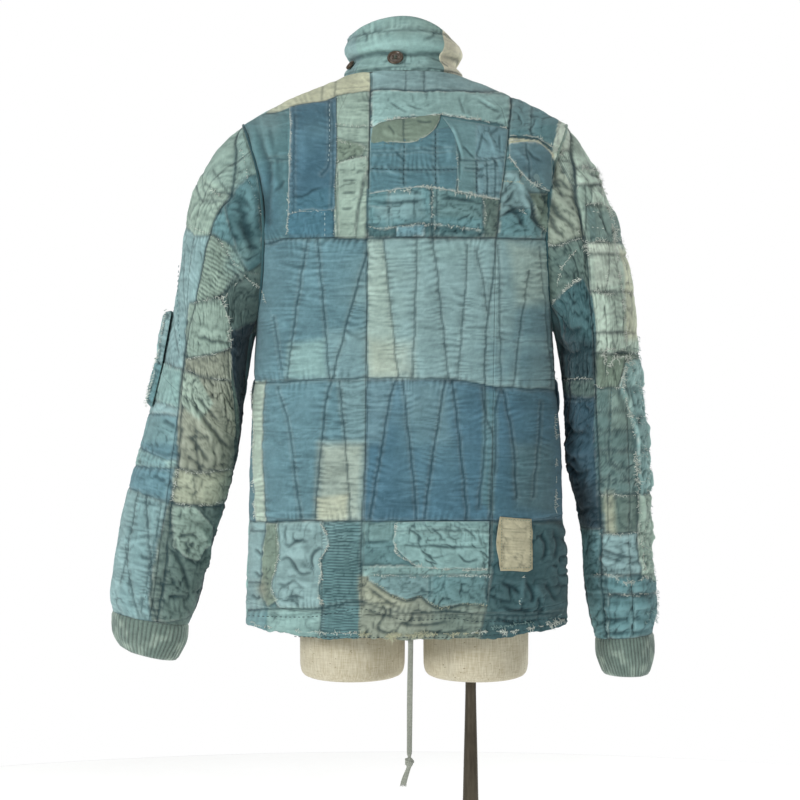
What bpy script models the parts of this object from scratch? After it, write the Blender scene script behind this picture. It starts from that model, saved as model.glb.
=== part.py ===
"""A patched boro jacket, worn by a limbless dress form on a pole stand.

Metres, +Z up. The origin is on the floor, under the middle of the base plate. The wearer faces -Y, so
the back panels face +Y and the wearer's left sleeve is on +X.

The torso is a stack of superellipse rings. A girth line is a vertical line round it, numbered from 0 at
the left edge of the back to 8 at its right edge, and on round the front to 18; a level is the height of
a ring at the side seam. Each panel is a rectangle of girth lines and levels, given a wall. A sleeve is a
stack of tilted rings that starts on the armhole, and its panels are rectangles of angles and rings.
"""

import math
from collections import namedtuple

import bmesh
import bpy
import numpy as np

# Cloth and clearances
SEAM_GAP = 0.0003
LIFT = 0.0003
PANEL_WALL = 0.004
PATCH_WALL = 0.0014
PATCH_GAP = 0.001
FLY_WALL = 0.003
POCKET_WALL = 0.0075
FLAP_WALL = 0.0035
CUFF_WALL = 0.003
CUFF_GAP = 0.0008

# Small steps in height, angle, degrees and sleeve rings, for normals by differences
STEP = 0.0005
TURN_STEP = 0.01
SLEEVE_TURN = 2.0
SLEEVE_STEP = 0.02

# Two walls that share a seam split its edge faces the same way: from the end that lies first this way
RIM_ORDER = (0.31, 0.17, 0.93)

# Levels: heights of the horizontal seams at the side seam
HEM = 0.758
CASING_TOP = 0.788
LABEL_BOTTOM = 0.833
BAND_TOP = 0.893
POCKET_TOP = 1.018
MID_SEAM = 1.061
UNDERARM = 1.121
YOKE_SEAM = 1.231
SHOULDER = 1.376
NECK = 1.434

# The armhole is an oval seen from the side
ARMHOLE_MIDDLE = (UNDERARM + SHOULDER) / 2
ARMHOLE_HALF_HEIGHT = (SHOULDER - UNDERARM) / 2
ARMHOLE_HALF_BACK = 0.068
ARMHOLE_HALF_FRONT = 0.072
YOKE_ANGLE = math.degrees(math.acos((YOKE_SEAM - ARMHOLE_MIDDLE) / ARMHOLE_HALF_HEIGHT))
ARMHOLE_ANGLES = (0, 14, 28, 42, 57, 72, 85, YOKE_ANGLE, 118, 140, 160, 180)
SLEEVE_SEAM = 42

TorsoRing = namedtuple("TorsoRing", "side_z back_z front_z half_width back_y front_y squareness shift")
TORSO = (
    TorsoRing(HEM, 0.751, 0.748, 0.2005, 0.121, 0.127, 2.5, -0.0025),
    TorsoRing(CASING_TOP, 0.781, 0.778, 0.2005, 0.125, 0.130, 2.5, -0.0025),
    TorsoRing(BAND_TOP, 0.893, 0.890, 0.1965, 0.127, 0.132, 2.4, -0.0015),
    TorsoRing(0.975, 0.975, 0.972, 0.1935, 0.126, 0.131, 2.4, -0.0010),
    TorsoRing(MID_SEAM, 1.061, 1.058, 0.1885, 0.127, 0.132, 2.4, 0.0),
    TorsoRing(UNDERARM, 1.121, 1.117, 0.1850, 0.130, 0.134, 2.35, 0.0),
    TorsoRing(YOKE_SEAM, 1.231, 1.222, 0.1915, 0.131, 0.130, 2.3, 0.0),
    TorsoRing(1.310, 1.300, 1.283, 0.1960, 0.1285, 0.128, 2.2, 0.0),
    TorsoRing(SHOULDER, 1.352, 1.322, 0.2010, 0.1185, 0.117, 2.1, 0.0),
    TorsoRing(1.398, 1.379, 1.338, 0.1620, 0.1095, 0.109, 2.05, 0.001),
    TorsoRing(1.417, 1.405, 1.355, 0.1200, 0.097, 0.097, 2.0, 0.002),
    TorsoRing(NECK, 1.4353, 1.375, 0.0745, 0.0745, 0.077, 2.0, 0.002),
)

# Girth lines 1 to 7 across the back: x of each vertical seam or patch edge, at a few levels
BackLines = namedtuple(
    "BackLines", "level left_outer left_inner left_seam middle right_inner right_seam right_outer"
)
BACK_LINES = (
    BackLines(HEM, 0.157, 0.099, 0.0525, 0.004, -0.046, -0.096, -0.152),
    BackLines(BAND_TOP, 0.155, 0.099, 0.0480, 0.004, -0.048, -0.106, -0.152),
    BackLines(MID_SEAM, 0.147, 0.090, 0.0464, 0.004, -0.050, -0.106, -0.160),
    BackLines(YOKE_SEAM, 0.1395, 0.078, 0.0440, 0.000, -0.055, -0.110, -0.168),
    BackLines(SHOULDER, 0.134, 0.0815, 0.0420, -0.005, -0.060, -0.124, -0.168),
    BackLines(1.398, 0.117, 0.078, 0.0420, -0.004, -0.058, -0.117, -0.143),
    BackLines(1.417, 0.092, 0.068, 0.0420, -0.003, -0.054, -0.094, -0.108),
    BackLines(NECK, 0.064, 0.056, 0.0418, -0.002, -0.049, -0.063, -0.0695),
)
LEFT_EDGE, LEFT_OUTER, LEFT_INNER, LEFT_SEAM, MIDDLE = range(5)
RIGHT_INNER, RIGHT_SEAM, RIGHT_OUTER, RIGHT_EDGE = range(5, 9)

# Girth lines 8 to 18 across the front, as shares of the way from the side edge to the middle
FRONT_SHARES = (0.0, 0.10, 0.37, 0.64, 0.92, 1.0)
FRONT_MIDDLE = 13
FRONT_LEFT_EDGE = 18
PLACKET_LINES = (12, 14)
POCKET_LINES = {"right": (9, 11), "left": (15, 17)}

CELLS_BETWEEN_LINES = (3, 2, 1, 2, 2, 2, 2, 2, 1, 2, 2, 2, 1, 1, 2, 2, 2, 1)
OLIVE_PATCH_TOP = 1.387
BLUE_PATCH_TOP = 1.398
FORM_NECK_LINE = 1.417
PLAIN_LEVELS = (
    HEM, CASING_TOP, LABEL_BOTTOM, BAND_TOP, 0.935, 0.975, POCKET_TOP, MID_SEAM,
    OLIVE_PATCH_TOP, BLUE_PATCH_TOP, 1.4075, FORM_NECK_LINE, NECK,
)
# The armhole angles whose levels bound the patches on the yoke, from the lowest up
YOKE_PATCH_ANGLES = (85, 72, 28)

# A ring of a sleeve runs from its outer point to its inner one. seam is the angle from the outer point
# to the seam behind it, and forward moves the whole ring towards -Y as the arm bends.
SleeveRing = namedtuple("SleeveRing", "outer_x outer_z inner_x inner_z half_depth forward seam")
SLEEVES = {
    "left": (
        SleeveRing(0.2010, 1.3760, 0.1850, 1.1210, 0.070, 0.000, 42),
        SleeveRing(0.2330, 1.3480, 0.1885, 1.1080, 0.074, -0.001, 42),
        SleeveRing(0.2570, 1.3080, 0.1920, 1.0900, 0.073, -0.002, 43),
        SleeveRing(0.2700, 1.2650, 0.1960, 1.0660, 0.071, -0.002, 46),
        SleeveRing(0.2790, 1.2100, 0.2000, 1.0420, 0.067, -0.001, 51),
        SleeveRing(0.2900, 1.1450, 0.2030, 1.0180, 0.063, 0.002, 58),
        SleeveRing(0.3060, 1.0700, 0.2075, 0.9850, 0.060, 0.006, 66),
        SleeveRing(0.3265, 0.9995, 0.2145, 0.9473, 0.057, 0.012, 75),
        SleeveRing(0.3475, 0.9257, 0.2277, 0.9005, 0.054, 0.019, 84),
        SleeveRing(0.3636, 0.8575, 0.2445, 0.8475, 0.051, 0.026, 90),
        SleeveRing(0.3745, 0.7925, 0.2600, 0.7850, 0.047, 0.032, 94),
        SleeveRing(0.3720, 0.7660, 0.2755, 0.7490, 0.042, 0.035, 94),
    ),
    "right": (
        SleeveRing(0.2010, 1.3760, 0.1850, 1.1210, 0.070, 0.000, 42),
        SleeveRing(0.2190, 1.3520, 0.1885, 1.1080, 0.074, -0.001, 42),
        SleeveRing(0.2400, 1.3120, 0.1920, 1.0880, 0.073, -0.002, 43),
        SleeveRing(0.2585, 1.2680, 0.1955, 1.0640, 0.071, -0.002, 45),
        SleeveRing(0.2760, 1.2150, 0.1985, 1.0370, 0.067, -0.001, 48),
        SleeveRing(0.2865, 1.1550, 0.2005, 1.0080, 0.063, 0.002, 52),
        SleeveRing(0.2920, 1.0850, 0.2020, 0.9760, 0.060, 0.006, 57),
        SleeveRing(0.3004, 1.0146, 0.2069, 0.9422, 0.057, 0.012, 62),
        SleeveRing(0.3077, 0.9337, 0.2161, 0.9035, 0.054, 0.019, 68),
        SleeveRing(0.3090, 0.8575, 0.2247, 0.8495, 0.051, 0.026, 74),
        SleeveRing(0.3190, 0.7810, 0.2328, 0.7740, 0.047, 0.032, 78),
        SleeveRing(0.3155, 0.7385, 0.2425, 0.7325, 0.042, 0.035, 80),
    ),
}
SLEEVE_END = 11
SLEEVE_SPLIT = 6
SLEEVE_STEPS = (0, 0.6, 1.2, 2, 3, 4, 5, 5.8, SLEEVE_SPLIT, 6.6, 7.5, 8.5, 9.5, 10.3, SLEEVE_END)
ARMHOLE_BLEND = 1.6

# Cuffs: rib-knit tubes whose rings go on from the sleeve's last one
CuffRing = namedtuple("CuffRing", "outer_x outer_z inner_x inner_z half_depth forward")
CUFFS = {
    "left": (
        CuffRing(0.3720, 0.7660, 0.2755, 0.7490, 0.0420, 0.0350),
        CuffRing(0.3712, 0.7395, 0.2785, 0.7265, 0.0400, 0.0365),
        CuffRing(0.3610, 0.7195, 0.2900, 0.7020, 0.0355, 0.0380),
    ),
    "right": (
        CuffRing(0.3155, 0.7385, 0.2425, 0.7325, 0.0420, 0.0350),
        CuffRing(0.3165, 0.7120, 0.2440, 0.7100, 0.0400, 0.0365),
        CuffRing(0.3105, 0.6850, 0.2520, 0.6850, 0.0355, 0.0380),
    ),
}
CUFF_SIDES = 24
CUFF_RINGS = 4

# The collar stands on the neck seam: rise of each ring at the back, sides and front, and how far it leans
# out from the neck seam
CollarRing = namedtuple("CollarRing", "back_rise left_rise right_rise front_rise lean")
COLLAR = (
    CollarRing(0.0, 0.0, 0.0, 0.0, 0.0),
    CollarRing(0.008, 0.006, 0.005, 0.008, -0.0010),
    CollarRing(0.021, 0.016, 0.013, 0.020, -0.0095),
    CollarRing(0.027, 0.021, 0.017, 0.026, -0.0085),
    CollarRing(0.044, 0.034, 0.027, 0.044, -0.0020),
    CollarRing(0.066, 0.048, 0.038, 0.066, -0.0045),
)

# The dress form fills the jacket at the shoulders and stands clear below: its clearance from the panels'
# inner faces, as (level, clearance) pairs
FORM_BOTTOM = 0.815
FORM_HIP = 0.827
FORM_WAIST = 0.850
FORM_NECK_ROOT = 1.4275
FORM_CLEARANCE = (
    (FORM_BOTTOM, 0.044), (BAND_TOP, 0.030), (0.975, 0.038), (MID_SEAM, 0.043), (UNDERARM, 0.035),
    (YOKE_SEAM, 0.026), (1.310, 0.014), (1.350, 0.010), (SHOULDER, 0.008), (1.387, 0.0018), (1.398, LIFT),
    (FORM_NECK_LINE, LIFT), (FORM_NECK_ROOT, 0.004),
)
FORM_SHIFT = -0.011
FORM_UNDERSIDE_SHARE = 0.9
NECK_HALF_WIDTH = 0.058
NECK_HALF_DEPTH = 0.056
NECK_SHIFT = 0.002
NECK_TOP = 1.452
# The neck cap as (radius, height above the neck) pairs
CAP_PROFILE = ((0.050, 0.0), (0.052, 0.002), (0.051, 0.006), (0.044, 0.009), (0.020, 0.010), (0.002, 0.0104))
THIGHS = (0.0659, -0.0888)
THIGH_HALF_WIDTH = 0.0655
THIGH_HALF_DEPTH = 0.076
THIGH_BOTTOM = 0.690
# A thigh stub as (share of its half width and depth, height above its bottom) pairs
THIGH_PROFILE = ((0.86, 0.0), (0.955, 0.0025), (1.0, 0.011), (1.005, 0.06), (1.0, 0.18))
THIGH_SIDES = 28

# The stand's turned profiles, as (radius, height) pairs from the bottom up
POLE_X = -0.0825
BASE_PROFILE = ((0.183, 0.0), (0.185, 0.002), (0.185, 0.006), (0.181, 0.008))
BOSS_PROFILE = ((0.026, 0.0083), (0.026, 0.011), (0.020, 0.016), (0.018, 0.030))
POLE_PROFILE = (
    (0.0105, 0.0303), (0.0105, 0.300), (0.0104, 0.505), (0.0099, 0.535), (0.0078, 0.620), (0.0067, 0.670),
    (0.0067, THIGH_BOTTOM - LIFT),
)

# Collar buttons: radius, and place round the neck as an angle in half turns
COLLAR_BUTTONS = {"back": (0.0100, 0.457), "side": (0.0065, 0.130)}
BUTTON_THICKNESS = 0.0032
BUTTON_SIDES = 20
# A button as (share of its radius, share of its thickness) pairs
BUTTON_PROFILE = ((0.80, 0.0), (1.0, 0.3), (0.97, 0.8), (0.82, 1.0), (0.62, 0.62), (0.1, 0.55))

# Drawstring: a flat tape that hangs from inside the hem casing near the middle of the back, as a tube,
# and its knot and frayed tail as rings
TAPE_WIDTH = 0.007
TAPE_ROUTE = (
    (-0.0068, 0.1131, 0.7570), (-0.0068, 0.1131, 0.7480), (-0.0067, 0.1130, 0.7350),
    (-0.0064, 0.1129, 0.7200), (-0.0061, 0.1128, 0.7050), (-0.0059, 0.1127, 0.6900),
    (-0.0057, 0.1126, 0.6750), (-0.0056, 0.1125, 0.6600), (-0.0055, 0.1124, 0.6450),
    (-0.0054, 0.1124, 0.6300), (-0.0053, 0.1124, 0.6160), (-0.0052, 0.1124, 0.6075),
)
KNOT_Y = 0.1124
KNOT_SIDES = 10
KnotRing = namedtuple("KnotRing", "x z half_width half_depth")
KNOT = (
    KnotRing(-0.0052, 0.6072, 0.0011, 0.0011),
    KnotRing(-0.0052, 0.6061, 0.0034, 0.0034),
    KnotRing(-0.0052, 0.6032, 0.0057, 0.0057),
    KnotRing(-0.0052, 0.5998, 0.0054, 0.0054),
    KnotRing(-0.0050, 0.5969, 0.0034, 0.0034),
    KnotRing(-0.0035, 0.5930, 0.0029, 0.0020),
    KnotRing(0.0000, 0.5830, 0.0037, 0.0020),
    KnotRing(0.0024, 0.5725, 0.0040, 0.0020),
)

Colour = namedtuple("Colour", "red green blue roughness metallic")
PALE_BLUE = Colour(0.27, 0.45, 0.50, 0.9, 0.0)
MID_BLUE = Colour(0.14, 0.28, 0.37, 0.9, 0.0)
DARK_BLUE = Colour(0.08, 0.19, 0.28, 0.9, 0.0)
TEAL = Colour(0.16, 0.32, 0.33, 0.9, 0.0)
PALE_TEAL = Colour(0.28, 0.46, 0.44, 0.9, 0.0)
SAGE = Colour(0.36, 0.44, 0.34, 0.9, 0.0)
OLIVE = Colour(0.27, 0.28, 0.19, 0.9, 0.0)
CREAM = Colour(0.55, 0.58, 0.44, 0.9, 0.0)
NAVY = Colour(0.02, 0.05, 0.08, 0.9, 0.0)
RIB = Colour(0.20, 0.33, 0.30, 0.95, 0.0)
LINEN = Colour(0.60, 0.52, 0.40, 0.85, 0.0)
COTTON = Colour(0.72, 0.70, 0.60, 0.9, 0.0)
TAPE_GREY = Colour(0.34, 0.38, 0.37, 0.85, 0.0)
HORN = Colour(0.06, 0.03, 0.02, 0.4, 0.0)
STEEL = Colour(0.16, 0.14, 0.11, 0.35, 0.9)
WOOD = Colour(0.35, 0.22, 0.12, 0.5, 0.0)


def unit(vectors):
    return vectors / np.linalg.norm(vectors, axis=-1, keepdims=True)


def smooth(at, places, values, kink=None):
    """A cubic through the values, with each place's slope taken from its two neighbours. At the kink the
    slopes on its two sides are taken apart, so that the curve may turn sharply there."""
    if kink is not None:
        split = places.index(kink)
        low = smooth(at, places[:split + 1], values[:split + 1])
        high = smooth(at, places[split:], values[split:])
        return np.where(np.asarray(at) <= kink, low, high)
    x, y = np.array(places), np.array(values)
    slope = np.gradient(y, x)
    cell = np.clip(np.searchsorted(x, at, side="right") - 1, 0, len(x) - 2)
    width = x[cell + 1] - x[cell]
    t = (at - x[cell]) / width
    return (
        (2 * t**3 - 3 * t**2 + 1) * y[cell]
        + (t**3 - 2 * t**2 + t) * width * slope[cell]
        + (3 * t**2 - 2 * t**3) * y[cell + 1]
        + (t**3 - t**2) * width * slope[cell + 1]
    )


def torso_column(name, levels):
    """One column of the torso's table, at any levels. Only the width turns sharply, at the shoulder."""
    places = [ring.side_z for ring in TORSO]
    values = [getattr(ring, name) for ring in TORSO]
    return smooth(levels, places, values, kink=SHOULDER if name == "half_width" else None)


def torso_point(theta, level):
    """Points on the jacket's outer face. Each ring is |x / half_width|^n + |y / depth|^n = 1, and its
    height runs from side_z at the sides to back_z or front_z at the middle with the square of sin."""
    cosine, sine = np.cos(theta), np.sin(theta)
    back = sine >= 0
    power = 2 / torso_column("squareness", level)
    depth = np.where(back, torso_column("back_y", level), torso_column("front_y", level))
    middle = np.where(back, torso_column("back_z", level), torso_column("front_z", level))
    reach = np.sign(cosine) * np.abs(cosine) ** power
    x = torso_column("shift", level) + torso_column("half_width", level) * reach
    y = depth * np.sign(sine) * np.abs(sine) ** power
    z = level + (middle - level) * sine**2
    return np.stack([x, y, z], axis=-1)


def torso_outward(theta, level):
    """Unit normals of torso_point, pointing out of the jacket, by central differences."""
    low = np.clip(level - STEP, HEM, NECK)
    high = np.clip(level + STEP, HEM, NECK)
    around = torso_point(theta + TURN_STEP, level) - torso_point(theta - TURN_STEP, level)
    upward = torso_point(theta, high) - torso_point(theta, low)
    return unit(np.cross(around, upward))


def armhole_level(angle):
    """The level of a point of the armhole, from its angle in degrees."""
    return ARMHOLE_MIDDLE + ARMHOLE_HALF_HEIGHT * np.cos(np.radians(angle))


def armhole_theta(level, front):
    """The angle on the torso's ring at which the armhole's oval cuts it, or 0 above and below it."""
    height = np.clip((level - ARMHOLE_MIDDLE) / ARMHOLE_HALF_HEIGHT, -1, 1)
    half = ARMHOLE_HALF_FRONT if front else ARMHOLE_HALF_BACK
    depth = torso_column("front_y" if front else "back_y", level)
    reach = half * np.sqrt(1 - height**2) / depth
    return np.arcsin(reach ** (torso_column("squareness", level) / 2))


def armhole_point(angle, side):
    """Points round the armhole. The angle is 0 at the shoulder, 180 at the underarm, and positive behind."""
    level = armhole_level(angle)
    behind = armhole_theta(level, False)
    before = -armhole_theta(level, True)
    theta = np.where(np.asarray(angle) >= 0, behind, before)
    if side == "right":
        theta = np.pi - theta
    return theta, level


def girth_theta(positions, level, front):
    """The torso's angle at each girth position, on one level. A position between two girth lines is
    the same share of the way between their angles."""
    edge = float(armhole_theta(level, front))
    if front:
        from_right = [np.pi + edge + share * (np.pi / 2 - edge) for share in FRONT_SHARES]
        from_left = [3 * np.pi - angle for angle in reversed(from_right[:-1])]
        lines = from_right + from_left
        return np.interp(positions, np.arange(RIGHT_EDGE, FRONT_LEFT_EDGE + 1), lines)
    places = [row.level for row in BACK_LINES]
    half_width = torso_column("half_width", level)
    shift = torso_column("shift", level)
    power = torso_column("squareness", level) / 2
    lines = [edge]
    for name in BackLines._fields[1:]:
        share = (np.interp(level, places, [getattr(row, name) for row in BACK_LINES]) - shift) / half_width
        lines.append(math.acos(math.copysign(abs(share) ** power, share)))
    lines.append(np.pi - edge)
    return np.interp(positions, np.arange(RIGHT_EDGE + 1), lines)


def columns_between(first, last):
    """The girth positions of the grid's columns from one girth line to another."""
    found = [float(first)]
    for line in range(first, last):
        cells = CELLS_BETWEEN_LINES[line]
        found += [line + (step + 1) / cells for step in range(cells)]
    return np.array(found)


def levels_between(low, high):
    """The levels of the grid's rows, the armhole's own points among them."""
    at_armhole = tuple(float(armhole_level(angle)) for angle in ARMHOLE_ANGLES)
    found = sorted({round(level, 5) for level in PLAIN_LEVELS + at_armhole})
    return np.array([level for level in found if low - STEP < level < high + STEP])


def torso_grid(first, last, low, high):
    """Points on the outer face and the directions into the cloth, for a rectangle of the torso."""
    front = first >= RIGHT_EDGE
    columns, levels = columns_between(first, last), levels_between(low, high)
    thetas = np.stack([girth_theta(columns, level, front) for level in levels])
    level_grid = np.broadcast_to(levels[:, None], thetas.shape)
    points = torso_point(thetas, level_grid)
    inward = -torso_outward(thetas, level_grid)
    for column, line in ((0, first), (-1, last)):
        if line not in (LEFT_EDGE, RIGHT_EDGE, FRONT_LEFT_EDGE):
            continue
        side = "right" if line == RIGHT_EDGE else "left"
        for row, level in enumerate(levels):
            if UNDERARM - STEP < level < SHOULDER + STEP:
                height = np.clip((level - ARMHOLE_MIDDLE) / ARMHOLE_HALF_HEIGHT, -1, 1)
                angle = math.degrees(math.acos(height)) * (-1 if front else 1)
                sleeve = -sleeve_outward(np.array(angle), 0.0, side)
                inward[row, column] = mitred(inward[row, column], sleeve)
    if high >= NECK - STEP:
        inward[-1] = mitred(inward[-1], -collar_outward(thetas[-1], 0.0))
    return points, inward


def mitred(own, other):
    """The direction into the cloth at a seam, unit length. Walls that run on into each other share it, so
    that their edges meet face to face; walls that turn far apart each keep their own. In between, the
    share rises smoothly with the cosine of the angle between them, from -0.1 to 0.5."""
    facing = np.clip((np.sum(own * other, axis=-1, keepdims=True) + 0.1) / 0.6, 0, 1)
    share = facing**2 * (3 - 2 * facing)
    return unit(own + share * other)


def sleeve_angle(angle, seam):
    """The angle round a sleeve's ring. The seam starts at SLEEVE_SEAM on the armhole and drifts."""
    size = np.abs(angle)
    outer = size / SLEEVE_SEAM * seam
    inner = seam + (size - SLEEVE_SEAM) / (180 - SLEEVE_SEAM) * (180 - seam)
    return np.radians(np.sign(angle) * np.where(size <= SLEEVE_SEAM, outer, inner))


def ring_point(phi, row):
    """A tilted ring: its middle, plus cos times half the line from inner to outer point, plus sin times
    the half depth along Y."""
    across = np.cos(phi)
    x = (row["outer_x"] + row["inner_x"]) / 2 + across * (row["outer_x"] - row["inner_x"]) / 2
    z = (row["outer_z"] + row["inner_z"]) / 2 + across * (row["outer_z"] - row["inner_z"]) / 2
    y = np.sin(phi) * row["half_depth"] - row["forward"]
    return np.stack(np.broadcast_arrays(x, y, z), axis=-1)


def ring_row(table, step):
    """A table's columns at any step along it."""
    places = list(range(len(table)))
    return {name: smooth(step, places, [getattr(ring, name) for ring in table]) for name in table[0]._fields}


def mirrored(points, side):
    return points * np.array([-1.0, 1.0, 1.0]) if side == "right" else points


def sleeve_point(angle, step, side):
    """Points on a sleeve's outer face. Near the armhole the ring bends onto the torso's edge."""
    row = ring_row(SLEEVES[side], step)
    first = ring_row(SLEEVES[side], 0.0)
    ring = ring_point(sleeve_angle(angle, row["seam"]), row)
    start = ring_point(sleeve_angle(angle, first["seam"]), first)
    armhole = mirrored(torso_point(*armhole_point(angle, side)), side)
    share = np.clip(1 - np.asarray(step) / ARMHOLE_BLEND, 0, 1)
    share = (share**2 * (3 - 2 * share))[..., None]
    return mirrored(ring + share * (armhole - start), side)


def sleeve_outward(angle, step, side):
    """Unit normals of sleeve_point, pointing out of the sleeve."""
    angle = np.asarray(angle, float)
    ahead = np.clip(angle + SLEEVE_TURN, -180, 180)
    behind = np.clip(angle - SLEEVE_TURN, -180, 180)
    around = sleeve_point(ahead, step, side) - sleeve_point(behind, step, side)
    low = np.clip(np.asarray(step) - SLEEVE_STEP, 0, SLEEVE_END)
    high = np.clip(np.asarray(step) + SLEEVE_STEP, 0, SLEEVE_END)
    along = sleeve_point(angle, high, side) - sleeve_point(angle, low, side)
    outward = unit(np.cross(along, around))
    return -outward if side == "right" else outward


def sleeve_grid(first, last, start, end, side):
    """Points and directions into the cloth, for a rectangle of a sleeve."""
    angles = sorted({sign * angle for angle in ARMHOLE_ANGLES for sign in (-1, 1)})
    angles = np.array([angle for angle in angles if first - 0.5 < angle < last + 0.5])
    steps = np.array([step for step in SLEEVE_STEPS if start - 0.01 < step < end + 0.01])
    angle_grid, step_grid = np.meshgrid(angles, steps)
    points = sleeve_point(angle_grid, step_grid, side)
    inward = -sleeve_outward(angle_grid, step_grid, side)
    if start == 0:
        theta, level = armhole_point(angles, side)
        inward[0] = mitred(inward[0], -torso_outward(theta, level))
    return points, inward


def collar_point(theta, step):
    """Points on the collar's outer face: the neck seam, raised and leant out or in."""
    row = ring_row(COLLAR, step)
    seam = torso_point(theta, NECK)
    sine, cosine = np.sin(theta), np.cos(theta)
    middle = np.where(sine >= 0, row["back_rise"], row["front_rise"])
    side = np.where(cosine >= 0, row["left_rise"], row["right_rise"])
    outward = np.stack([cosine, sine, np.zeros_like(sine)], axis=-1)
    rise = np.stack([0 * sine, 0 * sine, middle * sine**2 + side * cosine**2], axis=-1)
    return seam + rise + outward * row["lean"]


def collar_outward(theta, step):
    low, high = np.clip([step - SLEEVE_STEP, step + SLEEVE_STEP], 0, len(COLLAR) - 1)
    around = collar_point(theta + TURN_STEP, step) - collar_point(theta - TURN_STEP, step)
    return unit(np.cross(around, collar_point(theta, high) - collar_point(theta, low)))


def material(name, colour):
    """A Principled material with the piece's own colour."""
    made = bpy.data.materials.new(name)
    made.use_nodes = True
    shader = made.node_tree.nodes["Principled BSDF"]
    shader.inputs["Base Color"].default_value = (colour.red, colour.green, colour.blue, 1)
    shader.inputs["Roughness"].default_value = colour.roughness
    shader.inputs["Metallic"].default_value = colour.metallic
    return made


def add_object(name, points, faces, colour, smooth_shaded=True):
    """A mesh object with its faces turned outwards."""
    mesh = bpy.data.meshes.new(name)
    mesh.from_pydata([tuple(map(float, point)) for point in points], [], faces)
    work = bmesh.new()
    work.from_mesh(mesh)
    bmesh.ops.recalc_face_normals(work, faces=work.faces)
    if work.calc_volume(signed=True) < 0:
        bmesh.ops.reverse_faces(work, faces=work.faces)
    work.to_mesh(mesh)
    work.free()
    if smooth_shaded:
        mesh.shade_smooth()
        mesh.set_sharp_from_angle(angle=math.radians(40))
    mesh.materials.append(material(name, colour))
    made = bpy.data.objects.new(name, mesh)
    bpy.context.scene.collection.objects.link(made)
    return made


def drawn_in(points, gap, round_closed):
    """A grid with its border rows and columns moved half a seam gap along the surface."""
    moved = points.copy()
    moved[0] += gap / 2 * unit(points[1] - points[0])
    moved[-1] += gap / 2 * unit(points[-2] - points[-1])
    if not round_closed:
        moved[:, 0] += gap / 2 * unit(points[:, 1] - points[:, 0])
        moved[:, -1] += gap / 2 * unit(points[:, -2] - points[:, -1])
    return moved


def add_wall(name, grid, wall, colour, lift=0.0, gap=SEAM_GAP, round_closed=False):
    """A closed wall on a grid of points. With no lift its outer face is the grid and the wall goes into
    the cloth; with a lift the wall stands on whatever has its outer face on the grid."""
    points, inward = grid
    if round_closed:
        points, inward = points[:, :-1], inward[:, :-1]
    outer_way = -(lift + wall) if lift else 0.0
    inner_way = -lift if lift else wall
    outer = drawn_in(points + outer_way * inward, gap, round_closed)
    inner = drawn_in(points + inner_way * inward, gap, round_closed)
    rows, columns = outer.shape[:2]
    count = rows * columns
    across = columns if round_closed else columns - 1
    faces = []
    for row in range(rows - 1):
        for column in range(across):
            a = row * columns + column
            b = row * columns + (column + 1) % columns
            c, d = b + columns, a + columns
            faces += [(a, b, c), (a, c, d)]
            faces += [(count + c, count + b, count + a), (count + d, count + c, count + a)]
    last_row = (rows - 1) * columns
    rims = [(column, (column + 1) % columns) for column in range(across)]
    rims += [(b + last_row, a + last_row) for a, b in rims]
    if not round_closed:
        rims += [(row * columns, (row + 1) * columns) for row in range(rows - 1)]
        rims += [((row + 1) * columns - 1, (row + 2) * columns - 1) for row in range(rows - 1)]
    along = outer.reshape(-1, 3) @ np.array(RIM_ORDER)
    for a, b in rims:
        a, b = (a, b) if along[a] < along[b] else (b, a)
        faces += [(a, b, count + b), (a, count + b, count + a)]
    return add_object(name, np.concatenate([outer.reshape(-1, 3), inner.reshape(-1, 3)]), faces, colour)


def add_rings(name, rings, colour):
    """A closed solid through rings of equally many points, capped at both ends."""
    count = len(rings[0])
    faces = [tuple(range(count)), tuple((len(rings) - 1) * count + k for k in range(count))]
    for row in range(len(rings) - 1):
        for k in range(count):
            a = row * count + k
            b = row * count + (k + 1) % count
            faces += [(a, b, b + count), (a, b + count, a + count)]
    return add_object(name, np.concatenate(rings), faces, colour)


def oval(middle, half_width, half_depth, sides):
    """A level ring of points: the middle, plus cos and sin of each angle times the half sizes."""
    angles = np.arange(sides) * 2 * np.pi / sides
    around = np.stack([half_width * np.cos(angles), half_depth * np.sin(angles), np.zeros(sides)], axis=-1)
    return np.array(middle) + around


def add_turned(name, profile, x, colour, sides=32):
    """A solid turned round the upright line at (x, 0), from (radius, height) pairs from its bottom up."""
    rings = [oval((x, 0.0, height), radius, radius, sides) for radius, height in profile]
    return add_rings(name, rings, colour)


def add_button(name, centre, outward, size, colour):
    """A round button with a raised rim, its back on the cloth at centre and its face along outward."""
    across = unit(np.cross(outward, (0.0, 0.0, 1.0)))
    upward = np.cross(across, outward)
    rings = []
    for radius, share in BUTTON_PROFILE:
        flat = oval((0.0, 0.0, 0.0), size * radius, size * radius, BUTTON_SIDES)
        rim = flat[:, :1] * across + flat[:, 1:2] * upward
        rings.append(centre + rim + (LIFT + share * BUTTON_THICKNESS) * outward)
    return add_rings(name, rings, colour)


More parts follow.
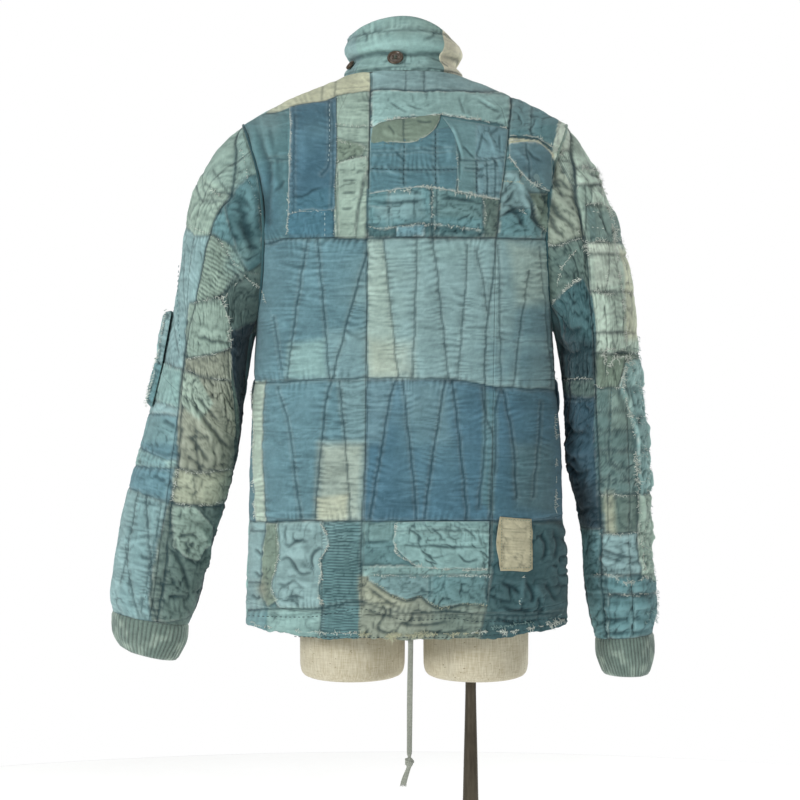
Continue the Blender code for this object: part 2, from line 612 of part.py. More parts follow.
def make_back():
    """Yoke, two quilted rows and the hem band, with the raw-edged patches that lie on them."""
    yoke = (
        ("back_yoke_left", LEFT_EDGE, LEFT_INNER, TEAL),
        ("back_yoke_sage", LEFT_INNER, LEFT_SEAM, SAGE),
        ("back_yoke_middle", LEFT_SEAM, RIGHT_SEAM, PALE_TEAL),
        ("back_yoke_right", RIGHT_SEAM, RIGHT_EDGE, TEAL),
    )
    for name, first, last, colour in yoke:
        add_wall(name, torso_grid(first, last, YOKE_SEAM, NECK), PANEL_WALL, colour)
    columns = (
        ("left", LEFT_EDGE, LEFT_SEAM),
        ("middle", LEFT_SEAM, RIGHT_SEAM),
        ("right", RIGHT_SEAM, RIGHT_EDGE),
    )
    colours = {
        "upper": {"left": MID_BLUE, "middle": PALE_BLUE, "right": PALE_BLUE},
        "lower": {"left": MID_BLUE, "middle": MID_BLUE, "right": TEAL},
    }
    for row, low, high in (("upper", MID_SEAM, YOKE_SEAM), ("lower", BAND_TOP, MID_SEAM)):
        for place, first, last in columns:
            grid = torso_grid(first, last, low, high)
            add_wall(f"back_{row}_{place}", grid, PANEL_WALL, colours[row][place])
    band = (
        ("back_band_side", LEFT_EDGE, LEFT_OUTER, MID_BLUE),
        ("back_band_pale", LEFT_OUTER, LEFT_INNER, PALE_TEAL),
        ("back_band_ribbed", LEFT_INNER, LEFT_SEAM, TEAL),
        ("back_band_cream", LEFT_SEAM, RIGHT_SEAM, SAGE),
        ("back_band_dark", RIGHT_SEAM, RIGHT_EDGE, DARK_BLUE),
    )
    for name, first, last, colour in band:
        add_wall(name, torso_grid(first, last, CASING_TOP, BAND_TOP), PANEL_WALL, colour)
    add_wall("back_hem_casing", torso_grid(LEFT_EDGE, RIGHT_EDGE, HEM, CASING_TOP), PANEL_WALL, PALE_BLUE)
    low, middle, high = (float(armhole_level(angle)) for angle in YOKE_PATCH_ANGLES)
    patches = (
        ("yoke_patch_blue", LEFT_OUTER, LEFT_INNER, low, BLUE_PATCH_TOP, DARK_BLUE),
        ("yoke_patch_olive", LEFT_SEAM, RIGHT_INNER, high, OLIVE_PATCH_TOP, OLIVE),
        ("yoke_patch_square", LEFT_SEAM, RIGHT_INNER, middle, high, MID_BLUE),
        ("yoke_patch_pleated", RIGHT_INNER, RIGHT_SEAM, middle, SHOULDER, TEAL),
        ("yoke_patch_torn", RIGHT_SEAM, RIGHT_OUTER, middle, high, MID_BLUE),
        ("band_patch_crinkled", MIDDLE, RIGHT_SEAM, LABEL_BOTTOM, BAND_TOP, PALE_TEAL),
        ("sewn_label", RIGHT_SEAM, RIGHT_OUTER, LABEL_BOTTOM, BAND_TOP, COTTON),
    )
    for name, first, last, low, high, colour in patches:
        add_wall(name, torso_grid(first, last, low, high), PATCH_WALL, colour, lift=LIFT, gap=PATCH_GAP)


def make_fronts():
    """Two plain fronts in two rows, closed by a fly, with a flapped pocket on each."""
    for side, first, last in (("right", RIGHT_EDGE, FRONT_MIDDLE), ("left", FRONT_MIDDLE, FRONT_LEFT_EDGE)):
        add_wall(f"front_{side}_upper", torso_grid(first, last, MID_SEAM, NECK), PANEL_WALL, PALE_BLUE)
        add_wall(f"front_{side}_lower", torso_grid(first, last, HEM, MID_SEAM), PANEL_WALL, MID_BLUE)
        first, last = POCKET_LINES[side]
        pocket = torso_grid(first, last, BAND_TOP, POCKET_TOP)
        add_wall(f"front_pocket_{side}", pocket, POCKET_WALL, NAVY, lift=LIFT)
        flap = torso_grid(first, last, POCKET_TOP, MID_SEAM)
        add_wall(f"front_pocket_flap_{side}", flap, POCKET_WALL + FLAP_WALL, DARK_BLUE, lift=LIFT)
    add_wall("front_fly", torso_grid(*PLACKET_LINES, HEM, NECK), FLY_WALL, MID_BLUE, lift=LIFT)


def make_collar():
    """The stand collar in two pieces that meet at the front and behind the right ear."""
    back = girth_theta(columns_between(LEFT_EDGE, RIGHT_EDGE), NECK, False)
    front = girth_theta(columns_between(RIGHT_EDGE, FRONT_LEFT_EDGE), NECK, True)
    seam = girth_theta(np.array([float(RIGHT_INNER)]), NECK, False)[0]
    before = front[front > 1.5 * np.pi - TURN_STEP] - 2 * np.pi
    everywhere = np.concatenate([before, back, front[1:]])
    everywhere = np.unique(everywhere.round(6))
    main = everywhere[everywhere < seam + TURN_STEP / 2]
    end = everywhere[(everywhere > seam - TURN_STEP / 2) & (everywhere < 1.5 * np.pi + TURN_STEP)]
    for name, thetas, colour in (("collar_main", main, PALE_BLUE), ("collar_end", end, CREAM)):
        steps = np.arange(len(COLLAR))
        points = np.stack([collar_point(thetas, float(step)) for step in steps])
        inward = -np.stack([collar_outward(thetas, float(step)) for step in steps])
        inward[0] = mitred(inward[0], -torso_outward(thetas, np.full(len(thetas), NECK)))
        add_wall(name, (points, inward), PANEL_WALL, colour)
    for place, (size, half_turns) in COLLAR_BUTTONS.items():
        theta = np.array(half_turns * np.pi)
        low, high = (collar_point(theta, step) for step in (1.0, 2.0))
        ahead, behind = (collar_point(theta + turn, 1.5) for turn in (TURN_STEP, -TURN_STEP))
        outward = unit(np.cross(ahead - behind, high - low))
        add_button(f"collar_button_{place}", (low + high) / 2, outward, size, HORN)


def make_sleeve(side):
    """Three lengthwise panels, two of them joined at the elbow, and a rib-knit cuff."""
    panels = (
        ("outer_upper", -SLEEVE_SEAM, SLEEVE_SEAM, 0, SLEEVE_SPLIT, PALE_BLUE),
        ("outer_lower", -SLEEVE_SEAM, SLEEVE_SEAM, SLEEVE_SPLIT, SLEEVE_END, MID_BLUE),
        ("back_upper", SLEEVE_SEAM, 180, 0, SLEEVE_SPLIT, SAGE),
        ("back_lower", SLEEVE_SEAM, 180, SLEEVE_SPLIT, SLEEVE_END, PALE_TEAL),
        ("front", -180, -SLEEVE_SEAM, 0, SLEEVE_END, TEAL),
    )
    for name, first, last, start, end, colour in panels:
        grid = sleeve_grid(first, last, start, end, side)
        add_wall(f"sleeve_{side}_{name}", grid, PANEL_WALL, colour)
    phi = np.radians(np.linspace(-180, 180, CUFF_SIDES + 1))
    steps = np.linspace(0, len(CUFFS[side]) - 1, CUFF_RINGS)
    points = np.stack([ring_point(phi, ring_row(CUFFS[side], step)) for step in steps])
    around = np.roll(points[:, :-1], -1, axis=1) - np.roll(points[:, :-1], 1, axis=1)
    around = np.concatenate([around, around[:, :1]], axis=1)
    inward = unit(np.cross(around, np.gradient(points, axis=0)))
    grid = mirrored(points, side), mirrored(inward, side)
    add_wall(f"cuff_{side}", grid, CUFF_WALL, RIB, gap=CUFF_GAP, round_closed=True)


def make_sleeve_pocket():
    """A small padded pocket on the left sleeve, with a flap over its top."""
    pocket = sleeve_grid(-28, 14, 5.8, 6.6, "left")
    add_wall("sleeve_pocket", pocket, POCKET_WALL, TEAL, lift=LIFT)
    flap = sleeve_grid(-28, 14, 5, 5.8, "left")
    add_wall("sleeve_pocket_flap", flap, POCKET_WALL, SAGE, lift=LIFT)


def form_ring(thetas, level):
    """A ring of the dress form: the jacket's ring, brought in by its wall and the form's clearance."""
    levels = np.full(len(thetas), level)
    clearance = np.interp(level, *zip(*FORM_CLEARANCE))
    points = torso_point(thetas, levels) - (PANEL_WALL + clearance) * torso_outward(thetas, levels)
    drift = np.interp(level, (FORM_BOTTOM, UNDERARM), (FORM_SHIFT, 0.0))
    points[:, 0] += drift
    return points


def make_form():
    """A whole torso with a neck and two thigh stubs, made as one smooth solid, with a wooden neck cap."""
    back_columns = columns_between(LEFT_EDGE, RIGHT_EDGE)
    front_columns = columns_between(RIGHT_EDGE, FRONT_LEFT_EDGE)
    levels = [FORM_BOTTOM, FORM_HIP, FORM_WAIST, *levels_between(BAND_TOP, FORM_NECK_LINE), FORM_NECK_ROOT]
    rings = []
    for level in levels:
        back = girth_theta(back_columns, level, False)
        front = girth_theta(front_columns, level, True)
        thetas = np.concatenate([back, front[1:-1]])
        rings.append(form_ring(thetas, level))
    middle = rings[0].mean(axis=0)
    rings[0] = middle + FORM_UNDERSIDE_SHARE * (rings[0] - middle)
    seam_height = torso_point(thetas, np.full(len(thetas), NECK))[:, 2]
    neck_x = NECK_SHIFT + NECK_HALF_WIDTH * np.cos(thetas)
    neck_y = NECK_HALF_DEPTH * np.sin(thetas)
    for height in (seam_height, np.full(len(thetas), NECK_TOP)):
        rings.append(np.stack([neck_x, neck_y, height], axis=-1))
    torso = add_rings("form_torso", rings, LINEN)
    for place in THIGHS:
        join = torso.modifiers.new("thigh", "BOOLEAN")
        join.operation = "UNION"
        join.object = add_thigh(place)
    cap = [(radius, NECK_TOP + LIFT + height) for radius, height in CAP_PROFILE]
    add_turned("form_neck_cap", cap, NECK_SHIFT, WOOD)


def add_thigh(place):
    """One thigh stub: an upright oval with a rounded bottom edge, hidden once it has joined the torso."""
    rings = []
    for share, height in THIGH_PROFILE:
        middle = (place, 0.0, THIGH_BOTTOM + height)
        rings.append(oval(middle, THIGH_HALF_WIDTH * share, THIGH_HALF_DEPTH * share, THIGH_SIDES))
    thigh = add_rings(f"thigh_{'left' if place > 0 else 'right'}", rings, LINEN)
    thigh.hide_render = True
    thigh.display_type = "WIRE"
    return thigh


def make_stand():
    """A tapering pole under the right thigh, on a round steel base plate."""
    add_turned("stand_base", BASE_PROFILE, 0.0, STEEL, sides=48)
    add_turned("stand_boss", BOSS_PROFILE, POLE_X, STEEL)
    add_turned("stand_pole", POLE_PROFILE, POLE_X, STEEL, sides=20)


def make_drawstring():
    """The tape as a tube along its route, and its knot with the frayed tail."""
    curve = bpy.data.curves.new("drawstring", "CURVE")
    curve.dimensions = "3D"
    curve.bevel_depth = TAPE_WIDTH / 2
    curve.bevel_resolution = 2
    curve.use_fill_caps = True
    spline = curve.splines.new("POLY")
    spline.points.add(len(TAPE_ROUTE) - 1)
    for point, place in zip(spline.points, TAPE_ROUTE):
        point.co = (*place, 1)
    curve.materials.append(material("drawstring", TAPE_GREY))
    bpy.context.scene.collection.objects.link(bpy.data.objects.new("drawstring", curve))
    rings = [oval((ring.x, KNOT_Y, ring.z), ring.half_width, ring.half_depth, KNOT_SIDES) for ring in KNOT]
    add_rings("drawstring_knot", rings, TAPE_GREY)


def main():
    for old in list(bpy.data.objects):
        bpy.data.objects.remove(old, do_unlink=True)
    make_form()
    make_stand()
    make_back()
    make_fronts()
    make_collar()
    for side in SLEEVES:
        make_sleeve(side)
    make_sleeve_pocket()
    make_drawstring()


main()
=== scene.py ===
"""A patched boro jacket on a dress form: its cloth, threads, form and stand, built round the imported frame.

Metres, +Z up. The wearer faces -Y, so the patched back faces +Y and the left sleeve is on +X. The cloth's
patches, seams and folds are laid out in millimetres on an upright board through the stand's middle, as
seen from a point 2.6 m behind it: across is positive to the wearer's left, and up starts at BOARD_FOOT.
"""

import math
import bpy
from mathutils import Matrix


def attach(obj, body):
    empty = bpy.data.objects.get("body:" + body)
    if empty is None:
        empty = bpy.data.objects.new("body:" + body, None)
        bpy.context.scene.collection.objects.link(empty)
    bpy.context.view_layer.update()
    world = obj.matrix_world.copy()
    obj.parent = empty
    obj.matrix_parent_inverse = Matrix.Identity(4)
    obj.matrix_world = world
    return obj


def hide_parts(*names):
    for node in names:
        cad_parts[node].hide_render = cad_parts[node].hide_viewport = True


bl_info = {
    "name": "Patched boro jacket",
    "version": (1, 0, 0),
    "blender": (4, 5, 0),
    "location": "View3D > Sidebar > Boro jacket",
    "description": "Builds a quilted, patched jacket on a dress form, piece by piece",
    "category": "Add Mesh",
}

from collections import namedtuple

import bpy
import numpy as np

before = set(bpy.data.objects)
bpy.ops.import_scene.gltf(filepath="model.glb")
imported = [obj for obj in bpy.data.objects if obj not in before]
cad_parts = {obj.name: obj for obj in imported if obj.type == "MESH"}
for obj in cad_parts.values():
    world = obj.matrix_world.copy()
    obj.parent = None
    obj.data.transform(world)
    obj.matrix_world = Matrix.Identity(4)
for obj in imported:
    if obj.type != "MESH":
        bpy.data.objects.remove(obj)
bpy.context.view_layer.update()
MM = 0.001

# ---------------------------------------------------------------------------------------------------
# The jacket's form, as the solids have it

HEM, CASING_TOP, BAND_TOP = 0.758, 0.788, 0.893
POCKET_TOP, MID_SEAM, UNDERARM, YOKE_SEAM = 1.018, 1.061, 1.121, 1.231
SHOULDER, NECK = 1.376, 1.434
ARMHOLE_MIDDLE = (UNDERARM + SHOULDER) / 2
ARMHOLE_HALF_HEIGHT = (SHOULDER - UNDERARM) / 2
ARMHOLE_HALF_BACK, ARMHOLE_HALF_FRONT = 0.068, 0.072
SLEEVE_SEAM = 42
PANEL_WALL = 0.004

TorsoRing = namedtuple("TorsoRing", "side_z back_z front_z half_width back_y front_y squareness shift")
TORSO = (
    TorsoRing(HEM, 0.751, 0.748, 0.2005, 0.121, 0.127, 2.5, -0.0025),
    TorsoRing(CASING_TOP, 0.781, 0.778, 0.2005, 0.125, 0.130, 2.5, -0.0025),
    TorsoRing(BAND_TOP, 0.893, 0.890, 0.1965, 0.127, 0.132, 2.4, -0.0015),
    TorsoRing(0.975, 0.975, 0.972, 0.1935, 0.126, 0.131, 2.4, -0.0010),
    TorsoRing(MID_SEAM, 1.061, 1.058, 0.1885, 0.127, 0.132, 2.4, 0.0),
    TorsoRing(UNDERARM, 1.121, 1.117, 0.1850, 0.130, 0.134, 2.35, 0.0),
    TorsoRing(YOKE_SEAM, 1.231, 1.222, 0.1915, 0.131, 0.130, 2.3, 0.0),
    TorsoRing(1.310, 1.300, 1.283, 0.1960, 0.1285, 0.128, 2.2, 0.0),
    TorsoRing(SHOULDER, 1.352, 1.322, 0.2010, 0.1185, 0.117, 2.1, 0.0),
    TorsoRing(1.398, 1.379, 1.338, 0.1620, 0.1095, 0.109, 2.05, 0.001),
    TorsoRing(1.417, 1.405, 1.355, 0.1200, 0.097, 0.097, 2.0, 0.002),
    TorsoRing(NECK, 1.4353, 1.375, 0.0745, 0.0745, 0.077, 2.0, 0.002),
)
BackLines = namedtuple(
    "BackLines", "level left_outer left_inner left_seam middle right_inner right_seam right_outer"
)
BACK_LINES = (
    BackLines(HEM, 0.157, 0.099, 0.0525, 0.004, -0.046, -0.096, -0.152),
    BackLines(BAND_TOP, 0.155, 0.099, 0.0480, 0.004, -0.048, -0.106, -0.152),
    BackLines(MID_SEAM, 0.147, 0.090, 0.0464, 0.004, -0.050, -0.106, -0.160),
    BackLines(YOKE_SEAM, 0.1395, 0.078, 0.0440, 0.000, -0.055, -0.110, -0.168),
    BackLines(SHOULDER, 0.134, 0.0815, 0.0420, -0.005, -0.060, -0.124, -0.168),
    BackLines(1.398, 0.117, 0.078, 0.0420, -0.004, -0.058, -0.117, -0.143),
    BackLines(1.417, 0.092, 0.068, 0.0420, -0.003, -0.054, -0.094, -0.108),
    BackLines(NECK, 0.064, 0.056, 0.0418, -0.002, -0.049, -0.063, -0.0695),
)
LEFT_EDGE, LEFT_OUTER, LEFT_INNER, LEFT_SEAM, MIDDLE = range(5)
RIGHT_INNER, RIGHT_SEAM, RIGHT_OUTER, RIGHT_EDGE = range(5, 9)
FRONT_SHARES = (0.0, 0.10, 0.37, 0.64, 0.92, 1.0)
FRONT_MIDDLE, FRONT_LEFT_EDGE = 13, 18

SleeveRing = namedtuple("SleeveRing", "outer_x outer_z inner_x inner_z half_depth forward seam")
SLEEVES = {
    "left": (
        SleeveRing(0.2010, 1.3760, 0.1850, 1.1210, 0.070, 0.000, 42),
        SleeveRing(0.2330, 1.3480, 0.1885, 1.1080, 0.074, -0.001, 42),
        SleeveRing(0.2570, 1.3080, 0.1920, 1.0900, 0.073, -0.002, 43),
        SleeveRing(0.2700, 1.2650, 0.1960, 1.0660, 0.071, -0.002, 46),
        SleeveRing(0.2790, 1.2100, 0.2000, 1.0420, 0.067, -0.001, 51),
        SleeveRing(0.2900, 1.1450, 0.2030, 1.0180, 0.063, 0.002, 58),
        SleeveRing(0.3060, 1.0700, 0.2075, 0.9850, 0.060, 0.006, 66),
        SleeveRing(0.3265, 0.9995, 0.2145, 0.9473, 0.057, 0.012, 75),
        SleeveRing(0.3475, 0.9257, 0.2277, 0.9005, 0.054, 0.019, 84),
        SleeveRing(0.3636, 0.8575, 0.2445, 0.8475, 0.051, 0.026, 90),
        SleeveRing(0.3745, 0.7925, 0.2600, 0.7850, 0.047, 0.032, 94),
        SleeveRing(0.3720, 0.7660, 0.2755, 0.7490, 0.042, 0.035, 94),
    ),
    "right": (
        SleeveRing(0.2010, 1.3760, 0.1850, 1.1210, 0.070, 0.000, 42),
        SleeveRing(0.2190, 1.3520, 0.1885, 1.1080, 0.074, -0.001, 42),
        SleeveRing(0.2400, 1.3120, 0.1920, 1.0880, 0.073, -0.002, 43),
        SleeveRing(0.2585, 1.2680, 0.1955, 1.0640, 0.071, -0.002, 45),
        SleeveRing(0.2760, 1.2150, 0.1985, 1.0370, 0.067, -0.001, 48),
        SleeveRing(0.2865, 1.1550, 0.2005, 1.0080, 0.063, 0.002, 52),
        SleeveRing(0.2920, 1.0850, 0.2020, 0.9760, 0.060, 0.006, 57),
        SleeveRing(0.3004, 1.0146, 0.2069, 0.9422, 0.057, 0.012, 62),
        SleeveRing(0.3077, 0.9337, 0.2161, 0.9035, 0.054, 0.019, 68),
        SleeveRing(0.3090, 0.8575, 0.2247, 0.8495, 0.051, 0.026, 74),
        SleeveRing(0.3190, 0.7810, 0.2328, 0.7740, 0.047, 0.032, 78),
        SleeveRing(0.3155, 0.7385, 0.2425, 0.7325, 0.042, 0.035, 80),
    ),
}
SLEEVE_END, SLEEVE_SPLIT = 11, 6
ARMHOLE_BLEND = 1.6

CuffRing = namedtuple("CuffRing", "outer_x outer_z inner_x inner_z half_depth forward")
CUFFS = {
    "left": (
        CuffRing(0.3720, 0.7660, 0.2755, 0.7490, 0.0420, 0.0350),
        CuffRing(0.3712, 0.7395, 0.2785, 0.7265, 0.0400, 0.0365),
        CuffRing(0.3610, 0.7195, 0.2900, 0.7020, 0.0355, 0.0380),
    ),
    "right": (
        CuffRing(0.3155, 0.7385, 0.2425, 0.7325, 0.0420, 0.0350),
        CuffRing(0.3165, 0.7120, 0.2440, 0.7100, 0.0400, 0.0365),
        CuffRing(0.3105, 0.6850, 0.2520, 0.6850, 0.0355, 0.0380),
    ),
}
CollarRing = namedtuple("CollarRing", "back_rise left_rise right_rise front_rise lean")
COLLAR = (
    CollarRing(0.0, 0.0, 0.0, 0.0, 0.0),
    CollarRing(0.008, 0.006, 0.005, 0.008, -0.0010),
    CollarRing(0.021, 0.016, 0.013, 0.020, -0.0095),
    CollarRing(0.027, 0.021, 0.017, 0.026, -0.0085),
    CollarRing(0.044, 0.034, 0.027, 0.044, -0.0020),
    CollarRing(0.066, 0.048, 0.038, 0.066, -0.0045),
)
FORM_BOTTOM, FORM_HIP, FORM_NECK_LINE, FORM_NECK_ROOT = 0.815, 0.827, 1.417, 1.4275
FORM_CLEARANCE = (
    (FORM_BOTTOM, 0.044), (BAND_TOP, 0.030), (0.975, 0.038), (MID_SEAM, 0.043), (UNDERARM, 0.035),
    (YOKE_SEAM, 0.026), (1.310, 0.014), (1.350, 0.010), (SHOULDER, 0.008), (1.387, 0.0018), (1.398, 0.0003),
    (FORM_NECK_LINE, 0.0003), (FORM_NECK_ROOT, 0.004),
)
NECK_HALF_WIDTH, NECK_HALF_DEPTH, NECK_SHIFT, NECK_TOP = 0.058, 0.056, 0.002, 1.452
THIGHS = (0.0659, -0.0888)
THIGH_HALF_WIDTH, THIGH_HALF_DEPTH, THIGH_BOTTOM = 0.0655, 0.076, 0.690
POLE_X = -0.0825
TAPE_ROUTE = (
    (-0.0068, 0.1131, 0.7570), (-0.0068, 0.1131, 0.7480), (-0.0067, 0.1130, 0.7350),
    (-0.0064, 0.1129, 0.7200), (-0.0061, 0.1128, 0.7050), (-0.0059, 0.1127, 0.6900),
    (-0.0057, 0.1126, 0.6750), (-0.0056, 0.1125, 0.6600), (-0.0055, 0.1124, 0.6450),
    (-0.0054, 0.1124, 0.6300), (-0.0053, 0.1124, 0.6160), (-0.0052, 0.1124, 0.6075),
)

# ---------------------------------------------------------------------------------------------------
# The board

EYE_BACK, EYE_UP, BOARD_FOOT = 2.6, 1.109, 0.680


def on_board(points):
    """Across and up in millimetres: each point is carried along its line from the eye to the plane y = 0,
    which multiplies x, and the height over the eye's, by EYE_BACK / (EYE_BACK - y)."""
    grow = EYE_BACK / (EYE_BACK - points[..., 1])
    across = points[..., 0] * grow / MM
    up = (EYE_UP + (points[..., 2] - EYE_UP) * grow - BOARD_FOOT) / MM
    return across, up


def off_board(across, up, depth):
    """The point at y = depth that on_board puts at across, up."""
    shrink = (EYE_BACK - depth) / EYE_BACK
    x = across * MM * shrink
    z = EYE_UP + (up * MM + BOARD_FOOT - EYE_UP) * shrink
    return np.stack([x, depth, z], axis=-1)


# ---------------------------------------------------------------------------------------------------
# Curves and noise

def unit(vectors):
    return vectors / np.maximum(np.linalg.norm(vectors, axis=-1, keepdims=True), 1e-12)


def circle(count):
    """Angles at equal spaces round one turn, without its end."""
    return np.arange(count) * 2 * np.pi / count


def lengths_along(points, axis=0):
    """How far each place is from the first one along a grid's axis, by running sums of the steps."""
    steps = np.linalg.norm(np.diff(points, axis=axis), axis=-1)
    start = np.zeros_like(np.take(steps, [0], axis))
    return np.concatenate([start, np.cumsum(steps, axis=axis)], axis=axis)


def ramp(value, low, high):
    """0 below low, 1 above high, and between them 3t^2 - 2t^3."""
    t = np.clip((value - low) / (high - low), 0, 1)
    return t * t * (3 - 2 * t)


def smooth(at, places, values, kink=None):
    """A cubic through the values, with each place's slope taken from its two neighbours. At the kink the
    slopes on its two sides are taken apart, so that the curve may turn sharply there."""
    if kink is not None:
        split = places.index(kink)
        low = smooth(at, places[:split + 1], values[:split + 1])
        high = smooth(at, places[split:], values[split:])
        return np.where(np.asarray(at) <= kink, low, high)
    x, y = np.array(places), np.array(values)
    slope = np.gradient(y, x)
    cell = np.clip(np.searchsorted(x, at, side="right") - 1, 0, len(x) - 2)
    width = x[cell + 1] - x[cell]
    t = (at - x[cell]) / width
    return (
        (2 * t**3 - 3 * t**2 + 1) * y[cell]
        + (t**3 - 2 * t**2 + t) * width * slope[cell]
        + (3 * t**2 - 2 * t**3) * y[cell + 1]
        + (t**3 - t**2) * width * slope[cell + 1]
    )


def rounded(points, steps=6):
    """A broken line drawn as a smooth curve through its points."""
    points = np.array(points, float)
    if len(points) < 3:
        return points
    places = list(range(len(points)))
    at = np.linspace(0, len(points) - 1, (len(points) - 1) * steps + 1)
    return np.stack([smooth(at, places, list(points[:, k])) for k in (0, 1)], axis=-1)


def lattice(ix, iy, seed):
    """A repeatable number from 0 to 1 for each whole place, by mixing the bits of its two indices."""
    mixed = ((ix & 0xFFFF) * 374761393 + (iy & 0xFFFF) * 668265263 + seed * 974634777) & 0xFFFFFFFF
    mixed = ((mixed ^ (mixed >> 13)) * 1274126177) & 0xFFFFFFFF
    mixed = ((mixed ^ (mixed >> 15)) * 2246822519) & 0xFFFFFFFF
    return ((mixed ^ (mixed >> 16)) & 0xFFFFFF) / 0xFFFFFF


def noise(x, y, seed):
    """Value noise from -1 to 1: the lattice's numbers, blended over each unit square by 3t^2 - 2t^3."""
    x, y = np.broadcast_arrays(np.asarray(x, float), np.asarray(y, float))
    fx, fy = np.floor(x), np.floor(y)
    ix, iy = fx.astype(np.int64), fy.astype(np.int64)
    tx, ty = x - fx, y - fy
    tx, ty = tx * tx * (3 - 2 * tx), ty * ty * (3 - 2 * ty)
    low = lattice(ix, iy, seed) * (1 - tx) + lattice(ix + 1, iy, seed) * tx
    high = lattice(ix, iy + 1, seed) * (1 - tx) + lattice(ix + 1, iy + 1, seed) * tx
    return 2 * (low * (1 - ty) + high * ty) - 1


def cloudy(x, y, seed, octaves=4):
    """Noise summed over octaves, each half as high and half as wide as the one before."""
    total, height = 0.0, 1.0
    for octave in range(octaves):
        total = total + height * noise(x * 2**octave, y * 2**octave, seed + 17 * octave)
        height /= 2
    return total / 1.6


def creased(x, y, seed, octaves=3):
    """Sharp-edged wrinkles from 0 to 1: 1 - |noise| squared, on places that more noise has pushed about."""
    px = x + 0.55 * noise(x * 0.7, y * 0.7, seed + 5)
    py = y + 0.55 * noise(x * 0.7, y * 0.7, seed + 9)
    total, height, most = 0.0, 1.0, 0.0
    for octave in range(octaves):
        ridge = 1 - np.abs(noise(px * 1.9**octave, py * 1.9**octave, seed + 31 * octave))
        total, most = total + height * ridge**2, most + height
        height /= 2
    return total / most


# ---------------------------------------------------------------------------------------------------
# The form's surfaces

def torso_column(name, levels):
    """One column of the torso's table, at any levels. Only the width turns sharply, at the shoulder."""
    places = [ring.side_z for ring in TORSO]
    values = [getattr(ring, name) for ring in TORSO]
    return smooth(levels, places, values, kink=SHOULDER if name == "half_width" else None)


def torso_point(theta, level):
    """Points on the jacket's outer face. Each ring is |x / half_width|^n + |y / depth|^n = 1, and its
    height runs from side_z at the sides to back_z or front_z at the middle with the square of sin."""
    cosine, sine = np.cos(theta), np.sin(theta)
    back = sine >= 0
    power = 2 / torso_column("squareness", level)
    depth = np.where(back, torso_column("back_y", level), torso_column("front_y", level))
    middle = np.where(back, torso_column("back_z", level), torso_column("front_z", level))
    reach = np.sign(cosine) * np.abs(cosine) ** power
    x = torso_column("shift", level) + torso_column("half_width", level) * reach
    y = depth * np.sign(sine) * np.abs(sine) ** power
    z = level + (middle - level) * sine**2
    return np.stack([x, y, z], axis=-1)


def torso_outward(theta, level):
    """Unit normals of torso_point, pointing out of the jacket, by central differences."""
    low, high = np.clip(level - 0.0005, HEM, NECK), np.clip(level + 0.0005, HEM, NECK)
    around = torso_point(theta + 0.01, level) - torso_point(theta - 0.01, level)
    return unit(np.cross(around, torso_point(theta, high) - torso_point(theta, low)))


def armhole_theta(level, front):
    """The angle on the torso's ring at which the armhole's oval cuts it, or 0 above and below it."""
    height = np.clip((level - ARMHOLE_MIDDLE) / ARMHOLE_HALF_HEIGHT, -1, 1)
    half = ARMHOLE_HALF_FRONT if front else ARMHOLE_HALF_BACK
    reach = half * np.sqrt(1 - height**2) / torso_column("front_y" if front else "back_y", level)
    return np.arcsin(reach ** (torso_column("squareness", level) / 2))


def armhole_point(angle, side):
    """Points round the armhole. The angle is 0 at the shoulder, 180 at the underarm, and positive behind."""
    level = ARMHOLE_MIDDLE + ARMHOLE_HALF_HEIGHT * np.cos(np.radians(angle))
    behind, before = armhole_theta(level, False), -armhole_theta(level, True)
    theta = np.where(np.asarray(angle) >= 0, behind, before)
    return (np.pi - theta if side == "right" else theta), level


def girth_theta(positions, levels, front):
    """The torso's angle at each girth position, one row for each level. A position between two girth lines
    is the same share of the way between their angles."""
    edge = armhole_theta(levels, front)[:, None]
    if front:
        from_right = [np.pi + edge + share * (np.pi / 2 - edge) for share in FRONT_SHARES]
        lines = from_right + [3 * np.pi - angle for angle in reversed(from_right[:-1])]
        start = RIGHT_EDGE
    else:
        places = [row.level for row in BACK_LINES]
        half_width, shift = torso_column("half_width", levels), torso_column("shift", levels)
        power = torso_column("squareness", levels) / 2
        lines, start = [edge], LEFT_EDGE
        for name in BackLines._fields[1:]:
            share = np.interp(levels, places, [getattr(row, name) for row in BACK_LINES])
            share = (share - shift) / half_width
            lines.append(np.arccos(np.sign(share) * np.abs(share) ** power)[:, None])
        lines.append(np.pi - edge)
    lines = np.concatenate(lines, axis=1)
    cell = np.clip((positions - start).astype(int), 0, lines.shape[1] - 2)
    share = positions - start - cell
    return lines[:, cell] * (1 - share) + lines[:, cell + 1] * share


def sleeve_angle(angle, seam):
    """The angle round a sleeve's ring. The seam starts at SLEEVE_SEAM on the armhole and drifts."""
    size = np.abs(angle)
    outer = size / SLEEVE_SEAM * seam
    inner = seam + (size - SLEEVE_SEAM) / (180 - SLEEVE_SEAM) * (180 - seam)
    return np.radians(np.sign(angle) * np.where(size <= SLEEVE_SEAM, outer, inner))


def ring_point(phi, row):
    """A tilted ring: its middle, plus cos times half the line from inner to outer point, plus sin times
    the half depth along Y."""
    across = np.cos(phi)
    x = (row["outer_x"] + row["inner_x"]) / 2 + across * (row["outer_x"] - row["inner_x"]) / 2
    z = (row["outer_z"] + row["inner_z"]) / 2 + across * (row["outer_z"] - row["inner_z"]) / 2
    y = np.sin(phi) * row["half_depth"] - row["forward"]
    return np.stack(np.broadcast_arrays(x, y, z), axis=-1)


def ring_row(table, step):
    """A table's columns at any step along it."""
    places = list(range(len(table)))
    return {name: smooth(step, places, [getattr(ring, name) for ring in table]) for name in table[0]._fields}


def mirrored(points, side):
    return points * np.array([-1.0, 1.0, 1.0]) if side == "right" else points


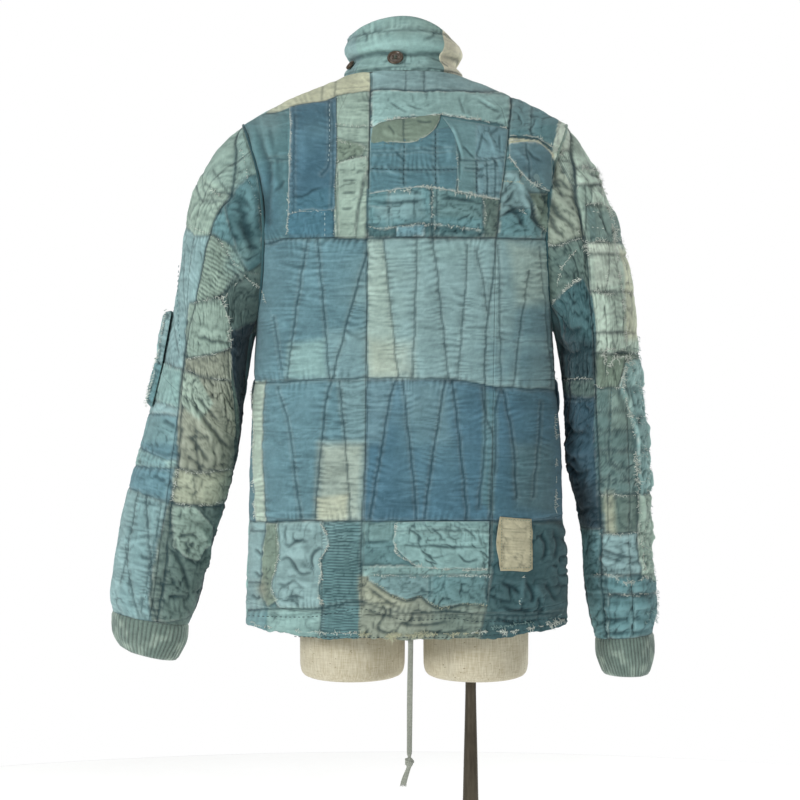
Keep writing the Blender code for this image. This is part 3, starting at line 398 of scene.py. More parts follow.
def sleeve_point(angle, step, side):
    """Points on a sleeve's outer face. Near the armhole the ring bends onto the torso's edge."""
    row = ring_row(SLEEVES[side], step)
    first = ring_row(SLEEVES[side], 0.0)
    ring = ring_point(sleeve_angle(angle, row["seam"]), row)
    start = ring_point(sleeve_angle(angle, first["seam"]), first)
    armhole = mirrored(torso_point(*armhole_point(angle, side)), side)
    share = np.clip(1 - np.asarray(step) / ARMHOLE_BLEND, 0, 1)
    share = (share**2 * (3 - 2 * share))[..., None]
    return mirrored(ring + share * (armhole - start), side)


def collar_point(theta, step):
    """Points on the collar's outer face: the neck seam, raised and leant out or in."""
    row = ring_row(COLLAR, step)
    seam = torso_point(theta, np.full(np.shape(theta), NECK))
    sine, cosine = np.sin(theta), np.cos(theta)
    middle = np.where(sine >= 0, row["back_rise"], row["front_rise"])
    side = np.where(cosine >= 0, row["left_rise"], row["right_rise"])
    outward = np.stack([cosine, sine, np.zeros_like(sine)], axis=-1)
    rise = np.stack([0 * sine, 0 * sine, middle * sine**2 + side * cosine**2], axis=-1)
    return seam + rise + outward * row["lean"][..., None]


# ---------------------------------------------------------------------------------------------------
# Cloths and what is laid out with them

def tone(code):
    """A colour from its display code, as the straight-line light values that shaders take."""
    values = [int(code[k:k + 2], 16) / 255 for k in (0, 2, 4)]
    return tuple(v / 12.92 if v <= 0.04045 else ((v + 0.055) / 1.055) ** 2.4 for v in values)


CLOTHS = {
    "pale_blue": ("Pale blue cotton", "86a5a6"),
    "mid_blue": ("Mid blue cotton", "61868f"),
    "deep_blue": ("Deep blue cotton", "4a7182"),
    "bright_blue": ("Bright blue cotton", "477180"),
    "teal": ("Teal cotton", "5f868a"),
    "deep_teal": ("Deep teal cotton", "3f6266"),
    "pale_teal": ("Pale teal cotton", "8bada9"),
    "sage": ("Sage cotton", "96ada0"),
    "pale_sage": ("Pale sage cotton", "b2c6b7"),
    "olive": ("Olive cotton", "76897a"),
    "grey_green": ("Grey-green cotton", "60766f"),
    "cream": ("Cream cotton", "c6c9ac"),
    "beige": ("Beige cotton", "878f80"),
    # navy cotton, made darker than the cloth so that it also carries painted shade where it lies, mostly
    # between the sleeves and the body
    "navy": ("Navy cotton", "1a2e36"),
    "label": ("Label cotton", "bdb99c"),
    "rib": ("Rib knit", "6c8178"),
    "fray": ("Frayed threads", "dce4da"),
    "linen": ("Linen", "cbc4a9"),
    "tape": ("Grey tape", "a0a59a"),
    "stitch": ("Stitching", "a9c0c2"),
    # painted shade: mixed into seam grooves, fold lines, hollows of the relief, beside raised patch edges,
    # over shaded regions and into the armhole seams; also the colour of some dark running stitches
    "shadow": ("Dyed shadow in seams", "14323a"),
    "pale_cap": ("Sun-bleached cotton", "c9d8c8"),
    "collar_cream": ("Cream collar cotton", "e0dcc3"),
}

# lift, crinkle and pull are heights in millimetres, grain is a wrinkle's width, soft the edge's, and ribs
# a pair: the ribs' spacing and how far they fall across each millimetre
Patch = namedtuple("Patch", "outline cloth lift fray crinkle grain fade pull soft share ribs",
                   defaults=(0.0, 0.0, 0.0, 9.0, 0.3, 0.55, 0.7, 1.0, None))
Seam = namedtuple("Seam", "line depth pucker dark", defaults=(1.3, 0.45, 0.5))
Fold = namedtuple("Fold", "line height width dark", defaults=(1.5, 4.0, 0.0))
Cloud = namedtuple("Cloud", "across up size_across size_up cloth strength", defaults=(0.5,))
Zone = namedtuple("Zone", "base patches seams folds clouds billow seed")
# the foot of each row of a sleeve's outer column, at the column's outer edge and at its seam with the back
SleeveRow = namedtuple("SleeveRow", "outer inner cloth lift fray crinkle grain",
                       defaults=(0.0, 0.3, 0.5, 14.0))
# every is the spacing along the line in millimetres, side is 1 for threads that lie to the line's left, -1
# to its right and 0 both ways
Fringe = namedtuple("Fringe", "line every length side cloth droop", defaults=("fray", 0.4))
Running = namedtuple("Running", "line stitch gap cloth", defaults=(3.4, 2.6, "stitch"))


def box(left, right, low, high):
    return ((left, low), (right, low), (right, high), (left, high))


def vees(left, right, low, high, count, depth=1.3):
    """Quilting lines across a row that lean to and fro, so that each pair makes a V."""
    width = (right - left) / count
    lines = []
    for k in range(count):
        lean = 0.34 * width * (1 if k % 2 else -1)
        middle = left + (k + 0.5) * width
        bend = 0.06 * width * math.sin(2.3 * k + 1)
        line = ((middle - lean, low + 3), (middle + bend, (low + high) / 2), (middle + lean, high - 3))
        lines.append(Seam(line, depth, 0.55, 0.42))
    return tuple(lines)


def patched(points, *values, **named):
    """A patch inside its points, or in the box between them where they are two opposite corners."""
    if len(points) == 2:
        (left, low), (right, high) = points
        points = box(left, right, low, high)
    return Patch(points, *values, **named)


HEADINGS = {
    "patches": patched, "outer patches": patched, "seams": Seam, "outer seams": Seam, "folds": Fold,
    "outer folds": Fold, "fringes": Fringe, "runnings": Running,
    "clouds": lambda points, *values: Cloud(*points[0], *points[1], *values),
    "rows": lambda points, *values: SleeveRow(*points[0], *values),
    "edges": lambda points: points,
}


def value_of(word):
    """A cloth's name, or a number, or a pair of numbers with a comma between them."""
    if word[0].isalpha():
        return word
    numbers = tuple(float(number) for number in word.split(","))
    return numbers if len(numbers) > 1 else numbers[0]


def written(text):
    """What a written table lays out, as a list under each of its headings. A row has its values in their
    named tuple's order, then a bar and its points, across,up in millimetres. A row without a bar has the
    points of the row above, an indented line carries on the row above, and vees stands for a set of them."""
    table, points = {}, ()
    for row in text.replace("\n  ", " ").splitlines():
        if row in HEADINGS:
            heading = row
            table[heading] = []
        elif row.startswith("vees"):
            *place, count = row.split()[1:]
            table[heading] += vees(*map(float, place), int(count))
        elif row and row[0] != "#":
            words, bar, line = row.partition("|")
            words = words.split()
            points = tuple(value_of(point) for point in line.split()) if bar else points
            values = [value_of(word) for word in words if "=" not in word]
            named = {word.split("=")[0]: value_of(word.split("=")[1]) for word in words if "=" in word}
            table[heading].append(HEADINGS[heading](points, *values, **named))
    return table


def zone_of(base, billow, seed, table):
    """A zone of one base cloth with a written table's patches, seams, folds and clouds."""
    parts = [tuple(table.get(heading, ())) for heading in ("patches", "seams", "folds", "clouds")]
    return Zone(base, *parts, billow, seed)


def measured(line, across, up, reach):
    """For the places near a broken line: which they are, how far off it, how far along it, and which side
    of it they lie on, from the nearest point of its nearest piece."""
    line = np.array(line, float)
    low, high = line.min(axis=0) - reach, line.max(axis=0) + reach
    near = np.flatnonzero((across > low[0]) & (across < high[0]) & (up > low[1]) & (up < high[1]))
    x, y = across[near], up[near]
    off, along, side = np.full(len(near), np.inf), np.zeros(len(near)), np.zeros(len(near))
    start = 0.0
    for (x0, y0), (x1, y1) in zip(line[:-1], line[1:]):
        dx, dy = x1 - x0, y1 - y0
        length = math.hypot(dx, dy)
        if length == 0:
            continue
        t = np.clip(((x - x0) * dx + (y - y0) * dy) / length**2, 0, 1)
        ex, ey = x - x0 - t * dx, y - y0 - t * dy
        away = np.hypot(ex, ey)
        closer = away < off
        off = np.where(closer, away, off)
        along = np.where(closer, start + t * length, along)
        side = np.where(closer, np.sign(dx * ey - dy * ex), side)
        start += length
    return near, off, along, side


def inside_of(outline, across, up):
    """Which places lie inside a closed outline: those with an odd count of its edges to their right."""
    odd = np.zeros(across.shape, bool)
    ends = list(outline)
    for (x0, y0), (x1, y1) in zip(ends, ends[1:] + ends[:1]):
        if y0 == y1:
            continue
        crosses = (y0 > up) != (y1 > up)
        odd ^= crosses & (across < (x1 - x0) * (up - y0) / (y1 - y0) + x0)
    return odd


def blurred(grid, reach):
    """A grid's mean over squares 2 reach + 1 places wide, by differences of running sums."""
    for axis in (0, 1):
        grid = np.pad(grid, [(reach + 1, reach) if k == axis else (0, 0) for k in (0, 1)], mode="edge")
        sums = np.cumsum(grid, axis=axis)
        width = 2 * reach + 1
        count = sums.shape[axis]
        grid = (np.take(sums, range(width, count), axis) - np.take(sums, range(count - width), axis)) / width
    return grid


def laid_out(zone, across, up):
    """The relief in metres and the colour of every place on a zone: the base cloth's soft billows, then each
    patch with its raised, wrinkled and frayed outline, clouds of fading, grooves, folds, and the level
    wrinkles that the quilting lines pull between them. The colour also carries painted shadow beside raised
    patch edges, painted shade in seams, fold lines, valleys and hollows, and painted light on raised places."""
    shape = across.shape
    across, up = across.ravel().astype(float), up.ravel().astype(float)
    cloths = cloth_colours()
    fray, shadow_colour = cloths["fray"], cloths["shadow"]
    seed = zone.seed
    relief = cloudy(across / 62, up / 74, seed, 2) + 0.45 * cloudy(across / 21, up / 24, seed + 3, 3)
    relief = zone.billow * relief
    shade_and_wear = 0.5 * cloudy(across / 11, up / 9, seed + 4, 3) + 0.4 * noise(across / 30, up / 22, seed + 8)
    pull, pinch = np.full(len(across), 0.5), np.zeros(len(across))
    colour = np.tile(cloths[zone.base], (len(across), 1))
    # every line is drawn by hand, so the places wander by a millimetre or so before they are measured
    wander_across = across + 1.0 * noise(up / 17, across / 41, seed + 1)
    wander_across = wander_across + 0.4 * noise(up / 5, across / 11, seed + 6)
    wander_up = up + 1.0 * noise(across / 17, up / 41, seed + 2) + 0.4 * noise(across / 5, up / 11, seed + 7)
    for number, patch in enumerate(zone.patches):
        outline = [tuple(point) for point in patch.outline]
        near, off, _, _ = measured(outline + outline[:1], wander_across, wander_up, 8.0 + patch.soft)
        if not len(near):
            continue
        a, b = wander_across[near], wander_up[near]
        within = inside_of(outline, a, b)
        depth = np.where(within, off, -off)
        ragged = patch.fray * 0.8 * noise(a / 2.2, b / 2.2, seed + 40 + number)
        cover = patch.share * ramp(depth + ragged, -patch.soft, patch.soft)[:, None]
        drift = cloudy(a / 38, b / 30, seed + 60 + number, 3)
        cloth = cloths[patch.cloth]
        shade = cloth * (1 + 0.16 * drift[:, None])
        pale = cloth * 1.4 + 0.03
        faded = ramp(cloudy(a / 24, b / 33, seed + 80 + number, 3), 0.05, 1.0)[:, None] * patch.fade
        shade = shade + (pale - shade) * faded
        colour[near] += (shade - colour[near]) * cover
        pull[near] += (patch.pull - pull[near]) * cover[:, 0]
        if patch.lift:
            relief[near] += patch.lift * ramp(depth + ragged, -0.5, 1.2)
            shadow = np.exp(-((depth + 1.2 + ragged) / 1.5) ** 2)[:, None]
            colour[near] += (shadow_colour - colour[near]) * 0.5 * shadow * (depth < 0)[:, None]
        if patch.fray:
            tuft = np.exp(-((depth + ragged - 0.6) / 1.1) ** 2)
            tuft = tuft * (0.6 + 0.4 * noise(a / 1.5, b / 1.5, seed + 90))
            gaps = ramp(noise(a / 7.0, b / 7.0, seed + 95), -0.55, 0.5)
            strength = np.clip(0.8 * patch.fray * tuft * gaps, 0, 0.8)[:, None]
            colour[near] += (fray - colour[near]) * strength
        if patch.crinkle:
            # rounded puffs between thin valleys, which fade in and out along their way
            wrinkle = creased(a / patch.grain, b / patch.grain, seed + 100 + number, 2)
            here = ramp(noise(a / 23, b / 19, seed + 120 + number), -0.7, 0.5)
            share = ramp(depth, 0, 5) * (0.35 + 0.65 * here)
            valley = ramp(wrinkle, 0.60, 0.97)
            relief[near] += patch.crinkle * (0.75 - 1.0 * wrinkle - 1.0 * valley) * share
            # painted shade in the valleys and painted light on the puffs
            shade_and_wear[near] += (0.7 - wrinkle - 1.3 * valley) * share * min(1.0, 0.35 + 0.6 * patch.crinkle)
        if patch.ribs:
            pitch, fall = patch.ribs
            phase = (b + fall * a + 1.6 * noise(a / 19, b / 12, seed + 150)) / pitch
            rib = 0.5 - 0.5 * np.cos(2 * np.pi * phase)
            share = ramp(depth, 0, 2) * (0.75 + 0.25 * noise(a / 14, b / 5, seed + 151))
            relief[near] += 0.24 * pitch * (rib - 0.6) * share
            # painted shade in the grooves between the cords, and painted light with wear on their tops
            shade_and_wear[near] += (4.6 * rib - 2.8) * share
    for cloud in zone.clouds:
        a = (across - cloud.across) / cloud.size_across
        b = (up - cloud.up) / cloud.size_up
        share = np.exp(-(a * a + b * b)) * cloud.strength * (1 + 0.5 * noise(across / 15, up / 15, seed + 20))
        colour += (cloths[cloud.cloth] - colour) * np.clip(share, 0, 1)[:, None]
    for number, seam in enumerate(zone.seams):
        line = rounded(seam.line)
        near, off, along, side = measured(line, wander_across, wander_up, 26.0)
        if not len(near):
            continue
        relief[near] -= seam.depth * (0.45 * np.exp(-(off / 1.4) ** 2) + 0.75 * np.exp(-(off / 6.5) ** 2))
        # painted shade along and beside the seam's groove; line_dark below paints a darker line of shade on
        # the seam itself
        shade_and_wear[near] -= 0.9 * seam.dark * np.exp(-(off / 3.6) ** 2)
        pinch[near] = np.maximum(pinch[near], np.exp(-off / 14) * seam.pucker * 2)
        count = seed + 130 + number
        phase = along / 8.6 + 1.3 * noise(along / 21, side * 3, count)
        phase = phase + 0.05 * off * noise(along / 40, side, count + 3)
        strength = np.exp(-off / 9) * (1 - np.exp(-(off / 1.3) ** 2))
        strength = strength * ramp(noise(along / 26, side * 5, count + 1), -0.6, 0.6)
        tuck = np.sin(2 * np.pi * phase) * strength * seam.pucker
        relief[near] += 1.1 * tuck
        # painted light on each tuck's rise and painted shade in its dip
        shade_and_wear[near] += 0.9 * tuck
        line_dark = np.exp(-(off / 1.15) ** 2) * (0.8 + 0.2 * noise(along / 2.2, side, count + 2))
        colour[near] += (shadow_colour - colour[near]) * (seam.dark * line_dark)[:, None]
        flank = np.exp(-((off - 2.7) / 1.4) ** 2)[:, None] * 0.05
        colour[near] += (fray - colour[near]) * flank
    level_wrinkle = 2 * creased(across / 34, up / 9.5, seed + 21, 2) - 1.1
    level_wrinkle = level_wrinkle * pull * (0.25 + np.minimum(pinch, 1.0))
    level_wrinkle = level_wrinkle * (1 + 0.6 * noise(across / 45, up / 40, seed + 22))
    relief += 1.1 * level_wrinkle
    # painted light on the level wrinkles' rises and painted shade in their dips
    shade_and_wear += 0.6 * level_wrinkle
    for number, fold in enumerate(zone.folds):
        line = rounded(fold.line)
        near, off, along, side = measured(line, wander_across, wander_up, fold.width * 3)
        if not len(near):
            continue
        taper = max(5.0, 0.3 * along.max())
        ends = ramp(along, 0, taper) * ramp(along.max() - along, 0, taper)
        hump = np.exp(-(off / fold.width) ** 2) * ends
        relief[near] += fold.height * hump
        # painted light along a ridge and painted shade along a trough
        shade_and_wear[near] += np.sign(fold.height) * hump * 0.9
        if fold.dark:
            # the shadow lies on the fold's own line for a trough, and along its right-hand foot for a ridge
            at = off if fold.height < 0 else np.abs(off - fold.width) + 5 * (side > 0)
            dark = 0.32 * np.exp(-(at / 1.1) ** 2) + 0.5 * np.exp(-(at / (0.85 * fold.width)) ** 2)
            dark *= 0.85 * fold.dark * ends * (0.75 + 0.4 * noise(along / 4.5, side, seed + 180 + number))
            colour[near] += (shadow_colour - colour[near]) * dark[:, None]
    # washed cotton's own fine puckers; then painted shade in the hollows of the whole relief and painted
    # light on its tops, with a little random mottle
    pucker = creased(across / 8.5, up / 7.0, seed + 23, 2)
    relief += 0.16 * (0.8 - 1.6 * pucker) * (0.6 + 0.5 * noise(across / 37, up / 31, seed + 24))
    if len(shape) == 2:
        grid = relief.reshape(shape)
        near_mean = blurred(grid, 1)
        wide_mean = blurred(near_mean, 4)
        shade_and_wear += np.clip(((grid - near_mean) / 0.10).ravel(), -1.6, 1.2) * 0.5
        shade_and_wear += np.clip(((near_mean - wide_mean) / 0.5).ravel(), -1.4, 1.3) * 0.42
    shade_and_wear += 0.35 * noise(across / 2.3, up / 2.3, seed + 25) + 0.2 * noise(across / 9, up / 1.9, seed + 26)
    # the painted light and shade gathered above, with the random mottle, lighten the colour or darken it
    # towards the shade colour
    lighter = np.clip(shade_and_wear, 0, 2.4)[:, None] * 0.26
    darker = np.clip(-shade_and_wear, 0, 3.0)[:, None] * 0.23
    colour = colour * (1 + 0.75 * lighter) + 0.03 * lighter
    colour = colour + (shadow_colour - colour) * darker
    return (relief * MM).reshape(shape), np.clip(colour, 0, 1).reshape(*shape, 3)


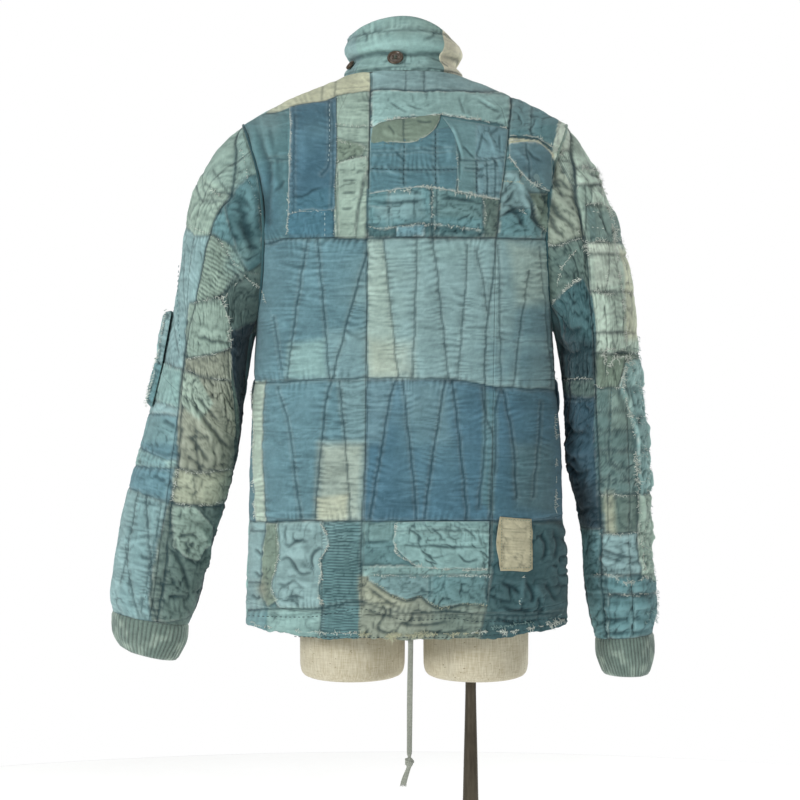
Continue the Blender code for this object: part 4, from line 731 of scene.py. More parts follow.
# The back, from the collar seam down to the hem
BACK_TABLE = written("""
patches
# two quilted rows
mid_blue | 260,553 48,556 48,381 260,376
pale_blue fade=.1 | 48,556 -115,557 -109,495 -101,428 -100,373 -60,379 48,381
pale_blue fade=.1 | -115,557 -260,554 -260,366 -187,367 -121,370 -100,373 -101,428 -109,495
mid_blue | 260,376 48,381 53,202 260,202
deep_blue | 48,381 -60,379 -100,373 -103,331 -111,309 -107,202 53,202
deep_blue | -100,373 -121,370 -187,367 -260,366 -260,202 -107,202 -111,309 -103,331
# cells between quilting lines, each faded in its own way
pale_teal soft=7 share=.75 | 146,424 149,381 97,381 100,430
pale_blue soft=9 share=.5 | 98,440 95,381 50,381 50,440
pale_blue soft=4 share=.45 | 87,381 48,381 55,202 68,206
cream soft=9 share=.42 | 107,300 112,202 56,202 52,300
cream soft=4 share=.55 | 112,232 112,202 72,202 72,236
pale_blue fade=.2 soft=9 share=.3 | 4,378 -50,378 -58,300 -12,300
pale_blue fade=.2 soft=8 share=.35 | 48,381 14,378 30,300 50,300
teal fade=.2 soft=4 share=.6 | -98,366 -116,366 -112,210 -96,225
pale_sage soft=9 share=.5 | -130,552 -184,540 -176,480 -140,470
mid_blue fade=.2 soft=8 share=.7 | -141,470 -186,470 -190,430 -136,430
grey_green fade=.2 soft=10 share=.4 | -135,300 -140,220 -190,210 -186,300
pale_sage soft=1.5 share=.5 | 46,556 28,556 17,470 9,383 46,383
cream soft=12 share=.3 | 46,430 -8,425 -9,383 46,383
pale_sage 0 .6 | 192,378 177,378 178,350 180,300 177,250 175,202 188,202 191,300
# the hem band, from the left
pale_blue | 260,202 175,202 180,130 173,40 260,40
teal soft=4 share=.6 | 260,92 173,92 173,40 260,40
teal 0 .4 .6 ribs=3.6,.05 | 103,202 54,202 55,30 107,30
deep_teal share=.3
pale_blue .9 .6 1.7 19 | 162,202 105,202 98,186 95,175 101,162 107,151 104,137 108,118 105,92 158,92 167,114
  167,130 159,151 157,166
olive .7 .7 .8 | 174,200 160,200 157,166 159,151 167,130 166,114 158,104 172,96 178,110 182,125 178,165
pale_teal 0 0 .9 14 | 173,94 106,94 106,30 173,30
teal 0 0 1.1 12 | 54,202 -110,202 -110,142 54,142
pale_teal soft=3 share=.4 | 54,200 14,200 14,178 54,178
pale_teal 1 1 1.2 7 share=.8 | 54,147 -110,145 -110,132 -35,134 54,132
beige 0 0 1.6 12 fade=.5 | 58,134 -110,133 -104,98 -95,30 58,30
grey_green 0 0 .6 8 soft=5 share=.45 | -36,104 -106,106 -95,30 -30,30
cream soft=6 share=.35 | 58,134 40,132 12,108 -6,98 20,92 58,104
teal 1.2 .6 1.3 12 fade=.4 | 46,134 46,130 17,111 -1,104 -20,109 -35,97 -49,94 -77,99 -105,96 -109,134
pale_blue soft=1.5 share=.5 | 46,134 46,130 17,111 -1,104 -20,109 -29,104 -29,134
grey_green share=.2 | 175,202 -110,202 -104,100 -93,30 175,30
deep_teal .5 .3 2 14 | -109,202 -260,202 -260,20 -93,40 -98,76 -104,100 -109,134
navy soft=3 share=.22 | -109,202 -260,202 -260,20 -93,40 -98,76 -104,100
# the yoke, from the left
teal | 260,760 145,760 145,556 260,550
deep_teal soft=10 share=.35 | 260,712 150,712 146,556 260,550
deep_blue soft=12 share=.4 | 260,640 176,650 150,600 146,556 260,550
bright_blue 0 0 .4 fade=.1 | 146,592 88,592 88,557 146,557
sage .6 .6 | 87,740 44,745 48,555 88,557
olive .4 .6 1.5 6 fade=.6 | 86,680 67,677 49,670 55,659 67,651 86,648
sage .6 .5 .6 12 fade=.6 | 84,649 68,655 49,658 46,648 56,606 63,557 84,557
teal 0 0 1.1 12 pull=1 | 48,618 -34,622 -34,557 48,557
pale_blue soft=7 share=.5 | 40,612 -20,616 -28,580 34,580
teal 0 .3 .6 | 48,618 20,618 20,594 48,596
teal .3 .5 1.4 fade=.4 | -34,622 -98,614 -98,557 -34,557
grey_green soft=3 share=.35 | -34,622 -98,614 -98,580 -34,584
grey_green .5 .8 1.6 7 fade=.5 | -98,612 -119,606 -116,557 -98,557
deep_teal -.8 .7 1.3 6 | 48,573 24,568 0,573 -30,575 -60,571 -98,566 -98,557 48,557
mid_blue .4 .5 .6 7 | 10,571 -24,572 -24,558 10,558
pale_blue | 43,790 -150,790 -134,733 43,741
pale_teal .9 1 .5 22 | 42,741 -133,737 -130,694 -117,699 -104,701 -84,705 -55,709 -46,711 -34,709 -19,706
  -11,709 18,703 27,700 42,695
pale_blue 0 0 1.5 17 fade=0 | -123,640 -158,640 -260,650 -260,550 -116,557
teal share=.2
olive .5 .5 1.4 11 fade=.4 | -155,612 -260,612 -260,556 -178,558 -164,580
teal .5 .8 1.2 10 | -118,582 -140,594 -158,590 -170,566 -170,555 -116,557
teal .6 .6 .7 12 fade=.4 | -134,740 -240,740 -240,660 -182,671 -165,681 -152,683 -131,683
pale_blue share=.3 | -134,740 -160,740 -160,690 -131,690
cream .7 1 .8 6 | -130,680 -165,678 -182,664 -200,655 -195,648 -163,668 -131,671
cream | 260,707 157,714 140,721 97,728 84,734 64,736 44,740 44,800 260,800
bright_blue | 96,729 84,734 86,722
pale_cap | -194,714 -184,672 -187,650 -230,640 -260,720
seams
# columns and rows
1.6 .5 .5 | 42,765 43,700 46,640 48,556 48,381 51,260 54,204 55,100
1.3 .4 .55 | -134,731 -129,692 -126,665 -123,629 -118,605 -115,557 -109,495 -101,428 -100,375 -103,331
  -111,309 -109,260 -107,206 -103,104
1.5 .5 .6 | 215,550 172,550 147,556 89,557 48,555 0,557 -115,557 -200,553
1.6 .5 .6 | 215,374 177,376 95,380 48,381 6,382 -61,379 -96,373 -121,370 -205,366
1.4 .4 .6 | 215,202 54,202 -109,202 -205,202
1 .4 .4 | 177,378 178,350 180,300 177,250 175,202
# quilting of the upper row
1.2 .55 .42 | 123,555 136,470 149,381
1.2 .55 .45 | 110,555 102,470 95,381
1.4 .95 .55 | 48,540 70,460 91,381
.9 .4 .3 | 164,457 159,420 154,381
1.2 .55 .42 | 27,554 18,470 9,383
1.2 .55 .42 | -15,555 -13,470 -9,383
1.2 .6 .42 | -35,555 -45,470 -55,380
1.2 .6 .42 | -79,549 -73,460 -66,380
1 .4 .35 | -90,542 -98,500 -103,466
1 .4 .35 | -117,547 -119,470 -120,372
1.1 .5 .35 | -156,516 -146,450 -136,372
1.1 .5 .35 | -168,545 -178,460 -186,370
# quilting of the lower row
1 .5 .35 | 160,370 146,322 138,260 131,206
1.3 .6 .5 | 93,376 99,354 107,280 114,206
1.3 .6 .5 | 83,377 80,354 74,280 68,206
1.3 .55 .5 | 13,378 19,354 32,280 44,206
1.3 .55 .5 | 4,378 0,354 -8,280 -14,206
1.3 .55 .55 | -50,377 -46,354 -34,280 -24,206
1.3 .55 .55 | -58,377 -62,354 -71,280 -78,206
1 .5 .4 | -96,368 -101,330 -99,280 -92,220
1.1 .5 .45 | -118,366 -113,330 -114,290 -108,210
1.3 .6 .5 | -124,366 -129,340 -136,300 -141,232
1 .5 .35 | -172,350 -168,300 -161,232
# the hem band
2.2 .9 .6 | 215,90 173,92 160,92 106,92 71,100 54,101
1.5 .8 .35 | 54,101 30,93 0,86 -60,88 -98,84 -150,84 -205,88
1.2 .5 .45 | 215,190 176,190
1.2 .5 .45 | 215,125 182,126
.9 .4 .4 | -30,132 -31,117 -30,104
1.2 .5 .5 | 106,92 106,76 107,60
# the yoke
.8 .3 .4 | 103,730 103,770
.8 .3 .4 | 87,735 87,775
1 .4 .45 | 260,705 157,714 140,721 97,728 84,734 64,736 44,740
.8 .3 .4 | 43,741 -60,741 -134,733
.6 .2 .35 | -1,741 -2,765
.6 .2 .35 | -24,741 -24,765
.6 .3 .3 | 170,655 145,655
.8 .3 .35 | 86,696 44,694
.8 .3 .5 | -34,622 -34,557
.8 .3 .4 | -40,622 -39,557
.7 .3 .35 | 20,618 20,571
.8 .4 .4 | -158,738 -158,684
folds
# soft troughs beside the left armhole
-2.8 5.5 .42 | 204,712 197,676 186,640 176,606 172,570
-2.4 5.5 .32 | 190,706 179,668 170,640 172,600 164,562
-1.5 5 .2 | 172,710 168,680 160,645 156,610
2.4 5 | 197,700 188,660 178,625 176,590
1.8 6 | 176,690 164,650 162,600
-1.8 4.5 .25 | 184,620 176,590 170,562
# the fan of folds under the torn patch
-3 2.8 .6 | -146,621 -155,600 -163,579 -172,561
-2.2 2.4 .5 | -138,618 -130,604 -120,598
2.6 3.4 | -150,618 -160,596 -168,572
-2 2.2 .5 | -118,582 -138,593 -156,590
-1.8 2.2 .5 | 44,602 10,600 -32,604
1.6 2.6 | 44,608 10,607 -32,611
-1.8 2.2 .5 | -38,602 -60,606 -96,600
1.6 3 | -40,590 -66,592 -96,584
-1.3 3 .2 | 150,630 158,619 165,612
# the double-thick seam beside the left overlay
.9 1.6 | 144,715 144,650 145,590
# tucks of the sage column
-1.2 1.8 .4 | 80,627 58,628
-1.2 1.8 .4 | 80,612 60,613
-1.2 1.8 .4 | 80,592 62,594
-1.3 1.8 .5 | 49,646 57,600 65,558
# the pale layer's creases
1 3 | 44,640 20,645 -4,640 -34,642
2.8 4.5 | -120,640 -136,632 -150,612 -164,580
-2.6 3.2 .45 | -126,600 -140,588 -150,566
-2.2 3.4 .4 | -160,640 -172,616 -180,590
-1.6 2.2 .45 | -84,732 -100,722 -120,710
1.4 2.4 | -80,734 -97,726 -117,714
-1 1.8 .3 | 21,727 8,718 -5,711
-1 1.8 .3 | 0,724 -13,719 -25,716
-.9 2 .25 | -66,733 -72,715 -76,708
# wrinkles under the right shoulder
-1.6 2.5 .4 | -136,621 -126,614 -119,607
-2.2 3.2 .5 | -145,620 -155,612 -162,581 -174,565
-1.8 2.6 .4 | -119,590 -151,587 -164,575
2.2 4 | -140,612 -150,600 -156,580
# puffs and creases of the hem band
-1.8 2.6 .4 | 154,180 144,172 134,178 118,176
-2.8 2.6 .6 | 158,150 146,157 136,142 128,136 112,138
-2.4 2.2 .6 | 112,138 118,152 112,164 100,172
-2 2.4 .45 | 162,126 150,122 138,126 124,116
-1.6 2.4 .35 | 152,104 138,108 122,104
-1.4 2.2 .3 | 148,200 150,186 146,174
2.4 6 | 150,165 138,160 120,166
2.4 5 | 152,140 136,138 118,140
2 4 | 150,122 132,124 112,118
-2 2.4 .5 | 190,168 182,160 178,166
-2 2.4 .5 | 192,140 184,134 178,140
-2 2.4 .5 | 193,112 186,106 180,110
-2.2 2.4 .45 | 50,124 34,110 18,98 2,92
-2 2.4 .5 | 52,92 30,84 8,80
-1.8 2 .6 | 46,128 17,109 -1,102 -20,107 -35,95 -49,92 -77,97 -105,94
-2.2 2.4 .5 | 20,76 -20,72 -60,76
-2 2 .5 | -10,66 -50,62 -90,68
-1.8 2 .45 | 40,70 24,62 10,66
-2 2.4 .5 | -124,190 -130,176 -126,160
-2.8 2.6 .6 | -170,190 -176,170 -170,150
-2.6 2.6 .6 | -186,196 -190,172 -184,150
-2.8 2.6 .6 | -150,130 -160,112 -156,96
-2.4 2.4 .55 | -120,128 -132,120 -142,122
-2.6 2.6 .6 | -176,130 -184,112 -190,100
-2.6 2.4 .6 | -118,98 -140,90 -166,94
-2.2 2.2 .5 | -112,80 -140,74 -172,80
2.6 5 | -162,124 -170,106 -166,96
1.6 6 | 135,180 130,160 132,148
-1 1.6 .4 | 98,190 56,190
-1 1.6 .4 | 98,178 56,177
-1.2 2 .45 | 52,178 35,176 17,178
1.2 2.2 | 52,174 30,171 17,174
-1.2 2 .3 | 50,100 25,99 0,100
-1.3 1.6 .5 | 6,86 -40,88 -95,86
2.2 3 | -149,134 -146,112 -144,90
-1.6 2.4 .45 | -128,125 -136,117 -144,114
-1.6 2.4 .4 | -165,108 -170,100 -172,85
-1.2 2 .4 | -100,112 -120,104 -138,100
clouds
pale_blue .2 | 100,190 40,30
pale_blue .3 | -20,350 40,30
mid_blue .5 | -30,300 40,60
mid_blue .75 | -150,400 50,32
teal .15 | -140,500 40,60
deep_teal .3 | -150,250 50,50
deep_teal .3 | -175,330 30,60
pale_teal .3 | -40,540 60,20
sage .25 | 30,480 40,50
bright_blue .35 | 168,600 30,50
pale_blue .4 | 170,700 20,20
grey_green .4 | -70,80 40,30
grey_green .4 | -180,590 20,40
beige .8 | 178,115 8,14
deep_teal .3 | 195,480 14,120
deep_teal .5 | -195,480 14,120
fringes
1.1 4.2 -1 | 144,719 143,690 144,650 146,600 148,557
2.6 3 -1 | 146,585 127,590 105,589 88,592
3.2 2.6 1 | 84,730 85,690 86,640 88,600 88,560
3 3 -1 | 87,697 62,694 46,696
2.2 3.6 -1 | 83,676 66,672 48,668
2.4 3.4 0 | 84,650 68,655 49,658
.8 4.4 -1 | 44,694 24,702 -6,706 -42,709 -77,705 -101,701 -128,692
2.2 3 -1 olive | 43,670 13,674 -19,677 -38,692 -43,704
.7 5.2 0 | 22,614 -5,616 -13,620 -36,619 -59,615 -76,612 -91,609 -119,604
2 3.2 0 | -64,660 -66,640 -66,616
.8 5.4 -1 | -130,685 -152,684 -168,680 -184,668 -196,658
.9 4.6 -1 | -130,677 -150,679 -166,675 -180,664
.8 4.6 0 | -129,664 -133,652 -143,639 -153,629 -168,621 -181,616
1 4 -1 cream | -122,628 -134,626 -147,623
1.6 3.6 0 | -34,618 -35,590 -36,566
1.4 3.6 0 | -98,606 -100,590 -99,572
1.3 4 0 | 48,572 24,568 0,572 -30,574 -60,571 -96,566
1.1 3.8 0 | -142,594 -152,584 -164,574 -176,566
1 4.2 1 | 190,378 191,340 189,300 190,250 188,206
.9 4.6 0 | -188,335 -190,290 -189,250 -188,206
.6 4.4 0 | 105,200 98,186 95,175 101,162 107,151 104,137 108,118 105,96
1.3 3.6 0 | 162,196 158,168 160,150 167,130 166,114 158,100
.8 4.4 -1 | 12,200 14,176 9,160 -14,148 -40,142 -70,141 -104,141
1.8 3.2 0 cream | 46,130 17,111 -1,104 -20,109 -35,97 -49,94 -77,99 -105,96
1.6 3.2 0 | 40,134 0,133 -50,133 -108,134
1.6 3.4 0 | -149,134 -146,112 -144,90
.4 5 0 cream | 60,61 30,60 0,60 -30,60 -95,62
.9 4 0 | 197,76 165,68 131,64 60,61
.35 5.4 0 | -60,61 -119,63 -150,67 -181,72 -200,78
.6 4.6 0 pale_teal | -92,67 -119,69 -150,73 -181,80 -200,86
.12 12 -1 cream 1.4 | 22,61 14,60 6,61
runnings
| 100,590 100,557
| 94,725 94,672 96,650
3 3 deep_blue | 138,716 138,650 140,594
3 2.4 shadow | 43,643 0,641 -62,641
3 2.4 shadow | -38,688 -38,622
3 2.4 shadow | 1,672 2,622
2.6 2.2 shadow | -90,650 -89,612
3.2 3.4 pale_teal | 40,716 -40,722 -124,716
3.2 2.4 shadow | 215,84 120,82 54,92 0,78 -60,80 -98,76 -200,80
3 2.4 shadow | 200,60 100,56 0,56 -100,58 -190,72
2 1.6 olive | -121,205 -121,143
2 1.6 olive | -157,203 -157,144
2 1.6 olive | -121,143 -157,144
2 1.6 olive | -121,205 -157,203
""")
BACK = zone_of("teal", 1.5, 11, BACK_TABLE)


# The fronts: across is x and up is the height over the board's foot, both in millimetres
FRONT = zone_of("pale_blue", 1.5, 211, written("""
patches
teal | -260,551 260,790
pale_teal .3 .3 .6 16 | 60,551 260,790
deep_blue .8 .8 .5 10 | -110,560 -40,556 -44,668 -104,676
olive .7 .8 .8 | 92,590 150,586 146,660 96,664
mid_blue | -260,381 -20,551
pale_blue | -20,381 260,551
deep_blue | -260,213 0,381
mid_blue | 0,213 260,381
pale_teal 0 0 1 15 | -260,60 260,213
teal .5 .7 1 7 | -150,108 -60,213
sage .5 .7 .9 11 | 70,108 150,206
beige .4 .8 .8 | -60,108 -20,170
seams
1.6 .5 .6 | -230,551 0,553 230,551
1.6 .5 .6 | -230,381 0,379 230,381
1.4 .4 .6 | -230,213 0,211 230,213
1.7 .8 .4 | -230,106 0,104 230,106
vees -190 -24 385 548 6
vees 24 190 385 548 6
vees -190 -24 217 377 6
vees 24 190 217 377 6
1 .4 .4 | -104,556 -104,690
1 .4 .4 | 104,556 104,690
folds
-2.4 4 .25 | -184,690 -176,640 -184,590
-2.4 4 .25 | 184,690 176,640 184,590
1.8 5 | -170,660 -164,620 -170,580
1.8 5 | 170,660 164,620 170,580
-1.6 2.4 .35 | -150,170 -120,150 -90,160
-1.6 2.4 .35 | 60,160 100,146 150,158
clouds
pale_teal .6 | -120,400 50,26
pale_blue .5 | 110,240 50,40
sage .3 | 120,500 50,50
mid_blue .5 | -60,300 50,60
"""))

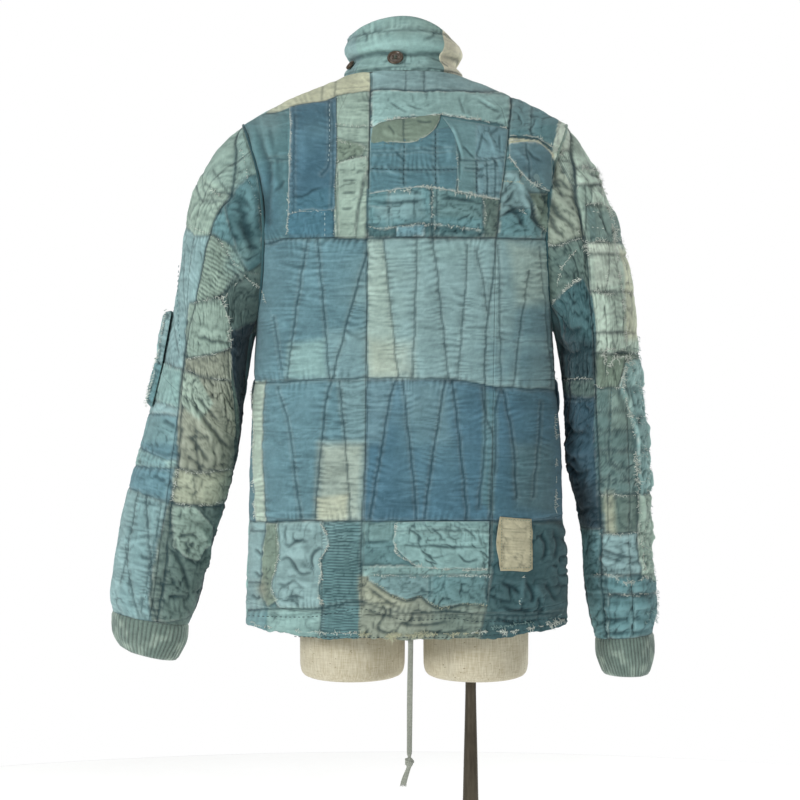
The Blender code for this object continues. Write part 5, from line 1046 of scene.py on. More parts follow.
# The sleeves' backs and outer columns, on the board
SLEEVE_TABLES = {
    "left": written("""
patches
sage 0 0 .5 18 | 160,740 225,740 216,611 194,632 160,640
teal share=.4
deep_teal .5 .3 1.2 17 | 216,611 194,634 160,640 160,526 179,526 196,515 211,541 225,598
teal 0 0 .8 soft=9 share=.55 | 216,611 194,634 174,630 170,590 196,570 219,590
teal .3 .2 .6 12 | 244,562 226,596 212,546 221,549
sage .5 .2 .3 16 ribs=5,.12 | 244,561 221,549 199,516 197,505 221,490 262,474 258,500 252,531
olive share=.3
deep_teal soft=6 share=.5 | 222,552 199,518 196,503 214,505
grey_green .5 .5 1.4 15 | 226,490 197,515 160,510 160,436 214,430 228,474
shadow share=.3
sage .8 .6 .9 18 | 269,475 232,483 221,459 213,424 272,404 276,440
grey_green share=.28
beige .4 .5 .6 11 | 275,405 256,409 237,412 216,420 218,379 252,383 276,391
beige .3 .4 2.4 13 fade=.8 | 280,392 252,383 218,378 214,300 214,268 284,266 286,320
sage 0 0 1.2 8 fade=.5 soft=3 share=.7 | 280,390 258,384 240,350 258,330 282,350
cream .5 .6 .8 15 share=.5 | 288,268 256,264 213,270 222,224 262,221 294,225
grey_green .3 .5 2.2 13 | 296,226 262,222 214,226 214,60 320,60
shadow share=.18
sage .4 .4 1.2 soft=2 share=.6 | 292,222 262,220 240,190 262,150 290,170
navy .2 .3 1.8 12 fade=.1 | 218,440 150,450 160,60 220,60 212,266
seams
1 .4 .5 | 246,561 230,551 206,504
1.2 .4 .5 | 267,474 232,483 206,504
1.1 .5 .5 | 271,405 256,409 237,412 217,419
1.1 .5 .45 | 271,390 252,382 226,379
1.1 .5 .45 | 281,267 256,263 215,269
.8 .3 .4 | 264,261 262,230
1.2 .5 .5 | 291,225 262,221 226,225
1.6 .6 .5 | 219,441 216,350 214,266 222,120
folds
-3 4.2 .5 | 210,616 202,590 194,556 184,528
2.6 5 | 198,630 190,600 184,560
-1.6 2.6 .35 | 206,612 198,600 192,592 200,584
-2.6 4 .45 | 184,620 178,590 176,556
2.2 4 | 216,586 204,560 196,536
-2 2.2 .45 | 266,436 237,427 216,427
1.8 3 | 262,446 240,438 222,438
-2.6 2.6 .5 | 278,365 259,342 241,317 224,297 214,293
-2.2 2.4 .45 | 264,365 252,350 232,325
-2.4 2.6 .45 | 274,312 259,297 244,273
-1.4 2 .35 | 264,335 259,264
-1.5 2 .4 | 282,308 260,308 237,307
2.2 4 | 270,345 256,326 240,300
-2.2 2.4 .45 | 287,182 272,186 260,189
-2.6 2.8 .5 | 297,172 282,151 272,122 271,107
-1.8 2.2 .4 | 300,102 287,109 271,107
-2 2.2 .4 | 276,157 264,152 253,149
2.4 4 | 262,200 248,170 244,130
-2.2 3 .4 | 240,210 236,160 246,110
clouds
pale_teal .5 | 212,530 14,26
deep_teal .35 | 232,200 20,60
rows
sage 0 .2 .5 20 | 642,611
sage 0 .1 .5 16 | 626,600
sage .3 .2 .7 18 | 573,560
pale_blue | 402,391
pale_teal .2 .5 | 354,344
pale_blue | 336,334
mid_blue | 294,278
pale_teal | 271,267
mid_blue | 244,225
pale_blue | -40,-40
edges
| 206,740 212,660 216,611 228,594 244,561 256,510 263,474 267,454 272,441 279,391 281,335 284,268 291,229
  296,180 300,141 310,79 316,20
outer patches
teal soft=4 share=.2 | 300,760 190,760 190,590 262,640
teal soft=2 share=.3 | 336,236 300,226 291,225 300,141 312,60 360,60 352,170
pale_teal soft=8 share=.4 | 290,330 340,340 340,300 286,300
mid_blue soft=5 share=.5 | 300,290 330,300 330,250 296,236
outer seams
1.2 .5 .5 | 239,642 230,626 219,611
1.2 .5 .5 | 249,624 238,616 229,608
1 .4 .4 | 242,608 236,598 232,589
1.2 .5 .4 | 272,560 276,529 274,454
1.1 .5 .35 | 288,520 291,470 284,412
1.3 .7 .5 | 336,236 346,180 357,124
1.3 .7 .5 | 325,231 319,150 311,78
1.2 .6 .4 | 306,222 318,150 330,84
1.1 .6 .4 | 352,170 344,120 334,84
outer folds
1.8 4 | 300,280 286,276 272,270
1.6 4 | 250,600 262,588 268,575
-1.6 3 .25 | 305,330 292,322 280,318
-1.6 3 .3 | 318,262 300,252 286,250
fringes
.8 5 0 | 206,504 212,498 219,490 224,484 232,481
.8 5 0 | 229,486 221,456 217,418
1.6 3.6 0 | 266,474 246,480 232,483
1.4 3.8 0 | 271,405 256,409 237,412 217,419
1.8 3.4 0 | 272,391 252,383 226,379
.9 4.4 0 | 284,268 289,246 292,228
1.8 3.4 0 | 281,267 256,263 218,268
1.2 4.2 -1 | 291,224 262,221 228,225
.9 5.4 0 | 204,512 190,500 178,488 172,470
1.8 3.6 0 | 242,560 230,550 217,530 200,512
2.4 3 0 | 205,669 196,634 183,600 177,568
1.4 4 -1 | 270,573 256,566 243,561
1.4 4 0 | 249,624 239,616 229,609
runnings
3.2 2.8 teal | 282,524 284,480 281,420
3 2.6 teal | 312,322 296,316 284,312
3.2 2.6 teal | 309,205 318,150 328,92
"""),
    "right": written("""
patches
pale_cap 0 .1 .3 16 fade=.5 | -165,670 -190,720 -212,700 -209,663 -165,663
sage .2 .3 ribs=4.6,-.62 | -165,670 -208,664 -214,606 -204,622 -194,640 -176,656
pale_cap share=.4
beige .3 .4 2.2 17 fade=.9 | -150,660 -184,659 -200,634 -213,612 -220,576 -226,557 -191,546 -150,548
sage share=.3
grey_green .4 .6 2 11 | -150,549 -191,546 -226,557 -232,486 -221,507 -200,492 -182,470 -150,470
deep_teal .2 .5 2.2 14 | -150,474 -182,471 -200,491 -221,506 -234,484 -236,378 -150,378
navy 0 0 1 11 soft=9 share=.8 | -150,470 -176,466 -196,430 -200,378 -150,378
navy soft=12 share=.7 | -150,446 -240,430 -240,378 -150,378
grey_green .3 .4 .8 8 | -187,380 -236,380 -238,357 -187,357
shadow share=.3
navy .2 .3 2 14 fade=.1 | -150,360 -238,358 -246,190 -150,190
deep_blue soft=2 share=.4
navy 0 0 .8 11 soft=12 share=.75 | -150,260 -240,250 -246,190 -150,190
teal .4 .6 1.4 10 | -214,192 -246,192 -246,132 -216,132
teal .2 .5 1.8 12 | -216,134 -250,134 -254,30 -190,30 -190,140
navy 0 .2 1.4 14 fade=.1 | -150,470 -186,470 -196,190 -205,30 -150,30
seams
1.4 .5 .5 | -170,548 -191,546 -226,557
1.2 .5 .5 | -187,380 -234,380
1.2 .5 .5 | -187,357 -236,357
1.2 .5 .5 | -190,190 -244,190
folds
-2.4 2.4 .5 | -190,634 -199,624 -206,613
-2.2 2.4 .45 | -186,632 -190,618 -199,604
-3.4 3.4 .6 | -172,612 -184,600 -192,584 -206,574 -211,560
3.2 4.6 | -176,624 -190,608 -204,592 -214,588
-3 3.2 .55 | -176,656 -186,640 -190,624 -202,614
-2.8 3 .5 | -170,590 -184,578 -190,562 -204,552
2 3.4 | -178,570 -190,560 -200,552
-3 3 .5 | -190,460 -206,440 -226,446
-2.8 3 .5 | -188,430 -208,412 -230,420
2.4 4 | -190,446 -208,428 -228,434
-2.8 3 .45 | -192,330 -214,312 -238,320
-2.8 3 .45 | -196,280 -216,262 -240,268
2.4 4 | -196,304 -214,288 -238,292
-2.4 2.8 .45 | -200,230 -220,216 -242,222
clouds
deep_teal .3 | -205,520 20,20
rows
pale_sage .3 .3 .5 20 | 639,644
pale_sage .3 .5 1.8 12 | 622,622
sage .4 .5 .7 18 | 550,550
pale_cap .9 .7 .6 9 | 534,536
pale_sage .2 .4 .6 22 | 486,489
pale_sage .2 .5 .8 20 | 436,438
pale_sage .6 .7 1.8 10 | 410,412
olive .5 .6 1.2 13 | 369,369
grey_green .2 .2 .5 18 | 290,290
grey_green .2 .3 1.2 12 | 236,236
grey_green .5 .6 .6 | 187,187
pale_blue .3 .4 1.5 15 | 135,135
teal .6 .9 1.6 9 | 110,110
teal .2 .6 1.6 12 | -40,-40
edges
| -204,740 -207,686 -208,664 -212,640 -213,611 -220,576 -226,546 -230,489 -235,440 -238,378 -241,300
  -244,190 -246,135 -252,60 -256,20
outer patches
pale_sage .3 .4 .4 14 | -233,598 -258,590 -258,622 -233,622
teal soft=2 share=.35 | -226,596 -290,590 -290,552 -232,552
deep_teal soft=4 share=.4 | -222,598 -236,597 -240,552 -228,552
grey_green .4 .5 .8 share=.6 | -262,592 -290,590 -290,560 -266,556
pale_cap soft=4 share=.55 | -234,548 -268,548 -270,500 -238,490
cream 0 .2 .8 12 soft=6 share=.7 | -268,545 -300,545 -300,430 -276,430
pale_teal 1.5 1 2.2 8 | -276,402 -320,410 -330,180 -296,186 -293,253 -288,310 -278,345 -268,372
cream soft=5 share=.5 | -250,240 -262,240 -263,188 -248,188
mid_blue soft=3 share=.5 | -243,188 -251,188 -250,214 -242,214
teal share=.3 | -236,369 -262,369 -300,369 -300,236 -240,236
sage soft=6 share=.4 | -256,366 -280,360 -284,320 -258,316
sage 1 1 1.8 7 | -292,236 -330,236 -330,130 -296,134
outer seams
1.2 .6 .5 | -226,598 -246,598
1.1 .6 .5 | -225,622 -225,552
1.1 .6 .45 | -255,550 -256,531 -251,491
1.2 .6 .5 | -235,489 -267,486
1 .4 .45 | -240,339 -286,339
1 .4 .4 | -240,314 -286,316
1 .4 .45 | -258,369 -257,330 -255,290 -261,273 -281,253
.9 .4 .4 | -255,259 -254,244 -253,229
.9 .4 .4 | -255,273 -284,267
.9 .4 .4 | -244,253 -290,253
.9 .4 .4 | -254,234 -254,188
1.1 .6 .4 | -262,480 -266,440 -262,416
1 .5 .4 | -250,470 -252,430 -250,380
outer folds
-2.4 3 .6 | -206,686 -208,664 -211,646 -211,611 -220,576 -225,524 -229,489
2.6 4 | -243,660 -262,640 -270,622
-2.2 2.6 .5 | -226,636 -246,632 -262,622
2.4 3.4 .3 | -262,600 -272,580 -276,560
3.4 3.4 .5 | -270,372 -280,352 -286,336
3.6 3.2 .5 | -286,336 -290,300 -292,262
3 3 .4 | -293,250 -296,226 -296,190
3 4 | -298,400 -304,380 -298,364
3 4 | -306,330 -312,310 -306,290
3 4 | -310,270 -316,250 -310,234
2.8 4 | -308,210 -314,190 -306,170
-2.2 2.4 .5 | -246,158 -270,152 -300,150
2.6 4 | -250,122 -280,118 -306,122
2.6 4 | -250,96 -280,94 -312,100
2.2 3.4 | -250,74 -280,70 -312,74
-2.2 2.6 .45 | -239,169 -266,160 -296,155
2 3.6 | -240,152 -268,150 -300,146
1.8 2.6 .4 | -241,135 -259,135 -272,126 -292,126 -306,135
-2 2.4 .45 | -256,110 -286,108 -307,111
-1.8 2.4 .4 | -244,81 -269,79 -302,81
-1.6 2.2 .4 | -241,63 -302,65
-2.6 3 .85 | -262,412 -281,412
1.8 2.2 | -255,396 -261,405 -281,408 -284,396
-2 2.6 .45 | -240,590 -250,574 -254,560
1.8 3 | -232,612 -244,606 -248,590
fringes
.35 6 0 | -241,640 -247,610 -256,583 -261,560 -264,539
.4 5.4 0 | -264,539 -268,515 -272,489 -275,450 -277,400
.4 5.6 0 | -277,400 -274,367 -281,340 -287,310 -290,280 -291,250
1.1 4.4 0 | -291,250 -294,215 -297,180 -301,140
.6 5.4 0 | -211,648 -221,643 -232,642 -243,641
.6 5.4 0 | -212,620 -226,626 -240,626
.9 4.6 0 | -226,599 -236,598 -247,599
.7 5.2 -1 | -228,547 -237,551 -261,551
.7 5.2 0 | -235,490 -250,488 -268,487
1.2 4.2 0 | -255,549 -256,531 -251,492
.5 6.2 0 | -255,396 -261,404 -272,408 -282,408 -285,397
.6 5.6 -1 | -252,418 -262,417 -282,415
1 4.4 0 | -240,369 -258,370 -276,368
.9 4.6 0 | -177,549 -191,547 -208,552 -224,557
.8 5 0 | -190,497 -193,511 -203,528 -214,542
.7 5.4 -1 | -182,472 -200,491 -221,506
.7 5 0 | -216,566 -220,556 -226,548 -229,536
.6 5.2 0 | -247,420 -250,410 -249,398 -254,388
1 4.4 0 | -188,380 -210,380 -234,380
1 4.6 0 | -244,187 -266,186 -292,187
1.2 4.2 0 | -244,234 -266,235 -288,234
.6 5.4 0 | -241,135 -259,134 -272,126 -292,126 -305,134
1 4.6 0 | -256,111 -286,109 -306,111
2 3.4 0 | -184,674 -195,702 -206,687
runnings
2.8 2.4 teal | -258,366 -257,300
2.8 2.4 olive | -262,228 -262,192
2.6 2.2 fray | -232,590 -244,588
2.6 2.2 fray | -232,570 -250,568
"""),
}
SLEEVE_BACKS = {
    "left": zone_of("grey_green", 2.0, 307, SLEEVE_TABLES["left"]),
    "right": zone_of("teal", 2.0, 401, SLEEVE_TABLES["right"]),
}

# The sleeves' fronts: the foot of each row over the cuff, in millimetres along the cloth, and its cloth
FRONT_ROWS = (
    (470, "sage"), (380, "pale_teal"), (285, "mid_blue"),
    (205, "teal"), (120, "pale_blue"), (-60, "mid_blue"),
)


class SleeveCloth:
    """One sleeve's cloth unrolled flat. Across is the length round its rings from the outer line, positive
    behind; up is the length along it from the cuff; both are in millimetres."""

    ANGLES, STEPS = np.linspace(-180, 180, 181), np.linspace(0, SLEEVE_END, 221)

    def __init__(self, side):
        angles, steps = np.meshgrid(self.ANGLES, self.STEPS)
        points = sleeve_point(angles, steps, side)
        around, along = lengths_along(points, 1), lengths_along(points)
        self.side = side
        self.across = (around - around[:, len(self.ANGLES) // 2][:, None]) / MM
        self.up = (along[-1:] - along) / MM
        self.board = on_board(points)
        behind = (angles >= 4) & (angles <= 176)
        self.seen = [table[behind] for table in (*self.board, self.across, self.up)]

    def place(self, angle, step):
        """Across and up at any angle and ring step, between the four nearest places of the table."""
        column = np.clip((np.asarray(angle) + 180) / 2, 0, len(self.ANGLES) - 1.001)
        row = np.clip(np.asarray(step) * 20, 0, len(self.STEPS) - 1.001)
        i, j = row.astype(int), column.astype(int)
        s, t = row - i, column - j
        return [
            (table[i, j] * (1 - t) + table[i, j + 1] * t) * (1 - s)
            + (table[i + 1, j] * (1 - t) + table[i + 1, j + 1] * t) * s
            for table in (self.across, self.up)
        ]

    def unroll(self, line):
        """A line on the board as a line on the flat cloth, by the four nearest seen places of the table."""
        across, up, flat_across, flat_up = self.seen
        found = []
        for a, b in line:
            away = np.hypot(across - a, up - b)
            nearest = np.argpartition(away, 4)[:4]
            share = 1 / (away[nearest] + 0.05)
            share /= share.sum()
            found.append((float(share @ flat_across[nearest]), float(share @ flat_up[nearest])))
        return tuple(found)

    def zone(self):
        """What is laid out on the whole sleeve: rows down the outer column and the front, and the back's
        own patches, seams and folds carried over from the board."""
        back, table = SLEEVE_BACKS[self.side], SLEEVE_TABLES[self.side]
        seam_steps = np.linspace(0, SLEEVE_END, 23)
        behind = list(zip(*self.place(np.full(23, SLEEVE_SEAM), seam_steps)))
        before = list(zip(*self.place(np.full(23, -SLEEVE_SEAM), seam_steps)))
        outer_up = np.array([self.place(10.0, step)[1] for step in self.STEPS]).ravel()
        outer_board = self.board[1][:, 95]
        seam_board = [on_board(sleeve_point(float(SLEEVE_SEAM), step, self.side)) for step in self.STEPS]
        seam_level = np.array([float(up) for _, up in seam_board])
        patches, seams = [], []
        above = [(-120.0, 760.0), (0.0, 760.0), (120.0, 760.0)]
        for row in table["rows"]:
            outer = float(np.interp(row.outer, outer_board[::-1], outer_up[::-1]))
            step = float(np.interp(row.inner, seam_level[::-1], self.STEPS[::-1]))
            seam_across, seam_up = (float(value) for value in self.place(float(SLEEVE_SEAM), step))
            edge_across = np.interp(row.inner, *zip(*[(b, a) for a, b in reversed(table["edges"][0])]))
            (edge_across, edge_up), = self.unroll(((float(edge_across), row.inner),))
            edge_across = max(edge_across, seam_across + 1.0)
            foot = [(-120.0, outer), (0.0, outer), (seam_across, seam_up), (edge_across, edge_up)]
            foot.append((edge_across + 90, edge_up))
            patches.append(Patch(tuple(foot + above[::-1]), *row[2:]))
            seams.append(Seam(tuple(foot[:4]), 1.1, 0.5, 0.3))
            above = foot
        back_shapes = [patch._replace(outline=self.unroll(patch.outline)) for patch in back.patches]
        column_edge = self.unroll(rounded(table["edges"][0], 3))
        ground = Patch(tuple([*column_edge, (260.0, -60.0), (260.0, 760.0)]), back.base, 0.2, 0.3, 0.8, 14.0)
        columns = [patch._replace(outline=self.unroll(patch.outline)) for patch in table["outer patches"]]
        front_top, front = 760.0, []
        for level, cloth in FRONT_ROWS:
            line = [point for point in before if level <= point[1] <= front_top]
            at = float(np.interp(level, [p[1] for p in before[::-1]], [p[0] for p in before[::-1]]))
            top = float(np.interp(front_top, [p[1] for p in before[::-1]], [p[0] for p in before[::-1]]))
            outline = [(-280.0, front_top), (top, front_top), *line, (at, level), (-280.0, level)]
            front.append(Patch(tuple(outline), cloth, 0.0, 0.3, 0.7, 13.0))
            seams.append(Seam(((at, level), (-150, level + 4), (-260, level)), 1.3, 0.6, 0.45))
            seams += vees(-230, at - 8, level, min(front_top, 600), 5, 1.1)
            front_top = level
        seams += [seam._replace(line=self.unroll(seam.line)) for seam in back.seams]
        seams += [seam._replace(line=self.unroll(seam.line)) for seam in table["outer seams"]]
        seams += [Seam(tuple(behind), 0.8, 0.5, 0.3), Seam(tuple(before), 1.7, 0.7, 0.6)]
        seams.append(Seam(tuple(column_edge[:-2]), 2.2, 0.8, 0.75))
        folds = [
            fold._replace(line=self.unroll(fold.line), height=1.3 * fold.height, width=1.2 * fold.width)
            for fold in (*back.folds, *table["outer folds"])
        ]
        mirrored_folds = [
            fold._replace(line=tuple((-across, up + 9) for across, up in fold.line)) for fold in folds[::2]
        ]
        clouds = []
        for cloud in back.clouds:
            (across, up), = self.unroll(((cloud.across, cloud.up),))
            clouds.append(cloud._replace(across=across, up=up))
        return Zone("teal", tuple(patches + columns + [ground] + back_shapes + front), tuple(seams),
                    tuple(folds + mirrored_folds), tuple(clouds), back.billow, back.seed)


# The collar: across is the length round it from the middle of the back, positive to the wearer's left, and
# up is the length up from the neck seam
COLLAR_ZONE = zone_of("pale_teal", 0.9, 503, written("""
patches
pale_blue | 60,-10 260,120
pale_teal 0 0 .4 12 | 12,-10 -44,-10 -40,24 8,27
seams
1.2 .6 .5 | -260,3 0,3 260,3
.9 .6 .45 | -260,53 -40,52 0,54 60,51 260,52
.6 .4 .3 | -260,76 0,77 260,76
folds
-2 3.6 .45 | -200,26 -40,25 -10,23 30,26 70,25 220,27
1.2 7 | -200,36 0,35 200,36
-.9 2.4 .25 | -20,40 -34,48 -38,60
-.9 2.4 .25 | 52,60 44,48 46,38
-.8 2 .25 | 24,8 14,16 -6,20
-.8 2 .25 | -60,10 -48,18 -30,20
clouds
sage .3 | -20,60 60,16
"""))


# The overlays on the back: each is four edges on the board, as lines from its left top corner to the right
# top, from there to the right bottom, and the same from left top by left bottom
Overlay = namedtuple("Overlay", "top bottom left right zone slot frayed")


def spread(edge, count):
    """Places at equal lengths along a smooth curve through the edge's points."""
    line = rounded(edge, 8)
    runs = lengths_along(line)
    at = np.linspace(0, runs[-1], count)
    return np.stack([np.interp(at, runs, line[:, k]) for k in (0, 1)], axis=-1)


def four_sided(overlay, step):
    """A Coons patch: the blend of top and bottom edges, plus that of left and right ones, less the blend of
    the four corners."""
    size = [np.linalg.norm(np.diff(np.array(edge, float), axis=0), axis=-1).sum() for edge in overlay[:4]]
    columns = 2 * round(max(size[:2]) / step / 2) + 1
    rows = 2 * round(max(size[2:]) / step / 2) + 1
    top, bottom = spread(overlay.top, columns), spread(overlay.bottom, columns)
    left, right = spread(overlay.left, rows), spread(overlay.right, rows)
    u, v = np.linspace(0, 1, columns)[None, :, None], np.linspace(0, 1, rows)[:, None, None]
    sides = left[:, None] * (1 - u) + right[:, None] * u
    ends = top[None] * (1 - v) + bottom[None] * v
    corners = (top[0] * (1 - u) + top[-1] * u) * (1 - v) + (bottom[0] * (1 - u) + bottom[-1] * u) * v
    grid = sides + ends - corners
    return grid[..., 0], grid[..., 1]


def overlay(slot, frayed, base, billow, seed, text):
    """An overlay from its written table: edges in the order top, bottom, left and right, then the zone's."""
    table = written(text)
    return Overlay(*table["edges"], zone_of(base, billow, seed, table), slot, frayed)


OVERLAYS = {
    "yoke_patch_blue": overlay("dark_blue_cotton", (0.1, 0.2, 0.6, 0.1), "deep_blue", 0.6, 607, """
edges
| 144,719 120,723 97,727 85,730
| 146,584 139,587 127,590 117,592 105,590 87,592
| 144,719 143,690 144,650 146,584
| 85,730 85,700 85,660 87,626 87,592
patches
shadow share=.2 | 60,560 160,740
bright_blue 0 0 .4 12 fade=.1 | 150,606 128,606 112,616 84,622 84,540 160,540
seams
.8 .35 .4 | 94,725 94,672 96,647 104,636
.5 .3 .3 | 138,720 138,650 139,580
.6 .3 .3 | 90,722 90,650 91,596
folds
-1.2 2 .4 | 144,606 127,608 113,616 99,621
.8 7 | 132,700 126,660 130,630
clouds
mid_blue .35 | 115,690 26,24
bright_blue .5 | 100,604 24,12
"""),
    "yoke_patch_olive": overlay("olive_cotton", (0.0, 0.6, 0.1, 0.3), "olive", 0.5, 619, """
edges
| 43,693 24,701 -6,706 -28,708 -44,710
| 43,670 30,674 13,675 -6,675 -19,678 -30,685 -38,693 -43,703
| 43,693 43,670
| -44,710 -43,703
seams
.8 .4 .5 | 1,708 2,676
folds
-1 1.8 .5 | -14,703 -24,700 -36,700
.8 4 | 30,690 16,684 8,686
-.7 1.6 .3 | 22,698 14,688 16,680
"""),
    "yoke_patch_square": overlay("mid_blue_cotton", (0.0, 0.7, 0.1, 0.2), "teal", 0.7, 631, """
edges
| 44,678 20,682 -10,688 -40,692 -62,694
| 44,611 20,615 -13,619 -36,618 -64,614
| 44,678 44,645 44,611
| -62,694 -66,650 -64,614
patches
deep_blue soft=2 share=.4 | -90,590 60,700
seams
.9 .5 .2 | 1,676 2,650 2,622
.9 .5 .25 | -37,690 -38,650 -38,622
1 .6 .25 | 44,643 0,641 -66,641
.7 .5 .1 | 44,662 0,664 -60,666
folds
-.9 1.8 .4 | 14,668 4,656 -6,650
.8 4 | -48,676 -56,660 -50,648
.7 3 | 30,652 20,640 4,634
"""),
    "yoke_patch_pleated": overlay("teal_cotton", (0.1, 0.7, 0.15, 0.2), "teal", 0.6, 641, """
edges
| -47,706 -70,702 -100,697 -129,692
| -66,614 -76,612 -91,609 -118,604
| -47,706 -57,690 -64,655 -66,614
| -129,692 -126,660 -122,630 -118,604
patches
mid_blue 0 .2 .8 12 | -88,700 -130,694 -118,600 -88,608
pale_blue share=.25 | -140,600 -40,712
seams
.9 .4 .5 | -89,652 -89,612
.9 .4 .45 | -102,650 -102,610
.9 .4 .45 | -112,652 -112,608
.7 .3 .4 | -75,643 -90,643
1 .5 .5 | -70,652 -96,653 -124,656
folds
-1.4 1.8 .55 | -47,702 -56,690 -64,670 -68,655 -67,620
1.4 2.4 | -53,700 -62,686 -70,664 -74,650
-1.3 1.8 .5 | -71,671 -80,662 -88,654
-1.3 1.8 .5 | -88,654 -93,670 -97,690
1 3 | -104,690 -108,674 -112,660
-.9 1.8 .35 | -118,688 -118,672 -119,660
"""),
    "yoke_patch_torn": overlay("mid_blue_cotton", (0.8, 0.9, 0.2, 0.4), "bright_blue", 0.6, 653, """
edges
| -130,674 -150,676 -164,675 -174,669 -182,660
| -130,657 -142,641 -155,627 -168,619 -182,613
| -130,674 -130,657
| -182,660 -183,636 -182,613
patches
pale_blue share=.5 | -190,600 -120,690
seams
.8 .4 .4 | -150,672 -153,650 -156,630
folds
1 3 | -135,668 -146,656 -158,648
-1.2 2 .4 | -150,668 -160,656 -172,650
clouds
bright_blue .5 | -160,650 18,14
"""),
    "band_patch_crinkled": overlay("pale_teal_cotton", (0.1, 0.4, 0.4, 0.1), "pale_teal", 0.8, 661, """
edges
| 10,201 -20,202 -60,202 -106,202
| -14,146 -40,143 -70,143 -104,142
| 10,201 13,186 15,175 4,161 -14,146
| -106,202 -105,172 -104,142
patches
pale_teal 0 0 2.2 11 fade=.2 | -130,120 40,230
teal share=.3
seams
.7 .4 .3 | 14,190 -40,191 -106,190
folds
-1.6 2.2 .45 | 12,170 -20,172 -60,170 -106,171
-1.4 1.8 .4 | 0,196 -14,186 -20,176
-1.4 1.8 .4 | -30,196 -44,184 -40,176
-1.4 1.8 .4 | -70,196 -84,186 -90,176
-1.4 1.8 .4 | -20,166 -34,156 -50,160
-1.4 1.8 .4 | -64,164 -76,152 -94,156
"""),
    "sewn_label": overlay("label_cotton", (0.1, 0.2, 0.2, 0.1), "label", 0.4, 677, """
edges
| -119,208 -140,206 -159,205
| -119,140 -134,140 -151,139 -159,142
| -119,208 -116,190 -114,171 -118,150 -119,140
| -159,205 -159,175 -159,142
patches
label 0 0 .5 11 fade=.15 | -180,120 -100,230
"""),
}


# ---------------------------------------------------------------------------------------------------
# Grids, shells and threads

Sheet = namedtuple("Sheet", "points outward")
LINING = "pale_blue"


def even_places(points, places, step):
    """An odd number of places whose points lie evenly along the grid's first axis, about a step apart."""
    runs = np.linalg.norm(np.diff(points, axis=0), axis=-1).mean(axis=1)
    total = np.concatenate([[0.0], np.cumsum(runs)])
    count = max(3, 2 * round(total[-1] / step / 2) + 1)
    return np.interp(np.linspace(0, total[-1], count), total, places)


def torso_sheet(first, last, low, high, step):
    """A fine grid on a rectangle of the torso, with even rows and columns."""
    front = first >= RIGHT_EDGE
    levels, positions = np.linspace(low, high, 181), np.linspace(first, last, 20 * (last - first) + 1)

    def grid(at_positions, at_levels):
        thetas = girth_theta(at_positions, at_levels, front)
        return thetas, np.broadcast_to(at_levels[:, None], thetas.shape)

    trial = torso_point(*grid(positions, levels))
    levels = even_places(trial[:, ::10], levels, step)
    positions = even_places(np.swapaxes(trial, 0, 1)[:, ::20], positions, step)
    thetas, at_levels = grid(positions, levels)
    return Sheet(torso_point(thetas, at_levels), torso_outward(thetas, at_levels))


def grid_outward(points, towards):
    """Unit normals of a grid by differences, on the side that the directions towards point to."""
    across = np.gradient(points, axis=1)
    along = np.gradient(points, axis=0)
    normal = unit(np.cross(across, along))
    sign = np.sign(np.sum(normal * towards))
    return normal * sign


def sleeve_sheet(side, first, last, start, end, step):
    """A fine grid on a rectangle of a sleeve, and each place's angle and ring step."""
    angles, steps = np.linspace(first, last, 61), np.linspace(start, end, 121)
    trial = sleeve_point(*np.meshgrid(angles, steps), side)
    steps = even_places(trial[:, ::6], steps, step)
    angles = even_places(np.swapaxes(trial, 0, 1)[:, ::10], angles, step)
    angle_grid, step_grid = np.meshgrid(angles, steps)
    points = sleeve_point(angle_grid, step_grid, side)
    row = ring_row(SLEEVES[side], step_grid)
    middle = mirrored(np.stack([
        (row["outer_x"] + row["inner_x"]) / 2, -row["forward"], (row["outer_z"] + row["inner_z"]) / 2,
    ], axis=-1), side)
    return Sheet(points, grid_outward(points, points - middle)), angle_grid, step_grid


def cloth_uv(points):
    """Each place's distance in metres along its row and up its column, for a weave that follows the cloth."""
    across = lengths_along(points, 1)
    across = across - across[:, across.shape[1] // 2][:, None]
    return np.stack([across, lengths_along(points)], axis=-1)


def add_mesh(name, points, faces, material, tint=None, uv=None, sharp=None):
    """A mesh object from arrays: points, triangles, a colour and a cloth place for each point."""
    points, faces = np.asarray(points, np.float32), np.asarray(faces, np.int32)
    mesh = bpy.data.meshes.new(name)
    mesh.vertices.add(len(points))
    mesh.vertices.foreach_set("co", points.ravel())
    mesh.loops.add(faces.size)
    mesh.loops.foreach_set("vertex_index", faces.ravel())
    mesh.polygons.add(len(faces))
    mesh.polygons.foreach_set("loop_start", np.arange(len(faces), dtype=np.int32) * 3)
    mesh.update(calc_edges=True)
    mesh.validate()
    mesh.shade_smooth()
    if sharp:
        mesh.set_sharp_from_angle(angle=math.radians(sharp))
    if tint is not None:
        colours = np.ones((len(points), 4), np.float32)
        colours[:, :3] = tint
        layer = mesh.color_attributes.new("tint", "FLOAT_COLOR", "POINT")
        layer.data.foreach_set("color", colours.ravel())
    if uv is not None:
        layer = mesh.uv_layers.new(name="cloth")
        layer.data.foreach_set("uv", np.asarray(uv, np.float32)[faces.ravel()].ravel())
    mesh.materials.append(material)
    made = bpy.data.objects.new(name, mesh)
    bpy.context.scene.collection.objects.link(made)
    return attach(made, "root")


def grid_faces(index):
    """Two triangles for each cell of a grid of point numbers."""
    a, b, c, d = index[:-1, :-1], index[:-1, 1:], index[1:, 1:], index[1:, :-1]
    return np.concatenate([np.stack([a, b, c], -1).reshape(-1, 3), np.stack([a, c, d], -1).reshape(-1, 3)])


